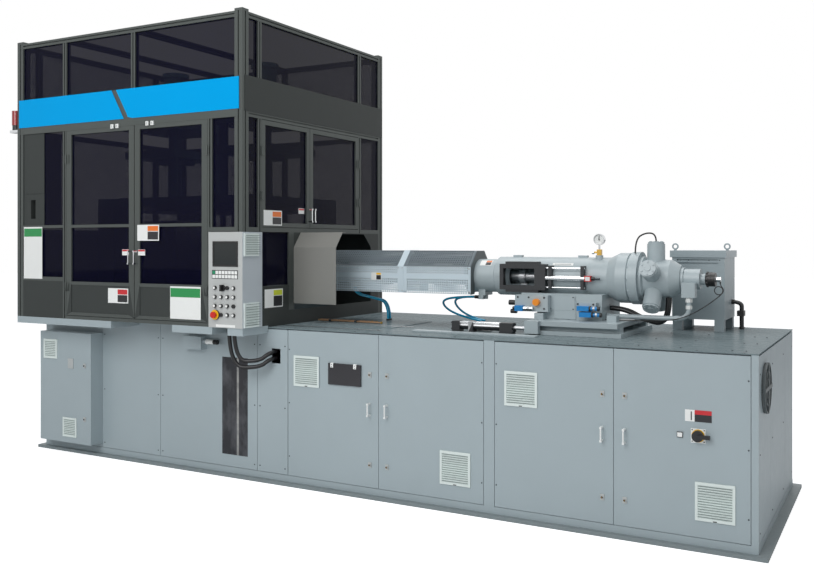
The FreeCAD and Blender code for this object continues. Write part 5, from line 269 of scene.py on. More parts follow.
NODE_PAINT = {
    "cabinet": ["base_frame", "base_panels", "base_door_1", "base_door_2", "base_door_3", "base_door_4",
                "control_box", "control_box_door", "transformer_cabinet", "eye_bolts"],
    "deck": ["deck_plate"],
    "plinth": ["base_plate"],
    "hood_dark": ["end_fan_guard"],
    "black": ["beacon_lamp", "traverse_cylinder", "coupling_guard"],
    "black_gloss": ["inspection_flap"],
    "profile": ["enclosure_frame", "front_door_left", "front_door_right", "side_door_front",
                "side_door_back"],
    "dark_sheet": ["enclosure_sheets"],
    "fascia": ["front_fascia"],
    "hood": ["nozzle_hood"],
    "glass": ["glazing", "front_door_left_glass", "front_door_right_glass", "side_door_front_glass",
              "side_door_back_glass"],
    "box": ["operator_box"],
    "black_plastic": ["touch_screen", "push_buttons", "mode_selector", "main_switch", "encoder",
                      "gauge_needle"],
    "red": ["emergency_stop"],
    "bed": ["machine_bed"],
    "inner": ["clamp_tower", "core_platen", "stretch_platen"],
    "steel": ["rotary_table", "screw_crosshead", "injection_screw", "traverse_rod"],
    "mould": ["blow_mould_front", "blow_mould_back", "injection_mould"],
    "machine": ["deck_rails", "carriage", "injection_cylinder", "hydraulic_motor", "valve_manifold"],
    "guard": ["barrel_guard"],
    "jacket": ["barrel"],
    "chrome": ["pressure_gauge"],
    "rubber": ["hydraulic_hoses", "cables"],
    "blue_hose": ["water_hoses"],
}


def paint(node, name):
    """Give a CAD node one finish."""
    mesh = NODES[node].data
    mesh.materials.clear()
    mesh.materials.append(PAINT[name])
    for face in mesh.polygons:
        face.material_index = 0


def touch_up(node, name, test):
    """Give another finish to the faces of a CAD node whose centre passes a test."""
    mesh = NODES[node].data
    mesh.materials.append(PAINT[name])
    index = len(mesh.materials) - 1
    for face in mesh.polygons:
        if test(face.center):
            face.material_index = index


def within(x=(-FAR, FAR), y=(-FAR, FAR), z=(-FAR, FAR)):
    """A test for points inside a box."""
    return lambda p: x[0] <= p.x <= x[1] and y[0] <= p.y <= y[1] and z[0] <= p.z <= z[1]


def around(middle, half):
    """The span that reaches as far to either side of a middle."""
    return middle - half, middle + half


def near(places, reach, y=(-FAR, FAR)):
    """A test for points in front of the machine near any of the given x and z places."""
    return lambda p: y[0] <= p.y <= y[1] and any(math.hypot(p.x - x, p.z - z) <= reach for x, z in places)


for finish, nodes in NODE_PAINT.items():
    for node in nodes:
        paint(node, finish)

# ---- mesh pieces

TRACK = {"x": Vector((1, 0, 0)), "y": Vector((0, 1, 0)), "z": Vector((0, 0, 1))}


def placed(name, data):
    """A new object in the scene."""
    thing = bpy.data.objects.new(name, data)
    bpy.context.collection.objects.link(thing)
    return thing


def ring_faces(count):
    """The faces between two loops of points, where the second follows the first."""
    return [(k, (k + 1) % count, count + (k + 1) % count, count + k) for k in range(count)]


def direction(heading):
    """A direction, given as itself or as an axis's letter."""
    return TRACK[heading] if isinstance(heading, str) else Vector(heading)


class Piece:
    """A mesh object gathered from simple forms, each in its own finish, that rides on a body."""

    def __init__(self, name, body="machine"):
        self.name = name
        self.body = body
        self.points = []
        self.faces = []
        self.marks = []
        self.finishes = []

    def form(self, points, faces, finish, smooth=False):
        """Add vertices and faces in one finish."""
        if finish not in self.finishes:
            self.finishes.append(finish)
        start = len(self.points)
        self.points.extend(points)
        self.faces.extend([[start + index for index in face] for face in faces])
        self.marks.extend([(self.finishes.index(finish), smooth)] * len(faces))

    def slab(self, low, high, finish):
        """A block between two corners."""
        corners = list(product(*zip(low, high)))
        faces = ((0, 1, 3, 2), (4, 6, 7, 5), (0, 4, 5, 1), (2, 3, 7, 6), (0, 2, 6, 4), (1, 5, 7, 3))
        self.form(corners, faces, finish)

    def plate(self, y, x, z, finish, proud, sunk=0.0004):
        """A thin block on a surface at y that faces the front, over two x and two z."""
        self.slab((x[0], y - proud, z[0]), (x[1], y + sunk, z[1]), finish)

    def side_plate(self, x, y, z, finish, proud, sunk):
        """A thin block on a surface at x that faces the right end, over two y and two z."""
        self.slab((x - sunk, y[0], z[0]), (x + proud, y[1], z[1]), finish)

    def head(self, spot, heading, radius, proud, finish="dark_steel", sides=12, edge=0.0, sunk=0.0005):
        """A screw's head that stands out to the front, the right end or the top, if its surface was found."""
        if spot is None or None in tuple(spot):
            return
        span = (-proud, sunk) if heading == "y" else (-sunk, proud)
        self.rod(spot, heading, span, radius, finish, sides, edge)

    def turned(self, centre, heading, profile, finish, sides=24):
        """A form turned about an axis, from (along, radius) steps: open where its ends aren't on the axis."""
        basis = direction(heading).to_track_quat("Z", "Y").to_matrix()
        points, faces = [], []
        for along, radius in profile:
            for index in range(sides):
                angle = math.tau * index / sides
                local = Vector((radius * math.cos(angle), radius * math.sin(angle), along))
                points.append(Vector(centre) + basis @ local)
        for step in range(len(profile) - 1):
            for index in range(sides):
                after = (index + 1) % sides
                faces.append((step * sides + index, step * sides + after,
                              (step + 1) * sides + after, (step + 1) * sides + index))
        self.form(points, faces, finish, smooth=sides > 8)

    def rod(self, centre, heading, span, radius, finish, sides=24, edge=0.0):
        """A closed cylinder with its ends' edges sloped off."""
        low, high = span
        tip = 1e-5
        profile = [(low, tip), (low, radius - edge), (low + edge, radius), (high - edge, radius),
                   (high, radius - edge), (high, tip)]
        self.turned(centre, heading, profile, finish, sides)

    def bolt(self, centre, heading, radius, finish="dark_steel"):
        """A hexagon head on a washer."""
        self.rod(centre, heading, (0, radius * 0.25), radius * 1.35, finish, 12, radius * 0.1)
        self.rod(centre, heading, (radius * 0.25, radius), radius, finish, 6, radius * 0.12)

    def bolts(self, centre, heading, ring, count, radius, finish="dark_steel", turn=0.0):
        """A circle of bolts about an axis."""
        axis = direction(heading)
        basis = axis.to_track_quat("Z", "Y").to_matrix()
        for index in range(count):
            angle = turn + math.tau * index / count
            spot = Vector(centre) + basis @ Vector((ring * math.cos(angle), ring * math.sin(angle), 0))
            self.bolt(spot, axis, radius, finish)

    def done(self, edge=0.0):
        """The finished object, on its body, with its sharp edges rounded by a given width."""
        mesh = bpy.data.meshes.new(self.name)
        mesh.from_pydata([tuple(point) for point in self.points], [], self.faces)
        for finish in self.finishes:
            mesh.materials.append(PAINT[finish])
        for face, (index, smooth) in zip(mesh.polygons, self.marks):
            face.material_index = index
            face.use_smooth = smooth
        form = bmesh.new()
        form.from_mesh(mesh)
        bmesh.ops.remove_doubles(form, verts=form.verts, dist=2e-5)
        bmesh.ops.recalc_face_normals(form, faces=form.faces)
        form.to_mesh(mesh)
        form.free()
        mesh.set_sharp_from_angle(angle=math.radians(35))
        piece = placed(self.name, mesh)
        if edge:
            bevel = piece.modifiers.new("edges", "BEVEL")
            bevel.width = edge
            bevel.segments = 2
            bevel.limit_method = "ANGLE"
            bevel.angle_limit = math.radians(50)
        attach(piece, self.body)
        return piece


TREES = {}


def tree_of(node):
    """A search tree of a CAD node's faces."""
    if node not in TREES:
        mesh = NODES[node].data
        places = [vertex.co for vertex in mesh.vertices]
        TREES[node] = BVHTree.FromPolygons(places, [tuple(face.vertices) for face in mesh.polygons])
    return TREES[node]


def seat(start, heading, *nodes):
    """Where a line from a point first meets any of the given CAD nodes."""
    hits = [tree_of(node).ray_cast(Vector(start), Vector(heading)) for node in nodes]
    spots = [(hit[3], hit[0]) for hit in hits if hit[0] is not None]
    return min(spots, key=lambda spot: spot[0])[1] if spots else None


def front_of(x, z, *nodes):
    """The y of the first surface behind a place seen from the front."""
    spot = seat((x, -2.0, z), (0, 1, 0), *nodes)
    return spot.y if spot else None


def side_of(y, z, *nodes):
    """The x of the first surface seen from the right end."""
    spot = seat((3.5, y, z), (-1, 0, 0), *nodes)
    return spot.x if spot else None


# ---- camera


def make_camera():
    """The photograph's viewpoint: level, 1.6 m above the floor, in front of the right half."""
    data = bpy.data.cameras.new("camera")
    data.sensor_width = 36.0
    data.lens = 40.13
    data.shift_y = -0.0546
    data.clip_end = 200.0
    camera = placed("camera", data)
    camera.location = (3.372, -5.7675, 1.632)
    camera.rotation_euler = (math.radians(90), 0, math.radians(28.9428))
    bpy.context.scene.camera = camera


make_camera()

# ---- hoses and cables

# Each CAD node of hoses: its finish and the body that carries them.
HOSE_KINDS = {"cables": ("rubber", "machine"), "water_hoses": ("blue_hose", "machine"),
              "hydraulic_hoses": ("rubber", "carriage")}
CONDUIT_RADIUS = PRESSURE_RADIUS = 0.014
SUPPLY_RADIUS = 0.012
WATER_RADIUS = 0.008
# The CAD hoses' routes, in metres.
CONDUITS = (
    ("operator_conduit_left", 0.604,
     [(-0.677, -0.948, 1.0697), (-0.677, -0.948, 0.792), (-0.472, -0.878, 0.792), (-0.412, -0.848, 0.850),
      (-0.412, -0.773, 0.850)]),
    ("operator_conduit_right", 0.527,
     [(-0.633, -0.948, 1.0697), (-0.633, -0.948, 0.836), (-0.472, -0.878, 0.836), (-0.412, -0.848, 0.894),
      (-0.412, -0.773, 0.894)]),
)
SUPPLY_X = (2.3303, 2.3923)
SUPPLY_Z = (1.240, 1.0603)
SUPPLY_Y = (0.655, 0.627)
# Each loop's right end, its y, its reach to the left and its length.
WATER_LOOPS = (("water_loop_left", 0.7797, -0.048, 0.330, 0.733),
               ("water_loop_right", 0.7897, -0.008, 0.262, 0.637))
LOOP_TOP = 1.264
DROP_X = -0.250
DROP_END_X = -0.010
DROP_SHIFT = 0.100
WATER_DROPS = (("water_drop_left", -0.040), ("water_drop_right", -0.010))
PRESSURE_HOSES = (("pressure_hose_front", -0.020), ("pressure_hose_back", 0.024))
# The hoses' ends, a hair off the right end of the carriage's casting, which is 0.54 m long.
HOSE_END_X = tenth(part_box("carriage")[0].x + 0.54 + 0.0003)
MOTOR_CABLE = [(1.862, -0.060, 1.571), (1.862, -0.060, 1.662), (1.922, -0.030, 1.702), (1.978, 0.0, 1.692),
               (1.978, 0.0, 1.6423)]
CURL_CENTRE = (2.359, 1.345)
CURL_REACH = 0.029
CURL_PITCH = 0.018
ENCODER_RUN = [(2.343, -0.046, 1.2913), (2.284, -0.078, 1.2443), (2.222, -0.110, 1.2043),
               (2.160, -0.131, 1.1773), (2.088, -0.137, 1.1613), (2.010, -0.132, 1.1543),
               (1.930, -0.135, 1.1521), (1.852, -0.129, 1.1513), (1.7693, -0.133, 1.1503),
               (HOSE_END_X, -0.130, 1.1501)]


def tube(name, kind, radius, rounds, steps):
    """A round curve and its one spline, which takes its points next."""
    curve = bpy.data.curves.new(name, "CURVE")
    curve.dimensions = "3D"
    curve.bevel_depth = radius
    curve.bevel_resolution = rounds
    curve.resolution_u = steps
    return curve, curve.splines.new(kind)


def hang(curve, node, finish=None):
    """The object of a curve that has its points, on its body and in place of a CAD node's solid."""
    usual, body = HOSE_KINDS[node]
    curve.materials.append(PAINT[finish or usual])
    pipe = placed(curve.name, curve)
    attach(pipe, body)
    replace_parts(pipe, node)
    return pipe


def make_cord(name, points, radius, node):
    """A hose or cable along one open spline with the given control points."""
    curve, line = tube(name, "NURBS", radius, 5, 16)
    line.points.add(len(points) - 1)
    for spot, point in zip(line.points, points):
        spot.co = (*point, 1.0)
    line.order_u = 3
    line.use_endpoint_u = True
    hang(curve, node)


def encoder_route():
    """Down from the encoder's tip, once round, and along the carriage's foot to the casting."""
    x, z = CURL_CENTRE
    points = [(ENCODER_CABLE_X, 0.0, 1.3967), (ENCODER_CABLE_X, 0.0, 1.377)]
    for corner in range(8):
        turn = math.radians(20 - 60 * corner)
        points.append((x + CURL_REACH * math.cos(turn), -0.001 - CURL_PITCH * corner / 6,
                       z + CURL_REACH * math.sin(turn)))
    return points + ENCODER_RUN


def make_cords():
    """Every hose and cable, each on the body that carries it."""
    for name, length, points in CONDUITS:
        make_cord(name, points, CONDUIT_RADIUS, "cables")
    (start_x, end_x), (start_z, end_z) = SUPPLY_X, SUPPLY_Z
    for index, y in enumerate(SUPPLY_Y):
        points = [(start_x, y, start_z), (end_x, y, start_z), (end_x, y, 1.178), (end_x, y, end_z)]
        make_cord(f"supply_cable_{index + 1}", points, SUPPLY_RADIUS, "cables")
    for name, x, y, reach, length in WATER_LOOPS:
        points = [(x, y, LOOP_TOP), (x - 0.120, y, LOOP_TOP), (x - reach, y + 0.060, 1.234),
                  (x - reach, y + 0.180, 1.144), (x - 0.190, y + 0.320, 1.0753),
                  (x - 0.130, y + 0.330, 1.0693)]
        make_cord(name, points, WATER_RADIUS, "water_hoses")
    for name, y in WATER_DROPS:
        end_y = y + DROP_SHIFT
        points = [(DROP_X, y, 1.3257), (DROP_X, y, 1.262), (-0.120, y + DROP_SHIFT / 2, 1.230),
                  (DROP_END_X, end_y, 1.200), (DROP_END_X, end_y, 1.0633)]
        make_cord(name, points, WATER_RADIUS, "water_hoses")
    for name, y in PRESSURE_HOSES:
        points = [(HOSE_END_X, y, 1.216), (1.780, y, 1.216), (1.902, y, 1.150), (2.057, y, 1.120),
                  (2.057, y, 1.2937)]
        make_cord(name, points, PRESSURE_RADIUS, "hydraulic_hoses")
    make_cord("motor_cable", MOTOR_CABLE, 0.005, "hydraulic_hoses")
    make_cord("encoder_cable", encoder_route(), 0.003, "hydraulic_hoses")


# How far a Bezier handle reaches for a quarter circle, as a share of its radius.
ROUND = 0.5523


def make_steel_pipe():
    """The rigid pipe under the motor's valve, with its hexagon fittings."""
    x, y, low, high, left = 2.199, -0.095, 1.172, 1.3017, HOSE_END_X
    bend = 0.058
    pull = bend * ROUND
    curve, line = tube("steel_pipe", "BEZIER", 0.015, 6, 24)
    knots = [((x, y, high), (0, 0, 0.02), (0, 0, -0.02)), ((x, y, low + bend), (0, 0, 0.02), (0, 0, -pull)),
             ((x - bend, y, low), (pull, 0, 0), (-0.02, 0, 0)), ((left, y, low), (0.02, 0, 0), (-0.02, 0, 0))]
    line.bezier_points.add(len(knots) - 1)
    for knot, (spot, before, after) in zip(line.bezier_points, knots):
        knot.co = spot
        knot.handle_left_type = knot.handle_right_type = "FREE"
        knot.handle_left = Vector(spot) + Vector(before)
        knot.handle_right = Vector(spot) + Vector(after)
    hang(curve, "hydraulic_hoses", "machine")
    fittings = Piece("pipe_fittings", "carriage")
    for centre, heading, span, radius in (((x, y, 0), "z", (high - 0.030, high - 0.001), 0.022),
                                          ((x, y, 0), "z", (low + bend, low + bend + 0.024), 0.020),
                                          ((0, y, low), "x", (x - bend - 0.026, x - bend), 0.020),
                                          ((0, y, low), "x", (left + 0.001, left + 0.022), 0.021)):
        finish = "white_plastic" if heading == "z" else "machine"
        fittings.rod(centre, heading, span, radius, finish, 6, 0.002)
    fittings.done(0.0008)


make_cords()
make_steel_pipe()

# ---- finishes within CAD nodes

VENTS = {"base_door_1": (-0.249, 0.676), "base_door_2": (0.852, 0.159), "base_door_3": (1.279, 0.676),
         "base_door_4": (2.375, 0.159)}
VENT_SIDE = 0.205
LOCK_X = {"base_door_1": 0.347, "base_door_2": 0.474, "base_door_3": 1.869, "base_door_4": 1.996}
LOCK_Z = (0.212, 0.790)
LOCK_REACH = 0.025
HANDLE_Z = (0.50, 0.63)
CONTROL_VENTS = ((-2.573, 0.737), (-2.357, 0.143))
CONTROL_VENT_SIDE = 0.150
CONTROL_LOCKS = ((-2.121, 0.292), (-2.121, 0.700))
FRONT_DOORS_LOW_GLASS = 1.344
# The stroke scale's rod: how far behind the coupling guard's front it lies, and its height.
SCALE_DEPTH = 0.018
SCALE_Z = AXIS_Z - 0.004


def dress_base():
    """Grilles, locks, handles, the switch plate and the flap's straps."""
    proud = (-FAR, CABINET_FRONT - SKIN)
    grille = (-FAR, CABINET_FRONT - 0.001)
    for door, (x, z) in VENTS.items():
        touch_up(door, "vent", within((x, x + VENT_SIDE), grille, (z, z + VENT_SIDE)))
        lock_x = LOCK_X[door]
        touch_up(door, "white_plastic", within(around(lock_x, 0.02), proud, HANDLE_Z))
        touch_up(door, "box", near([(lock_x, z) for z in LOCK_Z], LOCK_REACH, proud))
    control = (-FAR, CONTROL_FRONT + 0.0105)
    for x, z in CONTROL_VENTS:
        touch_up("control_box_door", "vent",
                 within((x, x + CONTROL_VENT_SIDE), control, (z, z + CONTROL_VENT_SIDE)))
    touch_up("control_box_door", "box", near(CONTROL_LOCKS, LOCK_REACH, control))
    x, z = SWITCH
    touch_up("base_door_4", "white_plastic", within(around(x, 0.039), proud, around(z, 0.039)))
    touch_up("base_door_4", "sign_black", within((x - 0.112, x - 0.079), proud, (z - 0.02, z + 0.015)))
    low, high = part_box("inspection_flap")
    touch_up("inspection_flap", "white_plastic",
             within(y=(-FAR, low.y + 0.0029), z=(high.z - 0.025, FAR)))


def dress_enclosure():
    """The doors' solid lower parts and handles, the clear panes, the slot window, and the lamp."""
    for door in ("front_door_left", "front_door_right"):
        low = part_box(door)[0]
        touch_up(door, "dark_sheet", within(z=(low.z + 0.03, FRONT_DOORS_LOW_GLASS - 0.03), y=(-1.08, -1.0)))
        touch_up(door, "chrome", within(x=(-1.56, -1.34), y=(-FAR, FRONT_FACE + 0.0025)))
    for door in ("side_door_front", "side_door_back"):
        touch_up(door, "chrome", within(x=(SIDE_FACE - 0.001, 0), y=(-0.36, -0.18), z=(1.77, 2.3)))
    touch_up("glazing", "clear_glass", lambda p: p.z > 1 and (p.y > 0.70 or p.x < -2.62))
    # The narrow window gets the opaque finish with the inside's light and shade painted on it.
    touch_up("glazing", "slot_glass", within(z=(0, 1)))
    foot_z = BEACON_LOW.z + 0.020
    touch_up("beacon_lamp", "chrome", within(z=(0, foot_z + 0.001)))
    touch_up("beacon_lamp", "lamp_red", within(z=(foot_z + 0.0405, FAR)))


def dress_operator_box():
    """Sides, grilles, screen, keys and buttons."""
    right = BOX_HIGH.x - 0.008
    touch_up("operator_box", "box_side", within(x=around(right, SKIN)))
    touch_up("operator_box", "vent", within(x=(right + 0.0006, FAR)))
    low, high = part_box("touch_screen")
    rim = 0.0125
    touch_up("touch_screen", "screen",
             within((low.x + rim, high.x - rim), (low.y + 0.001, 0), (low.z + rim, high.z - rim)))
    touch_up("push_buttons", "white_plastic", within(z=(1.39, FAR)))
    touch_up("push_buttons", "green_plastic", within((-1, -0.692), z=(1.425, FAR)))
    touch_up("push_buttons", "yellow", near([(-0.688, 1.156)], 0.030))


def dress_unit():
    """Small fittings of the injection unit."""
    touch_up("encoder", "chrome", within(x=(ENCODER_HIGH.x - 0.0299, FAR)))
    neck = (0, GAUGE_LOW.z + 0.039)
    touch_up("pressure_gauge", "brass", within(z=neck))
    touch_up("pressure_gauge", "chrome", within(x=(0, GAUGE_LOW.x + 0.020), z=neck))
    touch_up("pressure_gauge", "white_plastic",
             near([GAUGE_CENTRE], 0.0318, around(GAUGE_LOW.y + 0.010, 0.001)))
    touch_up("valve_manifold", "black_plastic", within(x=(0, BLOCKS_LOW.x + 0.0515)))
    touch_up("valve_manifold", "orange", within((1.25, 1.31), (-FAR, -0.2625), (1.22, 1.29)))
    touch_up("valve_manifold", "blue", within((1.50, FAR), (-FAR, -0.2525)))
    scale_y = COUPLING_FRONT + SCALE_DEPTH
    for z, reach in ((SCALE_Z, 0.018), (AXIS_Z + 0.060, 0.007), (AXIS_Z - 0.065, 0.007)):
        touch_up("coupling_guard", "chrome",
                 lambda p, z=z, reach=reach: p.x > 1.303 and math.hypot(p.y - scale_y, p.z - z) <= reach)
    touch_up("coupling_guard", "red", within((1.5635, FAR), (-FAR, 0), (1.385, 1.43)))
    touch_up("traverse_cylinder", "steel", within(z=(1.10, FAR), x=(0.818, 1.096)))
    touch_up("traverse_rod", "machine", within(x=(1.245, FAR)))


dress_base()
dress_enclosure()
dress_operator_box()
dress_unit()

# ---- barrel guard

HOLE_PITCH = 0.017
HOLE_SIDE = 0.0088
GUARD_SHEET = 0.003
BAND_X = (0.197, 0.245)


def guard_corners():
    """The guard's section, from its front lower edge over the top to its back lower edge."""
    half, top = GUARD_HIGH.y - 0.002, GUARD_HIGH.z - 0.002
    flat, shoulder = 0.062, top - 0.110
    front = [(-half, GUARD_LOW.z), (-half, shoulder), (-flat, top)]
    return front + [(-y, z) for y, z in reversed(front)]


def holed(cell, face, row, rows, x):
    """Whether a cell of the guard's sheet has a hole."""
    if cell < 1 or row in (0, rows) or BAND_X[0] - 0.012 < x < BAND_X[1] + 0.012:
        return False
    upright = face in (0, 4)
    from_top = rows - row if face == 0 else row
    return not upright or from_top not in (4, 5)


def make_guard():
    """The folded cover of perforated sheet, with its plain joint band and its end plate."""
    guard = Piece("perforated_guard", "carriage")
    corners = guard_corners()
    right = GUARD_HIGH.x
    columns = int((right - GUARD_LOW.x) / HOLE_PITCH)
    pitch = (right - GUARD_LOW.x) / columns
    for face in range(5):
        start, end = Vector((0, *corners[face])), Vector((0, *corners[face + 1]))
        run = end - start
        rows = round(run.length / HOLE_PITCH)
        # The upright faces keep the sheet's pale enamel; the sloped faces and the top get the darker painted
        # shade.
        finish = "guard" if face in (0, 4) else "guard_top"
        step = run / rows
        rim = (1 - HOLE_SIDE / HOLE_PITCH) / 2
        for column in range(columns):
            x = GUARD_LOW.x + column * pitch
            for row in range(rows):
                def spot(across, up):
                    return (x + across * pitch, *(start + step * (row + up)).yz)
                outer = [spot(0, 0), spot(1, 0), spot(1, 1), spot(0, 1)]
                if not (0 < column < columns - 1 and holed(column, face, row + (face < 3), rows + 1, x)):
                    guard.form(outer, [(0, 1, 2, 3)], finish)
                    continue
                inner = [spot(rim, rim), spot(1 - rim, rim), spot(1 - rim, 1 - rim), spot(rim, 1 - rim)]
                guard.form(outer + inner, ring_faces(4), finish)
    piece = guard.done()
    thick = piece.modifiers.new("sheet", "SOLIDIFY")
    thick.thickness = GUARD_SHEET
    thick.offset = -1
    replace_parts(piece, "barrel_guard")
    trim = Piece("guard_trim", "carriage")
    trim_band(trim, BAND_X, 0.002)
    end_plate(trim)
    for x in (GUARD_LOW.x + 0.012, BAND_X[0] + 0.008, BAND_X[1] - 0.008, right - 0.012):
        for side, z in product((-1, 1), (GUARD_LOW.z + 0.015, corners[1][1] - 0.012)):
            trim.bolt((x, side * corners[4][0], z), (0, side, 0), 0.0045, "steel")
    sheet, sign = corners[0][0], -GUARD_HIGH.y
    trim.slab((-0.019, sign - 0.0001, 1.371), (0.065, sheet + 0.0005, 1.425), "sign")
    for low, high, finish in ((1.409, 1.422, "yellow"), (1.374, 1.406, "sign_black")):
        trim.slab((0.024, sign - 0.0004, low), (0.062, sheet, high), finish)
    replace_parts(trim.done(), "barrel_guard")


def trim_band(trim, span, proud):
    """The band over the joint of the guard's two halves."""
    outer, inner = [], []
    ways_out = ((-1, 0), (-1, 0.4), (-0.4, 1), (0.4, 1), (1, 0.4), (1, 0))
    for (y, z), (out_y, out_z) in zip(guard_corners(), ways_out):
        outer.append((y + out_y * proud, z + out_z * proud))
        inner.append((y - out_y * 0.0005, z - out_z * 0.0005))
    points = [(x, y, z) for x in span for y, z in outer + inner[::-1]]
    count = len(outer) * 2
    faces = ring_faces(count)
    for first, last in ((0, count - 1), (count, 2 * count - 1)):
        faces += [(first + k, first + k + 1, last - 1 - k, last - k) for k in range(len(outer) - 1)]
    trim.form(points, faces, "guard")


def end_plate(trim):
    """The plate that closes the guard around the injection housing."""
    right = GUARD_HIGH.x
    radius = 0.0987
    corners = [(y * 0.985, z - 0.003) for y, z in guard_corners()]
    x_pair = (right - 0.003, right - 0.0005)
    arc = []
    steps = 24
    for index in range(steps + 1):
        turn = math.radians(180 - 180 * index / steps)
        arc.append((radius * math.cos(turn), AXIS_Z + radius * math.sin(turn)))
    arc = [(-radius, GUARD_LOW.z)] + arc + [(radius, GUARD_LOW.z)]
    loop = corners + arc[::-1]
    for x in x_pair:
        trim.form([(x, y, z) for y, z in loop], [tuple(range(len(loop)))], "hood_dark")
    points = [(x, y, z) for x in x_pair for y, z in loop]
    trim.form(points, ring_faces(len(loop)), "hood_dark")


make_guard()

# ---- base cabinet's small parts


def louvres(piece, x, z, side, y, count):
    """Dark strips of painted shade for the slots between a square grille's slats."""
    rim = 0.015
    step = (side - 2 * rim) / count
    for index in range(count):
        low = z + rim + step * (index + 0.40)
        piece.plate(y, (x + rim, x + side - rim), (low, low + step * 0.26), "vent_slot", 0.0006)


def key_barrel(piece, x, y, z):
    """The dark round of a lock, in the near black that paints the shade of a hole."""
    piece.rod((x, y, z), "y", (-0.0008, 0.0008), 0.0062, "painted_hole_shade", 16)


def make_door_fittings():
    """Key barrels, the grille's slots and notch, their dark plates painted shade, and three screws by the
    hinges, on each cabinet door.
    """
    for door, lock_x in LOCK_X.items():
        low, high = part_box(door)
        piece = Piece(f"{door}_fittings", door)
        lock_face = CABINET_FRONT - 0.011
        for z in LOCK_Z:
            key_barrel(piece, lock_x, lock_face, z)
            piece.plate(lock_face, around(lock_x, 0.0012), around(z, 0.0045), "brass", 0.0016, -0.0006)
        x, z = VENTS[door]
        grille = CABINET_FRONT - 0.008
        louvres(piece, x, z, VENT_SIDE, grille, 13)
        notch = around(x + VENT_SIDE / 2, 0.010)
        # The grille's notch: a dark plate of painted shade.
        piece.plate(grille, notch, (z + 0.002, z + 0.0065), "painted_hole_shade", 0.0010)
        hinge_x = low.x + 0.010 if door in ("base_door_1", "base_door_3") else high.x - 0.010
        for z in (low.z + 0.13, (low.z + high.z) / 2, high.z - 0.13):
            piece.head((hinge_x, CABINET_FRONT, z), "y", 0.0045, 0.0016, edge=0.0006, sunk=0.0006)
        piece.done()


def make_switch_fittings():
    """The main switch's screws and ring, the lamp beside it and the bare sign above, on the fourth door."""
    x, z = SWITCH
    plate = CABINET_FRONT - 0.003
    piece = Piece("switch_fittings", "base_door_4")
    for index in range(4):
        turn = math.radians(45 + 90 * index)
        spot = (x + 0.044 * math.cos(turn), plate, z + 0.044 * math.sin(turn))
        piece.head(spot, "y", 0.0035, 0.0014, sunk=0.0004)
    piece.head((x, plate, z), "y", 0.0345, 0.0008, "yellow", 40, sunk=0.0004)
    lamp = CABINET_FRONT - 0.006
    piece.plate(lamp, (x - 0.1085, x - 0.0825), (z - 0.0135, z + 0.0095), "white_plastic", 0.0012)
    sign_z = z + 0.105
    low, line, high = sign_z - 0.031, sign_z + 0.008, sign_z + 0.031
    left, middle, right = x - 0.069, x - 0.019, x + 0.069
    piece.plate(CABINET_FRONT, (left, middle), (low, high), "sign", 0.0012)
    piece.plate(CABINET_FRONT, (middle, right), (line, high), "sign_red", 0.0012)
    piece.plate(CABINET_FRONT, (middle, right), (low, line), "sign_black", 0.0012)
    stroke = (sign_z - 0.024, sign_z + 0.022)
    piece.plate(CABINET_FRONT, around(x - 0.036, 0.003), stroke, "sign_black", 0.0016, 0.0)
    piece.done()


def make_panel_screws():
    """Screws of the fixed panels, the deck's edge and the end panels."""
    piece = Piece("panel_screws")
    for x, z in product((-2.035, -1.482, -1.436, -0.585, -0.538, -0.326), (0.105, 0.515, 0.935)):
        y = front_of(x, z, "base_panels", "base_frame")
        if y is not None and y < -0.75:
            piece.head((x, y, z), "y", 0.0048, 0.0022, edge=0.0008)
    first, pitch = -0.26, 0.24
    for index in range(13):
        spot = seat((first + index * pitch, -0.765, 2.5), (0, 0, -1), "deck_plate", "base_frame")
        piece.head(spot, "z", 0.006, 0.0022, edge=0.0008)
    for y, z in product((-0.74, -0.25, 0.25, 0.73), (0.12, 0.53, 0.95)):
        x = side_of(y, z, "base_panels", "base_frame")
        piece.head((x, y, z), "x", 0.0048, 0.0022, edge=0.0008)
    piece.done()


def make_flap_fittings():
    """The flap's two straps, with their screws."""
    low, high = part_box("inspection_flap")
    piece = Piece("flap_straps", "inspection_flap")
    front, back, side = low.y - 0.0012, high.y - 0.0005, 0.022
    for x in (low.x + 0.020, high.x - 0.054):
        piece.slab((x, front, high.z - 0.028), (x + side, back, high.z + 0.003), "white_plastic")
        for z in (high.z - 0.022, high.z - 0.008):
            piece.head((x + side / 2, front, z), "y", 0.0028, 0.001, sides=10)
    piece.done(0.001)


def make_junction_fittings():
    """The white coupling and the black nut on the junction box's cable gland."""
    piece = Piece("junction_coupling")
    for span, radius, finish, sides, edge in (((-0.990, -0.978), 0.0190, "white_plastic", 20, 0.001),
                                              ((-0.979, -0.925), 0.0165, "white_plastic", 20, 0.002),
                                              ((-0.926, -0.888), 0.0180, "black_plastic", 6, 0.002)):
        piece.rod((0, -0.818, 0.936), "x", span, radius, finish, sides, edge)
    piece.done()


def make_control_box_fittings():
    """Locks' key barrels and the grilles' slots, in dark painted shade, and the blank plate on the small box's
    door.
    """
    piece = Piece("control_door_fittings", "control_box_door")
    for x, z in CONTROL_LOCKS:
        key_barrel(piece, x, CONTROL_FRONT, z)
    for x, z in CONTROL_VENTS:
        grille = front_of(x + CONTROL_VENT_SIDE / 2, z + 0.007, "control_box_door")
        louvres(piece, x, z, CONTROL_VENT_SIDE, grille, 9)
    x, z = -2.273, 0.709
    face = front_of(x, z, "control_box_door")
    piece.plate(face, around(x, 0.030), around(z, 0.038), "sign_grey", 0.0014)
    piece.done()


make_door_fittings()
make_switch_fittings()
make_panel_screws()
make_flap_fittings()
make_control_box_fittings()
make_junction_fittings()

# ---- enclosure's signs and trim

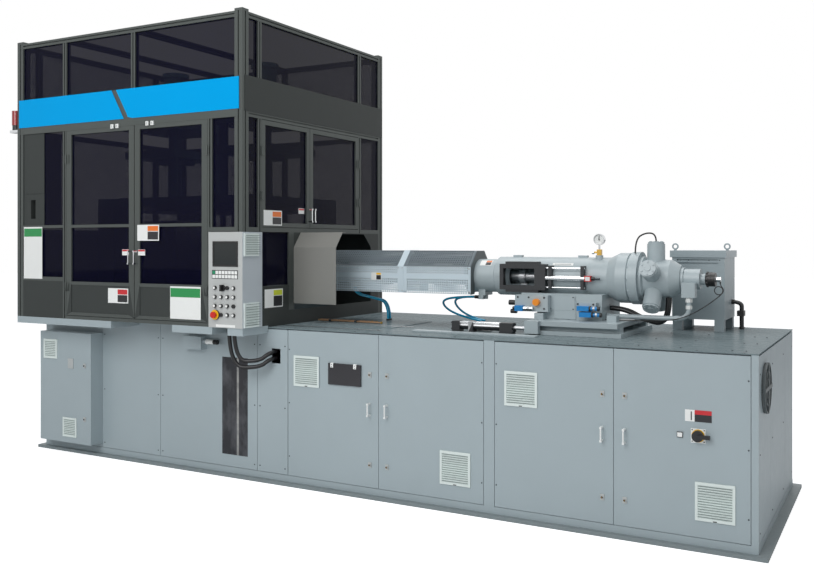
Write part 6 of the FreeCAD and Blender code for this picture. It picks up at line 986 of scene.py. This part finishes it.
# Bare plates: the body that carries each, left, right, low, high, and the band along its top.
FRONT_SIGNS = (
    ("machine", -2.615, -2.407, 1.363, 1.759, "sign_green"),
    ("front_door_right", -1.105, -0.828, 1.113, 1.337, "sign_green"),
    ("front_door_right", -1.416, -1.209, 1.652, 1.764, "sign_orange"),
    ("front_door_left", -1.710, -1.509, 1.203, 1.310, "sign_red"),
    ("front_door_left", -1.577, -1.507, 1.548, 1.590, "sign_red"),
    ("front_door_right", -1.409, -1.341, 1.548, 1.590, "sign_red"),
)
SIDE_SIGNS = (
    ("side_door_front", -0.835, -0.630, 1.757, 1.861, "sign_orange"),
    ("machine", -0.824, -0.619, 1.191, 1.318, "sign_yellow"),
    ("side_door_front", -0.415, -0.346, 1.847, 1.887, "sign_red"),
)
FRONT_CARRIERS = ("enclosure_sheets", "enclosure_frame", "glazing", "front_door_left", "front_door_right",
                  "front_door_left_glass", "front_door_right_glass")
SIDE_CARRIERS = ("enclosure_sheets", "enclosure_frame", "glazing", "side_door_front", "side_door_back",
                 "side_door_front_glass", "side_door_back_glass")
FILM = 0.0012


def foremost(left, right, low, high, finder, carriers, pick, face):
    """Where a plate across these places touches what is behind it."""
    spots = [finder(left + (right - left) * a / 4, low + (high - low) * b / 4, *carriers)
             for a in range(5) for b in range(5)]
    return pick(spot for spot in spots if spot is not None and pick(spot, face) == face)


def sign_fields(left, right, low, high, band, inset):
    """The coloured fields of a plate: each one's span across, its span up and its finish."""
    if band == "sign_green":
        return (((left + 0.004, right - 0.004), (high - 0.074, high - 0.012), band),)
    if right - left < 0.1:
        return (((left + inset, right - inset), (high - 0.014, high - inset), band),)
    across = (left + (right - left) * 0.48, right - 0.008)
    return ((across, (high - 0.044, high - 0.008), band), (across, (low + 0.008, high - 0.048), "sign_black"))


def make_signs(signs, ending, draw, inset, finder, carriers, pick, face):
    """White plates with a coloured band, bare of any lettering, each on the body that carries it."""
    pieces = {}
    for body, left, right, low, high, band in signs:
        piece = pieces.setdefault(body, Piece(f"{body}_{ending}", body))
        level = foremost(left, right, low, high, finder, carriers, pick, face)
        draw(piece, level, (left, right), (low, high), "sign", FILM, 0.0003)
        for across, up, finish in sign_fields(left, right, low, high, band, inset):
            draw(piece, level, across, up, finish, FILM * 1.3, 0.0)
    for piece in pieces.values():
        piece.done(0.0004)


def make_enclosure_trim():
    """The sheet behind the fascia, the front doors' switches, a seal strip and the metal sheets' screws."""
    piece = Piece("enclosure_trim")
    low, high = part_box("front_fascia")
    across = (low.x + 0.01, high.x - 0.01)
    piece.plate(high.y, across, (low.z - 0.052, high.z - 0.004), "profile", 0.002, 0.004)
    switch_z = 2.477
    for x in (-1.658, -1.608, -1.315, -1.267):
        body, slot = around(switch_z, 0.015), around(switch_z, 0.009)
        piece.plate(high.y, around(x, 0.013), body, "white_plastic", 0.012, -0.0015)
        piece.plate(high.y, (x - 0.006, x + 0.002), slot, "sign_grey", 0.0135, -0.011)
    piece.slab((-0.512, -0.86, 1.738), (-0.5025, 0.382, 1.752), "rubber")
    for x, z in product((-2.60, -2.46), (1.80, 2.40)):
        piece.head((x, front_of(x, z, *FRONT_CARRIERS), z), "y", 0.004, 0.0018, sides=10)
    piece.done(0.0008)


make_enclosure_trim()
make_signs(FRONT_SIGNS, "plates", Piece.plate, 0.002, front_of, FRONT_CARRIERS, min, FRONT_FACE)
make_signs(SIDE_SIGNS, "side_plates", Piece.side_plate, 0.003, side_of, SIDE_CARRIERS, max, SIDE_FACE)

# ---- operator box

# Between the buttons' columns and rows.
BUTTON_PITCH = (0.053, 0.060)
# Rows and columns of the buttons that have no white cap: the selector, the stop and the coloured ones.
UNCAPPED = {(0, 1), (0, 2), (2, 3), (3, 0), (3, 1)}


def make_button_caps():
    """White caps on the plain buttons, the keys' dark field and the bare label under the buttons."""
    piece = Piece("button_caps")
    low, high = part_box("push_buttons")
    for row, column in product(range(4), range(4)):
        if (row, column) not in UNCAPPED:
            x = BOX_LOW.x + 0.059 + column * BUTTON_PITCH[0]
            z = BOX_HIGH.z - 0.373 - row * BUTTON_PITCH[1]
            piece.head((x, low.y, z), "y", 0.0092, 0.0022, "white_plastic", 24, 0.0012)
    for across, up, finish, proud in (((-0.7215, -0.5005), (1.3965, 1.4545), "black", 0.0015),
                                      ((-0.688, -0.525), (1.075, 1.092), "sign", 0.0008)):
        piece.plate(high.y, across, up, finish, proud, 0.0003)
    piece.done()


def make_side_grilles():
    """Louvre lines of the two grilles in the operator box's side, dark strips of painted shade."""
    piece = Piece("operator_box_louvres")
    across = (BOX_LOW.y + 0.030, BOX_HIGH.y - 0.030)
    count = 9
    for low, high in ((1.080, 1.236), (1.555, 1.694)):
        for index in range(count):
            z = low + (high - low) * (index + 0.5) / count
            piece.side_plate(BOX_HIGH.x, across, around(z, 0.0014), "vent_slot", 0.0006, 0.0003)
    piece.done()


make_button_caps()
make_side_grilles()

# ---- injection unit's small parts


def make_motor_bolts():
    """Bolt circles of the motor's cylinders, flanges and distributor."""
    piece = Piece("motor_bolts", "carriage")
    lobe_x = MOTOR_LOW.x + 0.086
    for index in range(5):
        turn = math.radians(index * 72)
        outward = Vector((0, -math.sin(turn), math.cos(turn)))
        face = Vector((lobe_x, 0, AXIS_Z)) + outward * 0.230
        piece.rod(face, outward, (-0.001, 0.004), 0.020, "machine", 24, 0.001)
        piece.bolts(face, outward, 0.039, 6, 0.0052, "machine", math.radians(30))
    flange = MOTOR_LOW.x - 0.054
    piece.bolts((flange, 0, AXIS_Z), (-1, 0, 0), 0.1515, 12, 0.009, "machine")
    tail = MOTOR_LOW.x + 0.263
    piece.bolts((tail, 0, AXIS_Z), "x", 0.0665, 8, 0.0042, "machine")
    piece.done()


def make_encoder_rim():
    """The encoder's notched mounting ring, its seam, a collar on its bright tip and the cable's sleeve."""
    piece = Piece("encoder_rim", "carriage")
    x = ENCODER_LOW.x
    for index in range(12):
        turn = math.tau * index / 12
        outward = Vector((0, math.sin(turn), math.cos(turn)))
        centre = Vector((x + 0.010, 0, AXIS_Z)) + outward * 0.0425
        piece.rod(centre, "x", (-0.006, 0.006), 0.0058, "black_plastic", 8, 0.0012)
    seam = [(0.030, 0.0431), (0.031, 0.0442), (0.033, 0.0442), (0.034, 0.0431)]
    piece.turned((x, 0, AXIS_Z), "x", seam, "black_plastic", 48)
    collar = [(-0.008, 0.0151), (-0.0075, 0.0160), (-0.003, 0.0160), (-0.0025, 0.0151)]
    piece.turned((ENCODER_HIGH.x, 0, AXIS_Z), "x", collar, "chrome", 32)
    piece.rod((ENCODER_CABLE_X, 0, AXIS_Z - 0.015), "z", (-0.009, 0.002), 0.0046, "black_plastic", 16, 0.001)
    piece.done()


def make_gauge_marks():
    """Ticks around the pressure gauge's dial."""
    piece = Piece("gauge_marks", "carriage")
    y = GAUGE_LOW.y + 0.0100
    for index in range(11):
        turn = math.radians(-135 + 27 * index)
        reach = (0.0245, 0.0300) if index % 5 == 0 else (0.0270, 0.0300)
        outward = Vector((math.sin(turn), 0, math.cos(turn)))
        across = Vector((math.cos(turn), 0, -math.sin(turn))) * 0.0006
        centre = Vector((GAUGE_CENTRE[0], y, GAUGE_CENTRE[1]))
        outline = ((reach[0], -1), (reach[1], -1), (reach[1], 1), (reach[0], 1))
        corners = [centre + outward * r + across * side + Vector((0, depth, 0))
                   for depth in (0.0002, -0.0002) for r, side in outline]
        piece.form(corners, [(0, 1, 2, 3), (4, 5, 6, 7)] + ring_faces(4), "black_plastic")
    piece.done()


def wrap(piece, span, angles, radius, finish, thick=0.0012):
    """A thin plate curved around the injection axis; angles are degrees above the front."""
    steps = 6
    points = []
    for x in span:
        for reach in (radius + 0.0002, radius + thick):
            for index in range(steps + 1):
                turn = math.radians(angles[0] + (angles[1] - angles[0]) * index / steps)
                points.append((x, -reach * math.cos(turn), AXIS_Z + reach * math.sin(turn)))
    row = steps + 1
    faces = []
    for index in range(steps):
        faces += [(index, index + 1, row + index + 1, row + index),
                  (2 * row + index, 2 * row + index + 1, 3 * row + index + 1, 3 * row + index),
                  (index, index + 1, 2 * row + index + 1, 2 * row + index),
                  (row + index, row + index + 1, 3 * row + index + 1, 3 * row + index)]
    faces += [(0, row, 3 * row, 2 * row), (steps, row + steps, 3 * row + steps, 2 * row + steps)]
    piece.form(points, faces, finish)


def make_unit_labels():
    """Bare labels of the cylinder, the housing and the sensor, and the casting's cover plate."""
    piece = Piece("unit_plates", "carriage")
    head_front = COUPLING_FRONT + 0.002
    piece.plate(head_front, (1.570, 1.600), (1.395, 1.420), "sign", 0.0008, 0.0003)
    scale = (0, COUPLING_FRONT + SCALE_DEPTH, SCALE_Z)
    piece.rod(scale, "x", (1.6055, 1.628), 0.0105, "black_plastic", 20, 0.001)
    piece.rod(scale, "x", (1.627, 1.662), 0.0065, "dark_steel", 16, 0.001)
    for x, z in product((0.994, 1.240, 1.290), (1.326, 1.498)):
        y = front_of(x, z, "coupling_guard")
        if y is not None and y < head_front + 0.001:
            piece.head((x, y, z), "y", 0.0048, 0.0022, "steel", edge=0.0006)
    left, right, low, high, thick = 1.345, 1.515, 1.205, 1.298, 0.0025
    face = front_of(1.40, 1.25, "carriage")
    piece.plate(face, (left, right), (low, high), "machine", thick, 0.0005)
    for x, z in product((left + 0.010, right - 0.010), (low + 0.009, high - 0.009)):
        piece.head((x, face - thick, z), "y", 0.0045, 0.0018, sides=10)
    for span, angles, finish, thick in (((1.330, 1.470), (36, 45), "sign", 0.0016),
                                        ((1.345, 1.455), (39, 42), "sign_grey", 0.0020),
                                        ((0.800, 0.885), (38, 66), "sign", 0.0012),
                                        ((0.842, 0.881), (54, 64), "sign_orange", 0.0015),
                                        ((0.842, 0.881), (40, 53), "sign_black", 0.0015)):
        x = (span[0] + span[1]) / 2
        middle = math.radians(sum(angles) / 2)
        inward = Vector((0, math.cos(middle), -math.sin(middle)))
        spot = seat(Vector((x, 0, AXIS_Z)) - inward * 0.4, inward, "injection_cylinder", "coupling_guard")
        wrap(piece, span, angles, math.hypot(spot.y, spot.z - AXIS_Z), finish, thick)
    piece.done(0.0004)


def make_valve_fittings():
    """The small valve under the left block, the solenoids' tubes and nuts, and plugs on the blocks."""
    piece = Piece("valve_fittings", "carriage")
    front, z = -0.262, 1.214
    piece.plate(front, (1.140, 1.196), around(z, 0.018), "blue", 0.036, 0.001)
    for span, radius, finish, sides in (((1.122, 1.141), 0.012, "black_plastic", 20),
                                        ((1.195, 1.262), 0.013, "chrome", 20),
                                        ((1.222, 1.240), 0.018, "steel", 6)):
        piece.rod((0, front - 0.018, z), "x", span, radius, finish, sides, 0.002)
    piece.plate(front, (1.205, 1.255), around(z, 0.010), "machine", 0.020, 0.001)
    for left, right, height in ((1.631, 1.687, 1.226), (1.646, 1.702, 1.188)):
        centre = (0, -0.272, height)
        piece.rod(centre, "x", (left - 0.001, left + 0.010), 0.0165, "black_plastic", 20, 0.002)
        piece.rod(centre, "x", (left + 0.022, left + 0.036), 0.0155, "steel", 6, 0.0015)
        piece.rod(centre, "x", (right - 0.006, right + 0.008), 0.0145, "black_plastic", 20, 0.002)
    for x, height in ((1.150, 1.285), (1.225, 1.285), (1.330, 1.285), (1.330, z), (1.55, 1.252),
                      (1.65, 1.252)):
        y = front_of(x, height, "valve_manifold")
        piece.head((x, y, height), "y", 0.007, 0.004, sides=6, edge=0.001)
    piece.done(0.0008)


def make_hose_fittings():
    """Black sleeves at the water hoses' ends, and glands where they go through the deck."""
    piece = Piece("water_fittings")
    for _, x, y, _, _ in WATER_LOOPS:
        piece.rod((0, y, LOOP_TOP), "x", (x - 0.034, x - 0.001), 0.0118, "black_plastic", 20, 0.0015)
        piece.rod((0, y, LOOP_TOP), "x", (x - 0.012, x - 0.002), 0.0140, "dark_steel", 6, 0.001)
    for _, y in WATER_DROPS:
        piece.rod((DROP_X, y, 0), "z", (1.3065, 1.3255), 0.0125, "steel", 6, 0.001)
        gland = (DROP_END_X, y + DROP_SHIFT, DECK)
        piece.rod(gland, "z", (0, 0.012), 0.0145, "black_plastic", 20, 0.0015)
    piece.done()


def make_deck_details():
    """The deck's joint strips, pipe run, screws and small air manifold."""
    piece = Piece("deck_fittings")
    strips = ((-0.43, 0.34, -0.640, (-0.36, -0.10, 0.16, 0.32)),
              (-0.40, 0.42, -0.335, (-0.30, -0.05, 0.20, 0.36)))
    for left, right, y, _ in strips:
        piece.slab((left, y - 0.006, DECK - 0.0004), (right, y + 0.006, DECK + 0.0012), "steel")
    for _, _, y, screws in strips:
        for x in screws:
            piece.head((x, y, DECK + 0.001), "z", 0.0042, 0.0020, sides=10, sunk=0)
    for index, y in enumerate((-0.225, -0.205, -0.185)):
        end = 0.10 - 0.05 * index
        piece.rod((0, y, DECK + 0.0075), "x", (-0.44, end), 0.006, "copper", 16, 0.0008)
        piece.rod((end, y, 0), "z", (DECK - 0.001, DECK + 0.015), 0.0085, "brass", 6, 0.001)
    for x in (-0.34, -0.12):
        piece.slab((x, -0.240, DECK - 0.0003), (x + 0.016, -0.170, DECK + 0.0155), "dark_steel")
    for x in (0.905, 0.948):
        piece.slab((x, -0.352, DECK - 0.0003), (x + 0.034, -0.312, DECK + 0.040), "cream")
        piece.rod((x + 0.017, -0.352, DECK + 0.014), "y", (-0.006, 0.0005), 0.008, "brass", 6, 0.001)
        piece.rod((x + 0.017, -0.332, DECK + 0.040), "z", (-0.0005, 0.020), 0.009, "black_plastic", 16, 0.002)
    piece.slab((0.890, -0.358, DECK - 0.0003), (0.996, -0.306, DECK + 0.004), "steel")
    for x, y in product((2.05, 2.28, 2.55, 2.62), (-0.70, -0.30, 0.10)):
        piece.head((x, y, DECK), "z", 0.005, 0.0020, sides=10)
    piece.done(0.0006)


make_hose_fittings()
make_deck_details()


def make_tie_rods():
    """Tie rods and end nuts of the traverse cylinder."""
    low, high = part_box("traverse_cylinder")
    piece = Piece("traverse_tie_rods")
    centre_y = (low.y + high.y) / 2
    axis_z, spread_z = 1.098, 0.024
    for y in around(centre_y, 0.026):
        z = axis_z + spread_z
        piece.rod((0, y, z), "x", (low.x + 0.056, high.x - 0.086), 0.004, "chrome", 12)
        for x, heading in ((low.x, (-1, 0, 0)), (high.x, (1, 0, 0))):
            for drop in (0.004, 0.044):
                piece.bolt((x, y, z - drop), heading, 0.006)
    piece.done()


make_motor_bolts()
make_encoder_rim()
make_gauge_marks()
make_unit_labels()
make_valve_fittings()
make_tie_rods()

# ---- transformer


def make_transformer_fittings():
    """The cable clamp, the glands and the lid's screws."""
    piece = Piece("transformer_fittings")
    x, z = SUPPLY_X[1] - 0.004, 1.165
    y_low, y_high = SUPPLY_Y[1], SUPPLY_Y[0]
    clamp = (x - 0.022, y_low - 0.020, z - 0.018), (x + 0.022, y_high + 0.020, z + 0.018)
    piece.slab(*clamp, "black_plastic")
    for y in SUPPLY_Y:
        gland = (TRAFO_HIGH.x - 0.012, y, SUPPLY_Z[0])
        piece.rod(gland, "x", (-0.0005, 0.016), 0.0172, "black_plastic", 6, 0.001)
        piece.rod((SUPPLY_X[1], y, DECK), "z", (-0.0005, 0.010), 0.0165, "black_plastic", 24, 0.001)
    top = TRAFO_HIGH.z - 0.051
    for x in (2.03, 2.10, 2.23, 2.30):
        spot = seat((x, 0.0, top - 0.012), (0, 1, 0), "transformer_cabinet")
        piece.head(spot, "y", 0.0035, 0.0016, sides=10, sunk=0.0004)
    piece.done(0.0015)


make_transformer_fittings()

# ---- stage and light


WHITE = (1, 1, 1, 1)
SKY = (0.96, 0.98, 1.0, 1)
# Each lamp's name, place, aim, size and power.
LAMPS = (("key", (0.0, -7.5, 5.5), (0.2, 0.0, 1.0), 5.0, 340),
         ("fill", (6.5, -4.0, 4.5), (0.5, 0.0, 1.0), 4.0, 12),
         ("top", (0.5, 1.5, 8.0), (0.5, 0.0, 1.0), 6.0, 260))


def make_world():
    """A plain grey sky as light, and white where the camera, gloss or glass sees it."""
    world = bpy.data.worlds.new("studio")
    bpy.context.scene.world = world
    world.use_nodes = True
    tree = world.node_tree
    light = tree.nodes["Background"]
    light.inputs["Color"].default_value = SKY
    light.inputs["Strength"].default_value = 0.33
    seen = tree.nodes.new("ShaderNodeBackground")
    seen.inputs["Color"].default_value = WHITE
    path = tree.nodes.new("ShaderNodeLightPath")
    mix = tree.nodes.new("ShaderNodeMixShader")
    value = path.outputs["Is Camera Ray"]
    for name in ("Is Glossy Ray", "Is Transmission Ray"):
        value = maths(tree, "MAXIMUM", value, path.outputs[name])
    tree.links.new(value, mix.inputs[0])
    tree.links.new(light.outputs[0], mix.inputs[1])
    tree.links.new(seen.outputs[0], mix.inputs[2])
    tree.links.new(mix.outputs[0], tree.nodes["World Output"].inputs["Surface"])


def make_floor():
    """A pale floor that shows the object's shadow."""
    half = 40.0
    mesh = bpy.data.meshes.new("floor")
    corners = [(-half, -half, 0), (half, -half, 0), (half, half, 0), (-half, half, 0)]
    mesh.from_pydata(corners, [], [(0, 1, 2, 3)])
    floor = placed("floor", mesh)
    floor.location.z = -0.0005
    material, tree, shader, add = blank("pale_floor")
    shader.inputs["Base Color"].default_value = (0.88, 0.89, 0.90, 1)
    shader.inputs["Roughness"].default_value = 0.9
    shader.inputs["Emission Color"].default_value = WHITE
    path = add("ShaderNodeLightPath")
    tree.links.new(spread(add, path.outputs["Is Camera Ray"], 0.0, 0.70), shader.inputs["Emission Strength"])
    mesh.materials.append(material)


def area_light(name, place, aim, size, power):
    """A soft square lamp that looks at a point."""
    data = bpy.data.lights.new(name, "AREA")
    data.shape = "SQUARE"
    data.size = size
    data.energy = power
    lamp = placed(name, data)
    lamp.location = place
    lamp.rotation_euler = (Vector(aim) - Vector(place)).to_track_quat("-Z", "Y").to_euler()


bpy.context.scene.view_settings.view_transform = "Standard"
make_world()
make_floor()
for lamp in LAMPS:
    area_light(*lamp)
